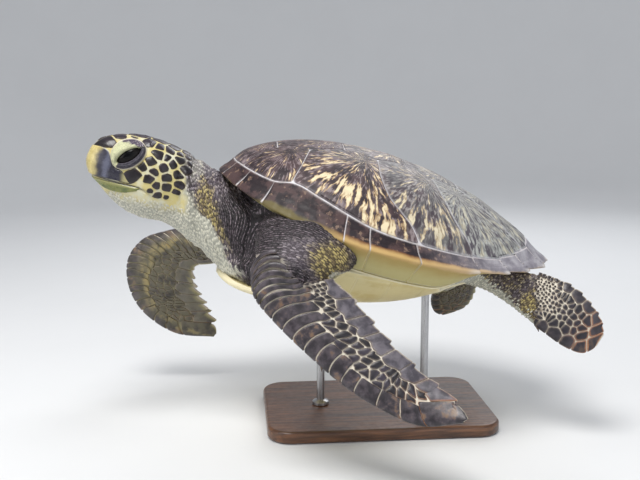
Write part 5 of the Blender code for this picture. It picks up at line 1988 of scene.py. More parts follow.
@dataclass
class FlipperScales:
    """Scales of a front flipper on both faces: plates over the leading edge, small rows, plates to the rear."""

    limb: LimbForm
    seed: int
    start: float = 0.322
    small: float = 0.0225
    gap: float = 0.0030
    seams: tuple = (0.322, 0.335, 0.347, 0.359, 0.372, 0.388, 0.403, 0.420, 0.450, 0.490, 0.528, 0.566, 0.604,
                    0.643, 0.682, 0.724, 0.800, 0.868, 0.930, 1.0)       # where the leading seams meet the edge
    close: tuple = (0.322, 0.338, 0.354, 0.371, 0.389, 0.408, 0.427, 0.447, 0.468, 0.489, 0.511, 0.533, 0.556,
                    0.579, 0.602, 0.626, 0.650, 0.675, 0.701, 0.728, 0.757, 0.795, 0.838, 0.883, 0.930, 1.0)
    reaches: tuple = (0.325, 0.345, 0.37, 0.41, 0.46, 0.525, 0.576, 0.63, 0.70, 0.78, 0.84, 0.90, 1.0)
    lead_part: tuple = (0.30, 0.44, 0.60, 0.64, 0.57, 0.46, 0.41, 0.37, 0.31, 0.31, 0.38, 0.46, 0.49)
    trail_part: tuple = (0.92, 0.90, 0.88, 0.82, 0.75, 0.71, 0.71, 0.73, 0.69, 0.69, 0.69, 0.60, 0.50)
    tip_part: tuple = (0.928, 0.868, 0.950)        # share at which the tip plate begins: leading edge, middle, trailing

    def line(self, run: Array, parts: tuple) -> Array:
        """Way from the leading edge of a line that runs along the flipper."""
        share = run / self.limb.run[-1]
        return self.limb.girth_at(run) * np.interp(share, self.reaches, parts)

    def lead_line(self, run: Array) -> Array:
        """Way that the leading plates reach over a face."""
        return self.line(run, self.lead_part) * (1 + 0.05 * np.sin(run * 90))

    def trail_line(self, run: Array) -> Array:
        """Way at which the trailing plates begin."""
        return self.line(run, self.trail_part) * (1 + 0.03 * np.sin(run * 120 + 2))

    def tip_from(self, way: Array, run: Array) -> Array:
        """Share of the length at which the tip plate begins."""
        part = np.clip(np.abs(way) / np.maximum(self.limb.girth_at(run), 1e-6), 0, 1)
        return np.interp(part, (0.0, 0.5, 1.0), self.tip_part)

    def band(self, seeds: Array, low: Callable[[Array], Array], high: Callable[[Array], Array], longest: float,
             rounding: float) -> Array:
        """Outlines of cells held between two lines along the flipper.

        Args:
            seeds: Middle of each cell.
            low: Way of the near line at a run.
            high: Way of the far line at a run.
            longest: Furthest reach of a cell.
            rounding: Radius of the corners.

        Returns:
            Outlines from the seeds.
        """
        whole = self.limb.run[-1]

        def fence(offset: Array) -> Array:
            """Distance inside the two lines and the ends of the flipper.

            Args:
                offset: Places from the seeds.

            Returns:
                The distances.
            """
            place = seeds[:, None] + offset
            run = place[..., 0] + self.limb.shift(place[..., 0], place[..., 1])
            inside = np.minimum(place[..., 1] - low(run), high(run) - place[..., 1])
            start = self.limb.cells_from(place[..., 1] / np.maximum(self.limb.girth_at(run), 1e-6)) * whole
            end = self.tip_from(place[..., 1], run) * whole - self.gap / 2
            return np.minimum(inside, np.minimum(run - start, end - run))

        reach = np.full((len(seeds), 96), longest)
        return cell_outlines(nearest_offsets(seeds, 10), self.gap, rounding, reach, fence)

    def small_seeds(self, rng: np.random.Generator) -> Array:
        """Seeds of the small cells between the leading and the trailing plates of one face.

        Args:
            rng: Source of the irregularity.

        Returns:
            Seeds in the flat chart.
        """
        last, made, odd = self.limb.run[-1], [], False
        run = self.start * last
        while run < last * 0.975:
            share = run / last
            pace = self.small * (0.50 + 0.62 * float(smoothstep(0.34, 0.54, share))
                                 - 0.25 * float(smoothstep(0.70, 0.90, share)))
            low, high = float(self.lead_line(np.array(run))), float(self.trail_line(np.array(run)))
            count = round((high - low) / pace)
            for k in range(count):
                at = run + rng.normal(0, 0.14) * pace
                part = np.clip((k + 0.5 + (0.22 if odd else -0.22) + rng.normal(0, 0.10)) / count, 0.03, 0.97)
                across = low + (high - low) * part
                made.append((at - float(self.limb.shift(np.array(at), np.array(across))), across))
            run, odd = run + pace * 0.92, not odd
        return np.array(made)

    def build(self) -> Shape:
        """All scales of the flipper.

        Returns:
            One shape, with marks for the kind, hue, face, tip, way out and edge.
        """
        rng = np.random.default_rng(self.seed)
        limb, last, girth = self.limb, self.limb.run[-1], self.limb.girth_at
        large = PlateCut(thickness=0.0022, crown=0.0012, edge=0.0026, sink=0.0022, around=84)
        fine = PlateCut(thickness=0.0022, crown=0.0012, edge=0.0022, sink=0.0020, around=22)
        seams = np.array(self.seams if limb.side > 0 else self.close) * last
        parts = self.leading(seams, rng)
        for way in SIDES:
            edges = (np.arange(limb.teeth) + 0.52) / limb.teeth
            edges = edges[(edges > self.start + 0.055) & (edges < 0.94)] * last
            across = (self.trail_line(edges) + girth(edges)) / 2
            seeds = np.stack([edges - limb.shift(edges, across), across], -1)
            groups = [(seeds, self.band(seeds, self.trail_line, lambda r: girth(r) - 0.0010, 0.07, 0.0030), large,
                       Kind.TRAILING.value)]
            seeds = self.small_seeds(rng)
            groups.append((seeds, self.band(seeds, lambda r: self.lead_line(r) - 0.0020, self.trail_line, 0.035,
                                            0.0012), fine, Kind.SMALL.value))
            parts += [face_plates(limb, way, *group, rng) for group in groups]
        return merged(parts)

    def leading(self, seams: Array, rng: np.random.Generator) -> list[Shape]:
        """Plates that wrap over the leading edge.

        Args:
            seams: Runs of the seams between them.
            rng: Source of the hues.

        Returns:
            One shape for each plate, with the marks of face_plates.
        """
        limb, made = self.limb, []
        across = np.sin(np.linspace(-1, 1, 71) * math.pi / 2)
        along = np.array((-1.0, -0.95, -0.86, -0.7, -0.4, 0.0, 0.4, 0.7, 0.86, 0.95, 1.0))
        for low, high in zip(seams, seams[1:]):
            middle, half = (low + high) / 2, (high - low - self.gap) / 2
            share = middle / limb.run[-1]
            reach = float(self.lead_line(np.array(middle)))
            reach = float(self.lead_line(middle + limb.shift(middle, np.array(reach)))) - self.gap / 2
            reach *= 1 + 0.06 * (rng.random() - 0.5)
            radius = min(half * 0.70, 0.0075 if share < 0.74 else 0.004, reach * 0.9)
            bend = np.clip((np.abs(across) * reach - (reach - radius)) / radius, 0, 1)
            wide = half - radius * (1 - np.sqrt(np.clip(1 - bend ** 2, 0, 1)))
            run = middle + along[:, None] * wide
            way = np.broadcast_to(across * reach, run.shape)
            border = np.minimum((1 - np.abs(along))[:, None] * wide, (reach - np.abs(way)))
            if high > 0.999 * limb.run[-1]:
                first = np.interp(np.abs(across), (0.0, 0.5, 1.0), self.tip_part) * high + self.gap / 2
                true = first + (along[:, None] + 1) / 2 * (high * 0.9985 - first)
                way = across * limb.girth_at(true) * 0.99
                run, border = true - limb.shift(true, way), np.minimum(true - first, 0.01)
            spot, outward = limb.surface(np.stack([run, way], -1).reshape(-1, 2))
            swell = smoothstep(-0.0003, 0.0022, border) ** 0.6
            true = run + limb.shift(run, way)
            shape = slab(spot.reshape(*run.shape, 3), outward.reshape(*run.shape, 3), 0.0032 * swell - 0.0004, 0.0030,
                         kind=np.full(1, Kind.LEADING.value), hue=np.full(1, rng.random()),
                         edge=np.exp(-border / 0.0022),
                         tip=smoothstep(0.74, 1.0, true / limb.run[-1]),
                         out=np.clip(np.abs(way) / limb.girth_at(true), 0, 1), face=smoothstep(-0.006, 0.006, way))
            flat = np.stack([run, way], -1).reshape(-1, 2) * 0.8 / limb.run[-1] + (0.1, 0.5)
            shape.flat = np.concatenate([flat, flat])
            made.append(shape)
        return made


def face_plates(limb: LimbForm, way: float, seeds: Array, outlines: Array, cut: PlateCut, kind: float | Array,
                rng: np.random.Generator) -> Shape:
    """Plates on one face of a flipper.

    Args:
        limb: The flipper.
        way: 1 for its upper face, -1 for the lower.
        seeds: Middle of each plate.
        outlines: Outline of each plate from its seed.
        cut: How the plates are cut.
        kind: Value of the plates' Kind, for all or for each.
        rng: Source of the hues.

    Returns:
        The shape, with its marks.
    """
    flip = np.array((1.0, way))
    marks = {"kind": np.broadcast_to(kind, len(seeds)), "hue": rng.random(len(seeds))}
    shape = cut.build(seeds * flip, (outlines * flip)[:, ::int(way)], limb.surface, marks, (1.0, 0.0, 0.0))
    part = np.abs(shape.flat[:, 1])
    run = shape.flat[:, 0] + limb.shift(shape.flat[:, 0], part)
    shape.marked(tip=smoothstep(0.74, 1.0, run / limb.run[-1]), out=np.clip(part / limb.girth_at(run), 0, 1),
                 face=smoothstep(-0.006, 0.006, shape.flat[:, 1]))
    shape.flat = shape.flat * 0.8 / limb.run[-1] + (0.1, 0.5)
    return shape


@dataclass
class PaddleScales:
    """Scales of a hind flipper: big lobed plates round its end and small dark cells towards its root."""

    limb: LimbForm
    seed: int
    start: float = 0.42
    gap: float = 0.0020

    def build(self) -> Shape:
        """All scales of the hind flipper.

        Returns:
            One shape, with the marks of FlipperScales.
        """
        rng = np.random.default_rng(self.seed)
        limb, parts = self.limb, []
        last = limb.run[-1]
        cut = PlateCut(thickness=0.0024, crown=0.0010, edge=0.0024, sink=0.0022, around=30, least=0.0016)
        for way in SIDES:
            seeds, kinds = [], []
            for share, fore, aft in ((0.64, 0.10, 0.90), (0.735, 0.13, 0.87), (0.83, 0.15, 0.85), (0.905, 0.17, 0.83)):
                girth = float(limb.girth_at(share * last))
                seeds += [(share * last, fore * girth), (share * last, aft * girth)]
                kinds += [Kind.LEADING.value, Kind.HIND_REAR.value]
            girth = float(limb.girth_at(0.94 * last))
            seeds += [(0.965 * last, 0.30 * girth), (0.955 * last, 0.66 * girth)]
            kinds += [Kind.LEADING.value] * 2
            run = self.start * last
            while run < 0.895 * last:
                share = run / last
                step = 0.0096 + 0.0124 * float(smoothstep(0.52, 0.85, share))
                girth = float(limb.girth_at(run))
                low, high = (0.09, 0.93) if share < 0.60 else (0.26, 0.74)
                count = max(2, round(girth * (high - low) / step))
                for k in range(count):
                    part = low + (high - low) * (k + 0.5 + rng.normal(0, 0.16)) / count
                    if share > limb.cells_from(part):
                        seeds.append((run + rng.normal(0, 0.20) * step, part * girth))
                        kinds.append(Kind.SMALL.value)
                run += step * 0.95
            seeds, kinds = np.array(seeds), np.array(kinds)

            def fence(offset: Array, seeds: Array = seeds) -> Array:
                """Distance inside the borders of this face.

                Args:
                    offset: Places from the seeds.
                    seeds: Middle of each cell.

                Returns:
                    The distances.
                """
                place = seeds[:, None] + offset
                run = place[..., 0]
                inside = np.minimum(place[..., 1] - 0.0003, limb.girth_at(run) - 0.0010 - place[..., 1])
                start = limb.cells_from(place[..., 1] / np.maximum(limb.girth_at(run), 1e-6)) * last
                return np.minimum(inside, np.minimum(run - start, last * 0.995 - run))

            reach = np.where(kinds[:, None] < Kind.SMALL.value, 0.075, 0.022) * np.ones((1, 72))
            outlines = cell_outlines(nearest_offsets(seeds, 14), self.gap, 0.0014, reach, fence)
            parts.append(face_plates(limb, way, seeds, outlines, cut, kinds, rng))
        return merged(parts).marked(deep=1.0)


@dataclass
class Grains:
    """Small raised scales over the neck, the shoulders and the roots of the limbs."""

    size: float = 0.0110         # spacing along a row
    row: float = GRAIN_ROW       # spacing of the rows
    thickness: float = 0.0008
    most: int = 9000             # scales in one piece
    seed: int = 11

    @staticmethod
    def keep(points: Array) -> Array:
        """Where on the skin grains grow.

        Args:
            points: Places on the skin.

        Returns:
            True where they grow.
        """
        turn, share = SHELL.polar(points[:, :2])
        low = SHELL.underside(turn, np.minimum(share, 1.0))[:, 2]
        inside = (share < 0.76) & (points[:, 2] > low + 0.012)
        x = points[:, 0]
        eye = EYE.clearance(points)
        head = (x > 0.588 + 0.30 * (points[:, 2] + 0.06)) & (points[:, 2] > -0.104)
        chin = (x > 0.70) & (points[:, 2] > -0.108)
        return ~inside & ~head & ~chin & (eye > 1.3) & (x < 0.80)

    def build(self, skin: Shape) -> list[Shape]:
        """Grains over a skin.

        Args:
            skin: The skin.

        Returns:
            Shapes, each one piece's worth.
        """
        rng = np.random.default_rng(self.seed)
        body = skin.marks["hull"] > 0.5
        faces = np.array([f[:3] for f in skin.faces] + [(f[0], f[2], f[3]) for f in skin.faces if len(f) == 4])
        faces = faces[body[faces[:, 0]]]
        corner = skin.points[faces]
        across = np.cross(corner[:, 1] - corner[:, 0], corner[:, 2] - corner[:, 0])
        area = np.linalg.norm(across, axis=1) / 2
        count = int(area.sum() / self.size ** 2 * 5)
        pick = rng.choice(len(faces), count, p=area / area.sum())
        u, v = rng.random(count), rng.random(count)
        over = u + v > 1
        u[over], v[over] = 1 - u[over], 1 - v[over]
        spot = corner[pick, 0] + (corner[pick, 1] - corner[pick, 0]) * u[:, None] + (
            corner[pick, 2] - corner[pick, 0]) * v[:, None]
        outward = unit(across[pick])
        some = self.keep(spot) & (past_cells(spot) < 0.010)
        spot, outward = spot[some], outward[some]
        value, way = Zones.fold_field(spot)
        way = unit(way - outward * np.sum(way * outward, axis=1, keepdims=True))
        slope = np.maximum(np.sum(way * Zones.fold_field(spot)[1], axis=1), 0.3)
        bend = 0.10 * value_noise(spot, 30.0, 7) + 0.06 * value_noise(spot, 75.0, 8)
        level = value / self.row + bend
        row = np.round(level)
        moved = spot + way * ((row - level) * self.row / slope)[:, None] * (np.abs(level) > 0)[:, None]
        tree = BVHTree.FromPolygons(skin.points.tolist(), faces.tolist())
        hits = [tree.find_nearest(Vector(p), 0.02) for p in moved]
        spot = np.array([h[0] if h[0] is not None else p for h, p in zip(hits, spot)])
        grow = 0.80 + 0.4 * smoothstep(0.58, 0.44, spot[:, 0]) * smoothstep(-0.1, 0.1, spot[:, 0])
        side = np.cross(outward, way)
        chosen = self.spread(spot, grow * self.size, row.astype(int))
        spot, outward, way, side, grow = (a[chosen] for a in (spot, outward, way, side, grow))
        turn = np.arange(6) * math.pi / 3
        long, short = 0.58 * self.size, 0.52 * self.row
        lean = rng.normal(0, 0.10, (len(spot), 1)) + turn
        long_by = long * grow[:, None] * (1 + rng.normal(0, 0.14, (len(spot), 1)))
        ring = side[:, None] * (np.cos(lean) * long_by)[..., None]
        ring = ring + way[:, None] * (np.sin(lean) * short)[..., None]
        low = spot[:, None] + ring - outward[:, None] * 0.0012
        thick = self.thickness * (1 - 0.5 * smoothstep(-0.1, -0.3, spot[:, :1]))
        high = spot[:, None] + ring * 0.82 + (outward * thick)[:, None]
        top = (spot + outward * thick * 1.15)[:, None]
        points = np.concatenate([low, high, top], axis=1)
        size = 13
        a, b = np.arange(6), (np.arange(6) + 1) % 6
        sides = np.stack([a, b, b + 6, a + 6], -1)
        caps = np.stack([a + 6, b + 6, np.full(6, 12)], -1)
        zones = Zones.read(spot, outward) | {"fold": Zones.fold_field(spot)[0]}
        hue = rng.random(len(spot))
        edge = np.tile(np.concatenate([np.ones(6), np.full(6, 0.5), np.zeros(1)]), len(spot)).reshape(-1, size)
        angle = np.arctan2(spot[:, 1], spot[:, 2] + 0.12)
        root = np.stack([(spot[:, 0] + 0.6) / 1.5, 0.5 + angle / (2 * math.pi) * 0.96], -1)
        flat = np.repeat(root, size, axis=0) + np.tile(0.0015 * np.concatenate([
            np.stack([np.cos(turn), np.sin(turn)], -1), 0.66 * np.stack([np.cos(turn), np.sin(turn)], -1),
            np.zeros((1, 2))]), (len(spot), 1))
        shapes = []
        for first in range(0, len(spot), self.most):
            part = slice(first, min(first + self.most, len(spot)))
            number = part.stop - part.start
            faces = repeated(sides, number, size) + repeated(caps, number, size)
            shape = Shape(points[part].reshape(-1, 3), faces, {}, flat.reshape(-1, size, 2)[part].reshape(-1, 2))
            shapes.append(shape.marked(**{k: np.repeat(v[part], size) for k, v in zones.items()},
                                       hue=np.repeat(hue[part], size), edge=edge[part].ravel()))
        return shapes

    @staticmethod
    def spread(points: Array, spacing: Array, row: Array) -> Array:
        """Points that keep their distance from others of their row, taken in turn.

        Args:
            points: The points.
            spacing: Distance that each keeps.
            row: Row of each.

        Returns:
            Indexes of the points.
        """
        cell = float(spacing.max())
        grid: dict[tuple[int, int, int, int], list[int]] = {}
        chosen = []
        keys = np.column_stack([np.floor(points / cell).astype(int), row])
        near = [(i, j, k) for i in (-1, 0, 1) for j in (-1, 0, 1) for k in (-1, 0, 1)]
        rows = points.tolist()
        limits = (spacing ** 2 * 0.80).tolist()
        for n, (key, (x, y, z)) in enumerate(zip(map(tuple, keys.tolist()), rows)):
            free = True
            for step in near:
                for m in grid.get((key[0] + step[0], key[1] + step[1], key[2] + step[2], key[3]), ()):
                    a, b, c = rows[m]
                    if (a - x) ** 2 + (b - y) ** 2 + (c - z) ** 2 < limits[n]:
                        free = False
                        break
                if not free:
                    break
            if free:
                grid.setdefault(key, []).append(n)
                chosen.append(n)
        return np.array(chosen)


# ---------------------------------------------------------------- finishes

def srgb(red: float, green: float, blue: float) -> Colour:
    """Linear colour of a screen colour given from 0 to 255."""
    return tuple(c / 12.92 if c <= 0.04045 else ((c + 0.055) / 1.055) ** 2.4
                 for c in (red / 255, green / 255, blue / 255))


Socket = bpy.types.NodeSocket
Input = Socket | float | Colour
Pair = tuple[Colour, Colour]


class Graph:
    """Lays out the nodes of a material or a group."""

    def __init__(self, tree: bpy.types.NodeTree) -> None:
        """Take the tree to fill."""
        self.tree = tree

    def node(self, kind: str, **settings: object) -> bpy.types.Node:
        """New node.

        Args:
            kind: Kind of the node.
            settings: Its own settings.

        Returns:
            The node.
        """
        made = self.tree.nodes.new(kind)
        for name, value in settings.items():
            setattr(made, name, value)
        return made

    def put(self, socket: Socket, value: Input) -> None:
        """Link or set an input.

        Args:
            socket: The input.
            value: An output to link, or a number or a colour to set.
        """
        if isinstance(value, Socket):
            self.tree.links.new(value, socket)
        else:
            socket.default_value = (*value, 1.0) if socket.type == "RGBA" else value

    def math(self, operation: str, a: Input, b: Input = 0.0, clamp: bool = False) -> Socket:
        """Result of a Math node.

        Args:
            operation: What it does.
            a: First value.
            b: Second value.
            clamp: Whether the result is held between 0 and 1.

        Returns:
            The result.
        """
        made = self.node("ShaderNodeMath", operation=operation, use_clamp=clamp)
        self.put(made.inputs[0], a)
        self.put(made.inputs[1], b)
        return made.outputs[0]

    def plus(self, a: Input, b: Input) -> Socket:
        """Sum of two values."""
        return self.math("ADD", a, b)

    def times(self, a: Input, b: Input, clamp: bool = False) -> Socket:
        """Product of two values."""
        return self.math("MULTIPLY", a, b, clamp)

    def less(self, a: Input, b: Input) -> Socket:
        """First value less the second."""
        return self.math("SUBTRACT", a, b)

    def swing(self, noise: Input, amount: float) -> Socket:
        """A noise about 0.5 made into one about 0."""
        return self.times(self.less(noise, 0.5), amount)

    def mix(self, factor: Input, a: Input, b: Input) -> Socket:
        """Colour between two colours.

        Args:
            factor: 0 for the first and 1 for the second.
            a: First colour.
            b: Second colour.

        Returns:
            The colour.
        """
        made = self.node("ShaderNodeMix", data_type="RGBA")
        for socket, value in ((made.inputs["Factor"], factor), (made.inputs[6], a), (made.inputs[7], b)):
            self.put(socket, value)
        return made.outputs[2]

    def ease(self, value: Input, low: float, high: float, to_low: float = 0.0, to_high: float = 1.0) -> Socket:
        """Value eased from one range to another.

        Args:
            value: The value.
            low: Start of its range.
            high: End of its range.
            to_low: Result at the start.
            to_high: Result at the end.

        Returns:
            The result.
        """
        made = self.node("ShaderNodeMapRange", interpolation_type="SMOOTHSTEP")
        for k, given in enumerate((value, low, high, to_low, to_high)):
            self.put(made.inputs[k], given)
        return made.outputs[0]

    def fade(self, value: Input, low: float, high: float, a: Input, b: Input) -> Socket:
        """Colour that passes from one to another as a value rises from low to high."""
        return self.mix(self.ease(value, low, high), a, b)

    def mark(self, name: str) -> Socket:
        """Value of one of the mesh's marks."""
        return self.node("ShaderNodeAttribute", attribute_name=name).outputs["Fac"]

    def place(self) -> Socket:
        """Place on the piece, in metres."""
        return self.node("ShaderNodeTexCoord").outputs["Object"]

    def stretched(self, scale: tuple[float, float, float]) -> Socket:
        """Place on the piece with its axes scaled, for a grain that runs one way.

        Args:
            scale: Factor of each axis.

        Returns:
            The place.
        """
        made = self.node("ShaderNodeMapping")
        self.put(made.inputs["Vector"], self.place())
        made.inputs["Scale"].default_value = scale
        return made.outputs[0]

    def noise(self, scale: Input, detail: float = 2.0, rough: float = 0.5, at: Socket | None = None) -> Socket:
        """Value of a noise.

        Args:
            scale: Its fineness.
            detail: Number of its finer layers.
            rough: Strength of each finer layer.
            at: Where it is read, or None for the place on the piece.

        Returns:
            The value.
        """
        made = self.node("ShaderNodeTexNoise")
        for name, value in (("Vector", self.place() if at is None else at), ("Scale", scale), ("Detail", detail),
                            ("Roughness", rough)):
            self.put(made.inputs[name], value)
        return made.outputs["Fac"]

    def cells(self, scale: Input) -> Socket:
        """Distance from the borders of irregular cells.

        Args:
            scale: Their fineness.

        Returns:
            The distance.
        """
        made = self.node("ShaderNodeTexVoronoi", feature="DISTANCE_TO_EDGE")
        self.put(made.inputs["Vector"], self.place())
        self.put(made.inputs["Scale"], scale)
        return made.outputs["Distance"]

    def vector(self, *values: Input) -> Socket:
        """Vector of three values.

        Args:
            values: The values.

        Returns:
            The vector.
        """
        made = self.node("ShaderNodeCombineXYZ")
        for socket, value in zip(made.inputs, values):
            self.put(socket, value)
        return made.outputs[0]

    def group(self, tree: bpy.types.NodeTree, **inputs: Input) -> bpy.types.Node:
        """A shared group placed here with its own values.

        Args:
            tree: The group.
            inputs: Value of each input; underscores in names stand for spaces.

        Returns:
            The node.
        """
        made = self.node("ShaderNodeGroup", node_tree=tree)
        for name, value in inputs.items():
            self.put(made.inputs[name.replace("_", " ")], value)
        return made


def new_group(name: str, inputs: dict[str, float | Colour], outputs: Sequence[str]) -> tuple[Graph, dict, dict]:
    """Empty shader group with named sockets.

    Args:
        name: Name of the group.
        inputs: Starting value of each input, a number or a colour.
        outputs: Names of the outputs: numbers, apart from Colour.

    Returns:
        Its graph, its inputs' sockets and its outputs' sockets by name.
    """
    tree = bpy.data.node_groups.new(name, "ShaderNodeTree")
    for key, value in inputs.items():
        is_colour = isinstance(value, tuple)
        socket = tree.interface.new_socket(key, in_out="INPUT",
                                           socket_type="NodeSocketColor" if is_colour else "NodeSocketFloat")
        socket.default_value = (*value, 1.0) if is_colour else value
    for key in outputs:
        tree.interface.new_socket(key, in_out="OUTPUT",
                                  socket_type="NodeSocketColor" if key == "Colour" else "NodeSocketFloat")
    graph = Graph(tree)
    enter, leave = graph.node("NodeGroupInput"), graph.node("NodeGroupOutput")
    return graph, {k: enter.outputs[k] for k in inputs}, {k: leave.inputs[k] for k in outputs}


class Effects:
    """Groups that several finishes share."""

    def __init__(self) -> None:
        """Build every group once."""
        self.mottle, self.relief, self.worn = self._mottle(), self._relief(), self._worn()
        self.flesh, self.growth = self._flesh(), self._growth()

    @staticmethod
    def _mottle() -> bpy.types.NodeTree:
        """Patches of a partner colour.

        Returns:
            The group.
        """
        graph, given, made = new_group("mottle", {"Colour": (0.5, 0.5, 0.5), "Partner": (0.2, 0.2, 0.2),
                                                  "Scale": 60.0, "Amount": 0.5}, ("Colour", "Mask"))
        mask = graph.times(graph.ease(graph.noise(given["Scale"], 4.0, 0.62), 0.42, 0.66), given["Amount"], True)
        graph.put(made["Colour"], graph.mix(mask, given["Colour"], given["Partner"]))
        graph.put(made["Mask"], mask)
        return graph.tree

    @staticmethod
    def _relief() -> bpy.types.NodeTree:
        """Fine unevenness: pores, grain and cracks.

        Returns:
            The group.
        """
        graph, given, made = new_group("relief", {"Scale": 400.0, "Cracks": 0.3}, ("Height",))
        crack = graph.ease(graph.cells(graph.times(given["Scale"], 0.8)), 0.0, 0.12)
        graph.put(made["Height"], graph.plus(graph.noise(given["Scale"], 5.0, 0.6),
                                             graph.times(crack, given["Cracks"])))
        return graph.tree

    @staticmethod
    def _worn() -> bpy.types.NodeTree:
        """Paler or darker border where a plate is thin and rubbed.

        Returns:
            The group.
        """
        graph, given, made = new_group("worn_edge", {"Colour": (0.1, 0.1, 0.1), "Border": (0.6, 0.6, 0.5),
                                                     "Edge": 0.0, "Amount": 1.0}, ("Colour",))
        ragged = graph.plus(given["Edge"], graph.swing(graph.noise(420.0, 3.0), 0.35))
        mask = graph.times(graph.ease(ragged, 0.62, 0.98), given["Amount"], True)
        graph.put(made["Colour"], graph.mix(mask, given["Colour"], given["Border"]))
        return graph.tree

    @staticmethod
    def _flesh() -> bpy.types.NodeTree:
        """Markings of the flesh, on the skin (Raised 0) and on its small scales (Raised 1).

        Returns:
            The group.
        """
        graph, given, made = new_group("flesh_markings", {"Pale": 0.0, "Dusk": 0.0, "Gold": 0.0, "Raised": 0.0,
                                                          "Hue": 0.5, "Fold": 0.0}, ("Colour",))
        raised, speck = given["Raised"], graph.noise(260.0, 4.0, 0.65)
        vary = graph.plus(graph.times(given["Hue"], 0.6), graph.times(speck, 0.7))
        phase = graph.plus(graph.times(given["Fold"], 2 * math.pi / GRAIN_ROW),
                           graph.times(graph.noise(46.0, 4.0, 0.6), 9.0))
        line = graph.ease(graph.plus(graph.math("SINE", phase), graph.swing(speck, 3.0)), 0.62, 1.25)
        back = graph.mix(graph.math("MAXIMUM", raised, graph.times(line, 0.8)), srgb(46, 35, 44),
                         graph.fade(vary, 0.35, 0.95, srgb(88, 78, 87), srgb(160, 151, 156)))
        over = graph.math("MAXIMUM", raised, line)
        gold = graph.mix(over, srgb(60, 48, 34), graph.fade(vary, 0.3, 0.85, srgb(104, 88, 60), srgb(178, 162, 104)))
        pale = graph.mix(over, srgb(158, 158, 146), graph.fade(vary, 0.3, 0.9, srgb(194, 193, 178),
                                                               srgb(218, 215, 198)))
        dusk = graph.mix(graph.times(graph.less(1.0, raised), line),
                         graph.fade(vary, 0.55, 1.15, srgb(24, 17, 22), srgb(58, 45, 52)), srgb(150, 136, 144))
        patchy = graph.swing(graph.noise(90.0, 3.0), 0.7)
        warm = graph.plus(given["Gold"], graph.plus(patchy, graph.times(graph.less(vary, 0.65), 0.5)))
        colour = graph.fade(warm, 0.15, 0.75, back, gold)
        colour = graph.fade(graph.plus(given["Dusk"], patchy), 0.25, 0.85, colour, dusk)
        graph.put(made["Colour"], graph.fade(graph.plus(given["Pale"], patchy), 0.3, 0.8, colour, pale))
        return graph.tree

    @staticmethod
    def _growth() -> bpy.types.NodeTree:
        """Fine rings of growth, and streaks that fan out from a plate's growth centre.

        Returns:
            The group.
        """
        graph, given, made = new_group("growth", {"Ring": 0.0, "Fan X": 0.0, "Fan Y": 0.0, "Reach": 0.0,
                                                  "Count": 40.0, "Fineness": 9.0, "Hue": 0.0},
                                       ("Rings", "Streaks", "Fine", "Blots"))
        phase = graph.plus(graph.times(given["Ring"], given["Count"]), graph.times(graph.noise(30.0), 5.0))
        graph.put(made["Rings"], graph.ease(graph.math("SINE", phase), -1.0, 1.0))
        warp = graph.swing(graph.noise(60.0), 1.5)
        for name, scale, along in (("Streaks", 1.0, 17.0), ("Fine", 1.9, 30.0)):
            fan = graph.vector(graph.plus(graph.times(given["Fan X"], given["Fineness"]), warp),
                               graph.times(given["Fan Y"], given["Fineness"]),
                               graph.plus(graph.times(given["Reach"], along), graph.times(given["Hue"], 31.0)))
            graph.put(made[name], graph.noise(scale, 3.0, 0.5, fan))
        graph.put(made["Blots"], graph.noise(42.0, 4.0, 0.6))
        return graph.tree


@dataclass(frozen=True)
class Gloss:
    """Surface numbers of a finish."""

    roughness: tuple[float, float]
    bump: float
    depth: float
    coat: float = 0.0
    coat_roughness: float = 0.2
    specular: float = 0.5
    metallic: float = 0.0


@dataclass(frozen=True)
class Paint:
    """What a finish feeds its shader with; None stands for the fine relief and for a plain noise."""

    colour: Socket
    height: Socket | None = None
    dull: Socket | None = None


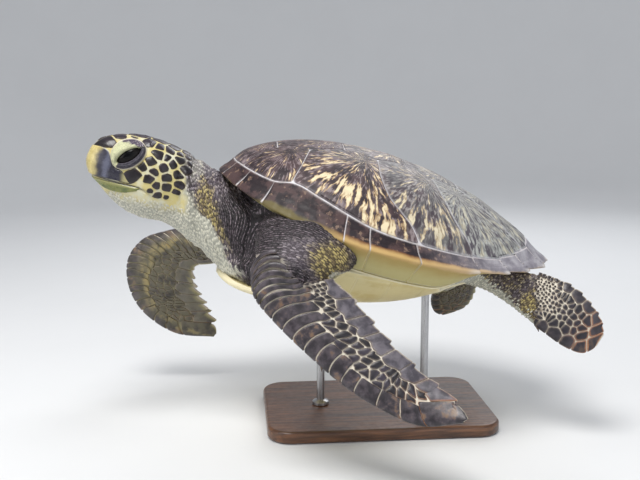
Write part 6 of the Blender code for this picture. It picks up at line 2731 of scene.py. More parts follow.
@dataclass(frozen=True)
class Finish:
    """A material: its name, its surface numbers, and the fineness and cracks of its relief."""

    effects: Effects
    name: str = ""
    gloss: Gloss = Gloss((0.4, 0.6), 0.3, 0.0005)
    relief: tuple[float, float] = (400.0, 0.0)

    def paint(self, graph: Graph) -> Paint:
        """Colour, height and dullness; each finish has its own."""
        raise NotImplementedError

    def build(self) -> bpy.types.Material:
        """Make the material.

        Returns:
            The material.
        """
        look = bpy.data.materials.new(self.name)
        look.use_nodes = True
        look.node_tree.nodes.clear()
        graph, gloss = Graph(look.node_tree), self.gloss
        shader, leave = graph.node("ShaderNodeBsdfPrincipled"), graph.node("ShaderNodeOutputMaterial")
        graph.put(leave.inputs["Surface"], shader.outputs[0])
        paint, bump = self.paint(graph), graph.node("ShaderNodeBump")
        dull = graph.noise(130.0, 3.0) if paint.dull is None else paint.dull
        bump.inputs["Strength"].default_value = gloss.bump
        bump.inputs["Distance"].default_value = gloss.depth
        graph.put(bump.inputs["Height"], self.fine(graph) if paint.height is None else paint.height)
        for name, value in (("Base Color", paint.colour), ("Roughness", graph.ease(dull, 0.2, 0.8, *gloss.roughness)),
                            ("Normal", bump.outputs[0]), ("Coat Weight", gloss.coat),
                            ("Coat Roughness", gloss.coat_roughness), ("Specular IOR Level", gloss.specular),
                            ("Metallic", gloss.metallic)):
            graph.put(shader.inputs[name], value)
        return look

    def fine(self, graph: Graph) -> Socket:
        """Height of the fine relief."""
        return graph.group(self.effects.relief, Scale=self.relief[0], Cracks=self.relief[1]).outputs["Height"]

    def mottled(self, graph: Graph, pair: Pair, scale: float, amount: float) -> Socket:
        """First colour of a pair with patches of the second."""
        return graph.group(self.effects.mottle, Colour=pair[0], Partner=pair[1], Scale=scale,
                           Amount=amount).outputs["Colour"]

    def edged(self, graph: Graph, colour: Socket, border: Input, edge: str, amount: Input) -> Socket:
        """Colour with a worn border where the mark edge is strong."""
        return graph.group(self.effects.worn, Colour=colour, Border=border, Edge=graph.mark(edge),
                           Amount=amount).outputs["Colour"]

    def flesh(self, graph: Graph, raised: float, hue: Input) -> Socket:
        """Markings of the flesh."""
        return graph.group(self.effects.flesh, Pale=graph.mark("pale"), Dusk=graph.mark("dusk"),
                           Gold=graph.mark("gold"), Raised=raised, Hue=hue, Fold=graph.mark("fold")).outputs["Colour"]


@dataclass(frozen=True)
class SkinFinish(Finish):
    """Leathery skin between the scales, and the lids."""

    name: str = "turtle_skin"
    gloss: Gloss = Gloss((0.42, 0.62), 0.5, 0.0006)
    relief: tuple[float, float] = (620.0, 0.5)
    blade: Pair = (srgb(232, 224, 206), srgb(200, 186, 170))
    # Lower faces of the blades: the pale underside darkened as painted shade.
    blade_below_shaded: Pair = (srgb(146, 140, 110), srgb(112, 108, 84))
    cheek: Pair = (srgb(208, 194, 130), srgb(212, 210, 186))
    # Dark line where the jaws meet: painted shade of the crease.
    mouth: Colour = srgb(34, 28, 30)
    upper_lid: Pair = (srgb(206, 206, 166), srgb(186, 190, 150))
    upper_lid_line: Colour = srgb(128, 124, 104)
    rear_lid: Pair = (srgb(62, 48, 70), srgb(216, 206, 206))
    lower_lid: Pair = (srgb(40, 38, 50), srgb(78, 73, 84))
    lid_rim: Colour = srgb(108, 104, 114)
    lid_seam: Colour = srgb(214, 206, 186)

    def lids(self, graph: Graph) -> Socket:
        """Colour of both lids.

        Args:
            graph: Graph of the material.

        Returns:
            The colour.
        """
        fleck = graph.noise(520.0, 3.0, 0.6)
        line = graph.ease(graph.cells(150.0), 0.0, 0.05, 0.45, 0.0)
        upper = graph.mix(line, graph.fade(fleck, 0.4, 0.7, *self.upper_lid), self.upper_lid_line)
        back = graph.plus(graph.mark("lid_back"), graph.swing(graph.noise(160.0, 3.0), 0.5))
        upper = graph.fade(back, 0.38, 0.52, upper, graph.fade(fleck, 0.56, 0.64, *self.rear_lid))
        lower = graph.fade(graph.mark("lid_rim"), 0.35, 0.9, self.mottled(graph, self.lower_lid, 260.0, 0.8),
                           self.lid_rim)
        lids = graph.fade(graph.mark("lid"), -0.2, 0.2, lower, upper)
        return graph.mix(graph.mark("lid_seam"), lids, self.lid_seam)

    def paint(self, graph: Graph) -> Paint:
        """Flesh, the blades under the scales with painted shade on their lower faces, the face, the mouth with a
        painted shade line, and the lids.

        Args:
            graph: Graph of the material.

        Returns:
            The colour.
        """
        # The mark lower, on faces that look down, takes the darker colours of painted shade.
        blade = graph.mix(graph.mark("lower"), self.mottled(graph, self.blade, 120.0, 0.7),
                          self.mottled(graph, self.blade_below_shaded, 90.0, 0.8))
        colour = graph.mix(graph.mark("blade"), self.flesh(graph, 0.12, 0.4), blade)
        colour = graph.mix(graph.mark("face"), colour, self.mottled(graph, self.cheek, 42.0, 1.0))
        # Painted shade: a dark line along the crease where the jaws meet.
        colour = graph.mix(graph.mark("mouth"), colour, self.mouth)
        return Paint(graph.fade(graph.math("ABSOLUTE", graph.mark("lid")), 0.02, 0.10, colour, self.lids(graph)))


@dataclass(frozen=True)
class GrainFinish(Finish):
    """Small raised scales of the neck and shoulders."""

    name: str = "turtle_grains"
    gloss: Gloss = Gloss((0.34, 0.5), 0.3, 0.0004)
    relief: tuple[float, float] = (900.0, 0.2)

    def paint(self, graph: Graph) -> Paint:
        """Markings of the flesh, raised."""
        return Paint(self.flesh(graph, 1.0, graph.mark("hue")))


@dataclass(frozen=True)
class HeadPlateFinish(Finish):
    """Near-black plates of the head."""

    name: str = "turtle_head_plates"
    gloss: Gloss = Gloss((0.26, 0.42), 0.2, 0.0003, 0.15)
    relief: tuple[float, float] = (700.0, 0.1)
    plate: Pair = (srgb(18, 12, 16), srgb(42, 32, 42))
    crown: Colour = srgb(56, 45, 58)
    border: Colour = srgb(96, 78, 58)

    def paint(self, graph: Graph) -> Paint:
        """Dark plates, a little paler on the crown."""
        colour = graph.mix(graph.times(graph.mark("top"), 0.6), self.mottled(graph, self.plate, 70.0, 0.75), self.crown)
        return Paint(self.edged(graph, colour, self.border, "edge", 0.3))


@dataclass(frozen=True)
class FlipperPlateFinish(Finish):
    """Scales of the flippers."""

    name: str = "turtle_flipper_plates"
    gloss: Gloss = Gloss((0.30, 0.50), 0.3, 0.0005, 0.10)
    relief: tuple[float, float] = (420.0, 0.25)
    leading: Pair = (srgb(36, 31, 36), srgb(82, 74, 80))
    tan: Colour = srgb(116, 92, 72)
    trailing: Pair = (srgb(62, 58, 66), srgb(106, 101, 108))
    cell: Pair = (srgb(21, 17, 24), srgb(52, 45, 57))
    # Near-black for the hind flipper plates: their own dark colour, deepened further as painted shade.
    hind: Colour = srgb(26, 22, 32)
    rust: Colour = srgb(170, 106, 60)
    # Lower face: mottled colours kept darker than the pale underside, as painted shade.
    below: Pair = (srgb(118, 112, 86), srgb(62, 58, 52))
    below_edge: Colour = srgb(188, 180, 120)
    # Pale band over the leading plates of the lower face: a painted highlight of the lit strip.
    below_lit_band: Colour = srgb(172, 158, 102)
    fringe: Colour = srgb(206, 196, 178)
    border: Colour = srgb(190, 172, 156)

    def upper(self, graph: Graph, kind: Socket, cloud: Socket) -> Socket:
        """Colour of the upper face.

        Args:
            graph: Graph of the material.
            kind: Value of the plate's Kind.
            cloud: Soft noise.

        Returns:
            The colour.
        """
        hue, small = graph.mark("hue"), graph.ease(kind, 1.4, 1.6)
        rear = graph.times(graph.ease(kind, 0.4, 0.6), graph.less(1.0, small))
        big = graph.fade(graph.plus(cloud, graph.times(hue, 0.25)), 0.72, 0.88,
                         graph.fade(cloud, 0.36, 0.66, *self.leading), self.tan)
        big = graph.mix(rear, big, graph.fade(cloud, 0.35, 0.65, *self.trailing))
        cell = graph.fade(graph.plus(cloud, graph.times(hue, 0.3)), 0.55, 0.9, *self.cell)
        # The hind flippers' plates are pulled towards near-black, partly their own dark colour and partly painted
        # shade.
        colour = graph.mix(graph.times(graph.mark("deep"), 0.55), graph.mix(small, big, cell), self.hind)
        worn = graph.ease(graph.plus(graph.mark("edge"), graph.times(cloud, 0.3)), 0.75, 1.05)
        return graph.mix(graph.times(graph.mark("tip"), worn, True), colour, self.rust)

    def lower(self, graph: Graph, kind: Socket, cloud: Socket) -> Socket:
        """Colour of the lower face: darker than its pale underside as painted shade, with a painted highlight band over
        the leading plates.

        Args:
            graph: Graph of the material.
            kind: Value of the plate's Kind.
            cloud: Soft noise.

        Returns:
            The colour.
        """
        out = graph.mark("out")
        # Darker mottled ground of the lower face: painted shade.
        colour = graph.fade(out, 0.88, 0.98, self.mottled(graph, self.below, 60.0, 0.9), self.below_edge)
        # Painted highlight: a pale band over the leading plates, where the lit strip falls.
        band = graph.times(graph.times(graph.ease(out, 0.12, 0.26), graph.ease(out, 0.34, 0.46, 1.0, 0.0)),
                           graph.ease(kind, 0.0, 0.4, 1.0, 0.0))
        return graph.mix(graph.times(band, graph.ease(cloud, 0.40, 0.60)), colour, self.below_lit_band)

    def paint(self, graph: Graph) -> Paint:
        """Both faces, the lower one with painted shade, and the pale fringe of the trailing edge.

        Args:
            graph: Graph of the material.

        Returns:
            The colour.
        """
        kind, out, cloud = graph.mark("kind"), graph.mark("out"), graph.noise(75.0, 4.0, 0.6)
        # Painted shade: the lower face keeps part of the dark upper colour, most near the leading edge.
        shade = graph.times(graph.less(1.0, graph.mark("face")), graph.ease(out, 0.0, 0.35, 0.15, 0.62))
        colour = graph.mix(shade, self.upper(graph, kind, cloud), self.lower(graph, kind, cloud))
        fringe = graph.ease(graph.plus(out, graph.times(cloud, 0.05)), 0.975, 1.01, 0.0, 0.8)
        return Paint(self.edged(graph, graph.mix(fringe, colour, self.fringe), self.border, "edge", 0.28))


@dataclass(frozen=True)
class ScuteFinish(Finish):
    """Plates of the dome: dark, streaked, with cream flames, greyer to the rear."""

    name: str = "turtle_scutes"
    gloss: Gloss = Gloss((0.40, 0.60), 0.35, 0.0006, 0.02, specular=0.36)
    relief: tuple[float, float] = (360.0, 0.1)
    dark: Pair = (srgb(42, 31, 36), srgb(78, 60, 62))
    slate: Pair = (srgb(88, 82, 90), srgb(152, 153, 150))
    marble_and_sheen: Pair = (srgb(146, 132, 134), srgb(186, 188, 182))     # on a dark plate, on a grey one; pale patches, partly marbling and partly painted sheen
    tan: Pair = (srgb(172, 142, 104), srgb(164, 156, 136))
    cream: Pair = (srgb(232, 216, 178), srgb(204, 200, 182))
    ring: Colour = srgb(24, 17, 20)
    border: Pair = (srgb(150, 142, 146), srgb(196, 196, 200))

    def paint(self, graph: Graph) -> Paint:
        """Dark or slate ground, marbling with painted sheen, flames, rings of growth and the border.

        Args:
            graph: Graph of the material.

        Returns:
            The colour, and the relief with the streaks in it.
        """
        growth = graph.group(self.effects.growth, Ring=graph.mark("ring"), Fan_X=graph.mark("fan_x"),
                             Fan_Y=graph.mark("fan_y"), Reach=graph.mark("reach"), Count=54.0, Fineness=12.0,
                             Hue=graph.mark("hue"))
        streaks, fine, blots, rings = (growth.outputs[k] for k in ("Streaks", "Fine", "Blots", "Rings"))
        grey = graph.mark("grey")
        long = graph.plus(graph.times(streaks, 0.6), graph.times(fine, 0.4))
        colour = graph.mix(grey, graph.fade(blots, 0.38, 0.62, *self.dark), graph.fade(long, 0.41, 0.55, *self.slate))
        # Pale patches: partly marbling, partly painted sheen.
        marble_and_sheen = graph.ease(graph.plus(fine, graph.swing(blots, 0.5)), 0.49, 0.66, 0.0, 0.80)
        colour = graph.mix(marble_and_sheen, colour, graph.mix(grey, *self.marble_and_sheen))
        flame = graph.plus(streaks, graph.times(graph.mark("blaze"), 0.155))
        flame = graph.plus(graph.plus(flame, graph.swing(blots, 0.25)), graph.swing(fine, 0.34))
        cream = graph.fade(flame, 0.62, 0.70, graph.mix(grey, *self.tan), graph.mix(grey, *self.cream))
        colour = graph.mix(graph.ease(flame, 0.595, 0.63, 0.0, 0.95), colour, cream)
        colour = graph.mix(graph.times(rings, 0.10), colour, self.ring)
        colour = self.edged(graph, colour, graph.mix(grey, *self.border), "rim",
                            graph.plus(0.3, graph.times(grey, 0.4)))
        return Paint(colour, graph.plus(self.fine(graph), graph.times(streaks, 0.8)))


@dataclass(frozen=True)
class RimFinish(Finish):
    """Plates of the rim: dark above, with an orange-yellow border and a paler underside."""

    name: str = "turtle_rim_plates"
    gloss: Gloss = Gloss((0.42, 0.62), 0.3, 0.0005, specular=0.28)
    relief: tuple[float, float] = (340.0, 0.15)
    dark: Pair = (srgb(34, 25, 30), srgb(74, 56, 56))
    fleck: Colour = srgb(140, 116, 98)
    lilac: Pair = (srgb(130, 126, 135), srgb(176, 173, 179))
    amber: Pair = (srgb(118, 80, 50), srgb(190, 158, 102))
    amber_rear: Colour = srgb(206, 182, 156)
    amber_fore_shaded: Pair = (srgb(98, 88, 50), srgb(76, 66, 42))       # over the shoulder, over the nape: darker there as painted shade under the rim
    tooth: Colour = srgb(220, 214, 208)
    olive: Pair = (srgb(170, 148, 90), srgb(132, 118, 68))        # along the flank, over the shoulder
    olive_inner: Pair = (srgb(184, 174, 122), srgb(150, 142, 92))
    border: Colour = srgb(210, 204, 204)

    def paint(self, graph: Graph) -> Paint:
        """Upper face, amber edge, pale teeth, underside and the border.

        Args:
            graph: Graph of the material.

        Returns:
            The colour.
        """
        way, grey, fore, nape = (graph.mark(k) for k in ("way", "grey", "fore", "nape"))
        blots = graph.noise(48.0, 4.0, 0.6)
        flecks = graph.ease(graph.noise(95.0, 4.0, 0.65), 0.57, 0.66, 0.0, 0.8)
        dark = graph.mix(flecks, graph.fade(blots, 0.42, 0.56, *self.dark), self.fleck)
        colour = graph.mix(grey, dark, graph.fade(blots, 0.35, 0.7, *self.lilac))
        wander = graph.plus(way, graph.swing(blots, 0.30))
        amber = graph.mix(grey, graph.fade(wander, 0.68, 0.94, *self.amber), self.amber_rear)
        # Over the shoulder and the nape the amber is darkened as painted shade.
        amber = graph.mix(fore, amber, graph.mix(nape, *self.amber_fore_shaded))
        edge = graph.plus(0.60, graph.times(graph.math("MAXIMUM", grey, nape), 0.32))
        edge = graph.plus(edge, graph.times(fore, 0.08))
        colour = graph.fade(graph.less(wander, edge), 0.0, 0.16, colour, amber)
        tooth = graph.times(graph.ease(graph.mark("notch"), 0.80, 1.0), graph.ease(way, 0.80, 0.98))
        colour = graph.mix(graph.times(tooth, grey), colour, self.tooth)
        olive = graph.fade(wander, 1.1, 1.7, graph.mix(fore, *self.olive), graph.mix(fore, *self.olive_inner))
        colour = graph.fade(wander, 1.0, 1.16, colour, olive)
        return Paint(self.edged(graph, colour, self.border, "rim", graph.plus(0.35, graph.times(grey, 0.55))))


@dataclass(frozen=True)
class SeamFinish(Finish):
    """Pale horn that shows in the seams between the scutes, and the hollow of the shell."""

    name: str = "turtle_shell_seams"
    relief: tuple[float, float] = (500.0, 0.2)
    pale: Pair = (srgb(206, 204, 208), srgb(168, 156, 150))
    below: Colour = srgb(190, 176, 112)

    def paint(self, graph: Graph) -> Paint:
        """Pale seams, yellow below."""
        return Paint(graph.mix(graph.mark("under"), self.mottled(graph, self.pale, 80.0, 0.7), self.below))


@dataclass(frozen=True)
class BellyFinish(Finish):
    """Pale yellow belly shell."""

    name: str = "turtle_belly"
    gloss: Gloss = Gloss((0.34, 0.5), 0.25, 0.0005, 0.08)
    relief: tuple[float, float] = (300.0, 0.15)
    plate: Pair = (srgb(224, 210, 158), srgb(206, 186, 122))
    border: Colour = srgb(232, 226, 200)

    def paint(self, graph: Graph) -> Paint:
        """Yellow plates with paler borders."""
        return Paint(self.edged(graph, self.mottled(graph, self.plate, 26.0, 0.7), self.border, "rim", 0.6))


@dataclass(frozen=True)
class HornFinish(Finish):
    """Horn of a jaw, cream at the snout and slate behind it, or yellow-green below."""

    gloss: Gloss = Gloss((0.20, 0.36), 0.15, 0.0004, 0.3, 0.15)
    relief: tuple[float, float] = (260.0, 0.0)
    jaw: Jaw = Jaw.UPPER
    snout: Pair = (srgb(206, 190, 128), srgb(172, 156, 96))
    # Slate: dark, then paler in a band behind the snout that is a painted highlight; its blue tint is partly painted
    # reflection.
    slate: Pair = (srgb(40, 39, 54), srgb(90, 92, 110))
    slate_rear: Colour = srgb(35, 34, 48)
    corner: Colour = srgb(164, 156, 110)
    upper_line: Colour = srgb(206, 204, 184)
    # Dark strip along the upper horn's mouth edge: painted shade of the crease between the jaws.
    lip: Colour = srgb(34, 32, 40)
    green: Pair = (srgb(128, 130, 66), srgb(80, 94, 48))
    # Paler top of the lower horn, darker below: painted light from above.
    green_top_lit: Colour = srgb(146, 144, 86)
    # Dark strip along the lower horn's mouth edge: painted shade under the upper jaw.
    green_lip_shade: Colour = srgb(52, 54, 38)

    def paint(self, graph: Graph) -> Paint:
        """Horn of the jaw.

        Args:
            graph: Graph of the material.

        Returns:
            The colour.
        """
        up = graph.mark("up")
        if self.jaw is Jaw.LOWER:
            # Painted light: the lower horn paler towards its top, darker towards the chin.
            colour = graph.fade(up, 0.60, 0.84, self.mottled(graph, self.green, 60.0, 0.9), self.green_top_lit)
            # Painted shade: the lower horn darkens along the mouth edge.
            return Paint(graph.fade(up, 0.88, 0.97, colour, self.green_lip_shade))
        back = graph.plus(graph.mark("back"), graph.swing(graph.noise(70.0, 3.0), 0.12))
        # The slate turns paler from back 0.38 and dark again from 0.48: a painted highlight band.
        slate = graph.fade(back, 0.48, 0.56, graph.fade(back, 0.38, 0.46, *self.slate), self.slate_rear)
        slate = graph.fade(back, 0.74, 0.90, slate, self.corner)
        colour = graph.fade(back, 0.24, 0.36, self.mottled(graph, self.snout, 90.0, 0.7), slate)
        colour = graph.fade(up, 0.945, 0.985, colour, self.upper_line)
        # Painted shade: a dark strip along the mouth edge of the upper horn.
        lip = graph.times(graph.ease(graph.less(1.0, up), 0.90, 0.97), graph.ease(back, 0.22, 0.34))
        return Paint(graph.mix(lip, colour, self.lip))


@dataclass(frozen=True)
class EyeFinish(Finish):
    """Glossy near-black eye."""

    name: str = "turtle_eye"
    gloss: Gloss = Gloss((0.22, 0.26), 0.02, 0.0001, 0.10, 0.05, 0.12)
    relief: tuple[float, float] = (200.0, 0.0)
    pupil: Colour = srgb(3, 3, 5)
    iris: Colour = srgb(16, 12, 12)
    outer: Colour = srgb(10, 9, 13)

    def paint(self, graph: Graph) -> Paint:
        """Pupil, iris and the dark round them."""
        iris = graph.fade(graph.mark("gaze"), 0.30, 0.42, self.pupil, self.iris)
        return Paint(graph.fade(graph.mark("gaze"), 0.75, 1.0, iris, self.outer))


@dataclass(frozen=True)
class ClawFinish(Finish):
    """Horn of the claws."""

    name: str = "turtle_claws"
    gloss: Gloss = Gloss((0.22, 0.4), 0.2, 0.0003, 0.2)
    relief: tuple[float, float] = (500.0, 0.0)
    root_to_tip: Pair = (srgb(112, 94, 76), srgb(58, 46, 42))

    def paint(self, graph: Graph) -> Paint:
        """Darker towards the tip."""
        return Paint(graph.fade(graph.mark("along"), 0.2, 1.0, *self.root_to_tip))


@dataclass(frozen=True)
class WoodFinish(Finish):
    """Dark oiled wood of the stand's base."""

    name: str = "stand_oiled_wood"
    gloss: Gloss = Gloss((0.28, 0.46), 0.25, 0.0004, 0.25, 0.25)
    wood: Pair = (srgb(70, 44, 30), srgb(120, 80, 52))
    ring: Colour = srgb(52, 32, 22)

    def paint(self, graph: Graph) -> Paint:
        """Grain along the board.

        Args:
            graph: Graph of the material.

        Returns:
            The colour and the height of the grain.
        """
        place = graph.stretched((1.0, 0.09, 1.0))
        grain = graph.noise(190.0, 5.0, 0.62, place)
        rings = graph.math("SINE", graph.times(graph.noise(22.0, at=place), 60.0))
        colour = graph.mix(graph.ease(rings, 0.1, 1.0, 0.0, 0.45), graph.fade(grain, 0.32, 0.70, *self.wood), self.ring)
        return Paint(colour, graph.plus(grain, graph.times(rings, 0.2)))


@dataclass(frozen=True)
class SteelFinish(Finish):
    """Brushed steel of the stand's rods."""

    name: str = "stand_brushed_steel"
    gloss: Gloss = Gloss((0.22, 0.38), 0.15, 0.0002, metallic=1.0)
    steel: Pair = (srgb(150, 150, 152), srgb(196, 196, 198))

    def paint(self, graph: Graph) -> Paint:
        """Brush marks along the rods."""
        brush = graph.noise(60.0, 4.0, 0.6, graph.stretched((60.0, 60.0, 1.0)))
        return Paint(graph.fade(brush, 0.3, 0.7, *self.steel), brush, brush)


@dataclass(frozen=True)
class FloorFinish(Finish):
    """Plain pale floor and backdrop."""

    name: str = "studio_floor"
    gloss: Gloss = Gloss((0.8, 0.9), 0.02, 0.0005, specular=0.2)
    relief: tuple[float, float] = (30.0, 0.0)
    pale: Pair = ((0.76, 0.77, 0.78), (0.74, 0.75, 0.76))

    def paint(self, graph: Graph) -> Paint:
        """Faint patches of the same grey."""
        return Paint(self.mottled(graph, self.pale, 3.0, 0.4))


# ---------------------------------------------------------------- stand, claws, studio

@dataclass
class Stand:
    """Plain wooden base with eased edges, two steel rods, and a small collar at the foot of each rod."""

    corner: float = 0.035
    bevel: float = 0.005

    def base(self) -> Shape:
        """Rounded board the size of its solid.

        Returns:
            The shape in metres.
        """
        low, high = (np.array(c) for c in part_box("stand_base"))
        half, middle = (high - low) / 2, (high + low) / 2
        turn = full_turn(192)
        rings, height = [], high[2] - low[2]
        levels = [(0.0, self.bevel)] + [(self.bevel * (1 - math.cos(s)), self.bevel * (1 - math.sin(s)))
                                        for s in np.linspace(0, math.pi / 2, 7)]
        levels += [(height - z, inset) for z, inset in reversed(levels)]
        for z, inset in levels:
            corner = self.corner - inset
            x = np.sign(np.cos(turn)) * (half[0] - self.corner) + corner * np.cos(turn)
            y = np.sign(np.sin(turn)) * (half[1] - self.corner) + corner * np.sin(turn)
            rings.append(np.column_stack([middle[0] + x, middle[1] + y, np.full_like(x, low[2] + z)]))
        for share in (0.97, 0.6):
            rings.append((rings[-1] - middle) * (share, share, 1) + middle)
        return tube(np.array(rings)).turned_out(middle)

    def rod(self, node: str) -> Shape:
        """Rod of a solid, with a turned collar at its foot.

        Args:
            node: Name of the solid.

        Returns:
            The shape in metres.
        """
        low, high = (np.array(c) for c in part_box(node))
        middle, radius = (low + high) / 2, (high[0] - low[0]) / 2
        turn = full_turn(48)
        profile = [(low[2], radius), (low[2] + 0.0006, radius * 2.1), (low[2] + 0.0045, radius * 2.1),
                   (low[2] + 0.0058, radius * 1.9), (low[2] + 0.0068, radius * 1.25), (low[2] + 0.0080, radius)]
        profile += [(z, radius) for z in np.linspace(low[2] + 0.02, high[2] - 0.0012, 24)]
        profile += [(high[2] - 0.0004, radius * 0.92), (high[2], radius * 0.75)]
        rings = [np.column_stack([middle[0] + r * np.cos(turn), middle[1] + r * np.sin(turn), np.full_like(turn, z)])
                 for z, r in profile]
        return tube(np.array(rings)).turned_out(middle)


@dataclass
class Claws:
    """Curved claw on the leading edge of each flipper."""

    length: float = 0.013
    radius: float = 0.0062
    root: float = 0.010          # length inside the flesh
    station: dict[str, float] = field(default_factory=lambda: {"front": 0.65, "hind": 0.52})
    around: int = 28
    rows: int = 22

    def build(self, name: str) -> Shape:
        """Claw of a limb.

        Args:
            name: Key of the limb.

        Returns:
            The shape, with the mark along.
        """
        limb = LIMBS[name]
        share = self.station[name.split("_")[0]]
        at = int(share * (limb.fine - 1))
        lead = unit(limb.chord[at])
        onward = unit(limb.middle[at + 3] - limb.middle[at - 3])
        way = unit(0.50 * lead + 0.85 * onward)
        root = limb.middle[at] + limb.chord[at] / 2 - way * self.root
        side = unit(np.cross(way, limb.upward[at]))
        turn, steps = full_turn(self.around), np.linspace(0, 1, self.rows)
        rings = []
        for along in steps:
            radius = self.radius * (1 - along) ** 0.62 * (1 + 0.06 * math.sin(along * 40))
            middle = root + way * (along * (self.length + self.root)) + side * (0.30 * self.length * along ** 2)
            rings.append(middle + radius * (0.8 * np.cos(turn)[:, None] * side
                                            + 0.62 * np.sin(turn)[:, None] * limb.upward[at]))
        shape = tube(np.array(rings)).turned_out(root + way * 0.01)
        return shape.marked(along=np.concatenate([np.repeat(steps, self.around), [0, 1]]))


@dataclass
class Studio:
    """Floor with a curved backdrop all round, soft lights, and the camera."""

    flat: float = 2.7                                # radius of the flat floor
    curve: float = 1.6                               # radius of the curve up to the wall
    around: int = 96
    drop: float = 0.0004                             # depth of the floor under the stand
    aim: tuple[float, float, float] = (0.0, 0.0, 0.28)
    lamps: tuple = (                                 # name, place, size, power and tint
        ("key", (0.9, -0.6, 2.4), 1.1, 52.0, (1.0, 0.98, 0.95)),
        ("fill", (2.0, 0.9, 0.8), 1.6, 7.0, (0.93, 0.96, 1.0)),
        ("front", (0.9, -2.0, 0.9), 1.2, 9.0, (1.0, 0.98, 0.96)),
        ("back", (-1.7, 0.8, 1.7), 1.2, 16.0, (0.97, 0.98, 1.0)))
    room: tuple[float, float, float, float] = (0.90, 0.93, 1.0, 1.0)
    room_strength: float = 0.42
    azimuth: float = 5.5
    elevation: float = 9.48
    reach: float = 2.687                             # distance of the camera from the body's origin, in shell lengths
    focal: float = 900.0                             # focal length in the frame's own units
    sight: tuple[float, float] = (387.33, 217.67)    # where in the frame the body's origin lies
    sensor: float = 36.0

    def floor(self, look: bpy.types.Material) -> None:
        """Build the floor.

        Args:
            look: Its material.
        """
        count = self.around
        profile = [(r, 0.0) for r in (0.4, 1.2, 2.0, self.flat)]
        profile += [(self.flat + self.curve * math.sin(a), self.curve * (1 - math.cos(a)))
                    for a in np.linspace(0.1, math.pi / 2, 12)]
        profile += [(self.flat + self.curve, z) for z in (2.4, 3.4)]
        points = [(0.0, 0.0, -self.drop)] + [(r * math.cos(t), r * math.sin(t), z - self.drop)
                                             for r, z in profile for t in full_turn(count)]
        faces = [(0, 1 + j, 1 + (j + 1) % count) for j in range(count)]
        for i in range(len(profile) - 1):
            low, high = 1 + i * count, 1 + (i + 1) * count
            faces += [(low + j, high + j, high + (j + 1) % count, low + (j + 1) % count) for j in range(count)]
        mesh = bpy.data.meshes.new("studio_floor")
        mesh.from_pydata(points, [], faces)
        mesh.shade_smooth()
        mesh.materials.append(look)
        floor = bpy.data.objects.new("studio_floor", mesh)
        bpy.context.scene.collection.objects.link(floor)

    def lights(self) -> None:
        """Hang the lamps and set the room's light."""
        for name, place, size, power, tint in self.lamps:
            lamp = bpy.data.lights.new(name, "AREA")
            lamp.energy, lamp.size, lamp.color = power, size, tint
            made = bpy.data.objects.new(name, lamp)
            made.location = place
            made.rotation_euler = (Vector(self.aim) - Vector(place)).to_track_quat("-Z", "Y").to_euler()
            bpy.context.scene.collection.objects.link(made)
        world = bpy.data.worlds.new("room")
        world.use_nodes = True
        back = world.node_tree.nodes["Background"]
        back.inputs["Color"].default_value = self.room
        back.inputs["Strength"].default_value = self.room_strength
        bpy.context.scene.world = world
        bpy.context.scene.view_settings.view_transform = "Standard"

    def camera(self) -> None:
        """Place the camera: level with the horizon, and beside the animal's left flank."""
        a, e = math.radians(self.azimuth), math.radians(self.elevation)
        back = Vector((math.cos(a) * math.cos(e), -math.sin(a) * math.cos(e), math.sin(e)))
        right = (-back).cross(Vector((0, 0, 1))).normalized()
        up = right.cross(-back)
        across = (self.sight[0] - FRAME[0] / 2) * self.reach / self.focal
        climb = -(self.sight[1] - FRAME[1] / 2) * self.reach / self.focal
        place = Vector(BODY.origin) + BODY.shell_length * (back * self.reach - right * across - up * climb)
        lens = bpy.data.cameras.new("camera")
        lens.sensor_width, lens.lens = self.sensor, self.sensor * self.focal / FRAME[0]
        lens.clip_start, lens.clip_end = 0.05, 30.0
        camera = bpy.data.objects.new("camera", lens)
        camera.matrix_world = Matrix.Translation(place) @ Matrix((right, up, back)).transposed().to_4x4()
        bpy.context.scene.collection.objects.link(camera)
        bpy.context.scene.camera = camera


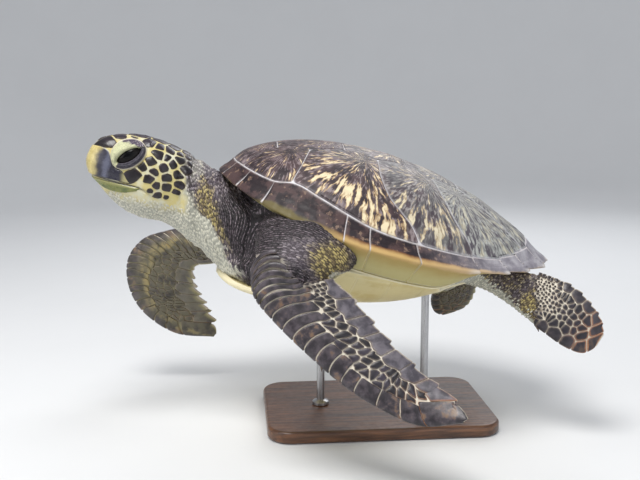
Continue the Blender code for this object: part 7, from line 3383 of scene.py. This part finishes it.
@dataclass
class Turtle:
    """The whole animal, dressed."""

    effects: Effects = field(default_factory=Effects)

    def flesh(self) -> None:
        """Build the skin, the lids, the eyes, the horn and every scale that grows on the skin."""
        skin = Skin()
        whole, surface = skin.build()
        make_piece("turtle_skin", whole, SkinFinish(self.effects).build(), skin.nodes)
        ball = EyeFinish(self.effects).build()
        for side, name in zip(SIDES, ("left", "right")):
            make_piece(f"turtle_eye_{name}", EYE.ball_shape(side), ball, (f"eye_{name}",))
        for beak in BEAKS:
            name = f"turtle_{beak.jaw.value}"
            horn = HornFinish(self.effects, name, jaw=beak.jaw).build()
            make_piece(name, beak.build(HEAD_SURFACE), horn, (beak.jaw.value,))
        plates = HeadScales().build(surface)
        plates.marked(top=smoothstep(0.030, 0.050, plates.points[:, 2]))
        make_piece("turtle_head_plates", plates, HeadPlateFinish(self.effects).build())
        grain = GrainFinish(self.effects).build()
        for number, shape in enumerate(Grains().build(whole), 1):
            make_piece(f"turtle_grains_{number}", shape, grain)
        scale = FlipperPlateFinish(self.effects).build()
        for number, (name, limb) in enumerate(LIMBS.items()):
            shape = (FlipperScales if "front" in name else PaddleScales)(limb, number + 3).build()
            make_piece(f"turtle_{name}_scales", shape, scale)

    def shell(self) -> None:
        """Build the upper shell, its scutes and rim plates, and the belly shell."""
        dress = ShellDress()
        make_piece("turtle_shell_base", dress.base(), SeamFinish(self.effects).build(), ("carapace",))
        look = ScuteFinish(self.effects).build()
        for scute in dress.scutes():
            for flip in SIDES if scute.mirrored else SIDES[:1]:
                name = f"turtle_{scute.name}" + ("_right" if flip < 0 else "")
                make_piece(name, dress.plate(scute, flip), look)
        make_piece("turtle_rim_plates", dress.rim_plates(), RimFinish(self.effects).build())
        look = BellyFinish(self.effects).build()
        base, plates = dress.belly()
        make_piece("turtle_belly_base", base, look, ("plastron",))
        make_piece("turtle_belly_plates", plates, look)

    def claws(self) -> None:
        """Build the claws."""
        look = ClawFinish(self.effects).build()
        for name in LIMBS:
            make_piece(f"turtle_claw_{name}", Claws().build(name), look, (f"claw_{name}",))

    def stand(self) -> None:
        """Build the stand."""
        made = Stand()
        make_piece("stand_board", made.base(), WoodFinish(self.effects).build(), ("stand_base",), True, 40.0)
        look = SteelFinish(self.effects).build()
        for node in ("stand_rod_front", "stand_rod_rear"):
            make_piece(node.replace("rod", "post"), made.rod(node), look, (node,), True, 40.0)


def main() -> None:
    """Build the animal, the stand and the studio."""
    logging.basicConfig(level=logging.INFO, format="%(message)s")
    turtle = Turtle()
    turtle.flesh()
    turtle.shell()
    turtle.claws()
    turtle.stand()
    studio = Studio()
    studio.floor(FloorFinish(turtle.effects).build())
    studio.lights()
    studio.camera()


if __name__ == "__main__":
    main()
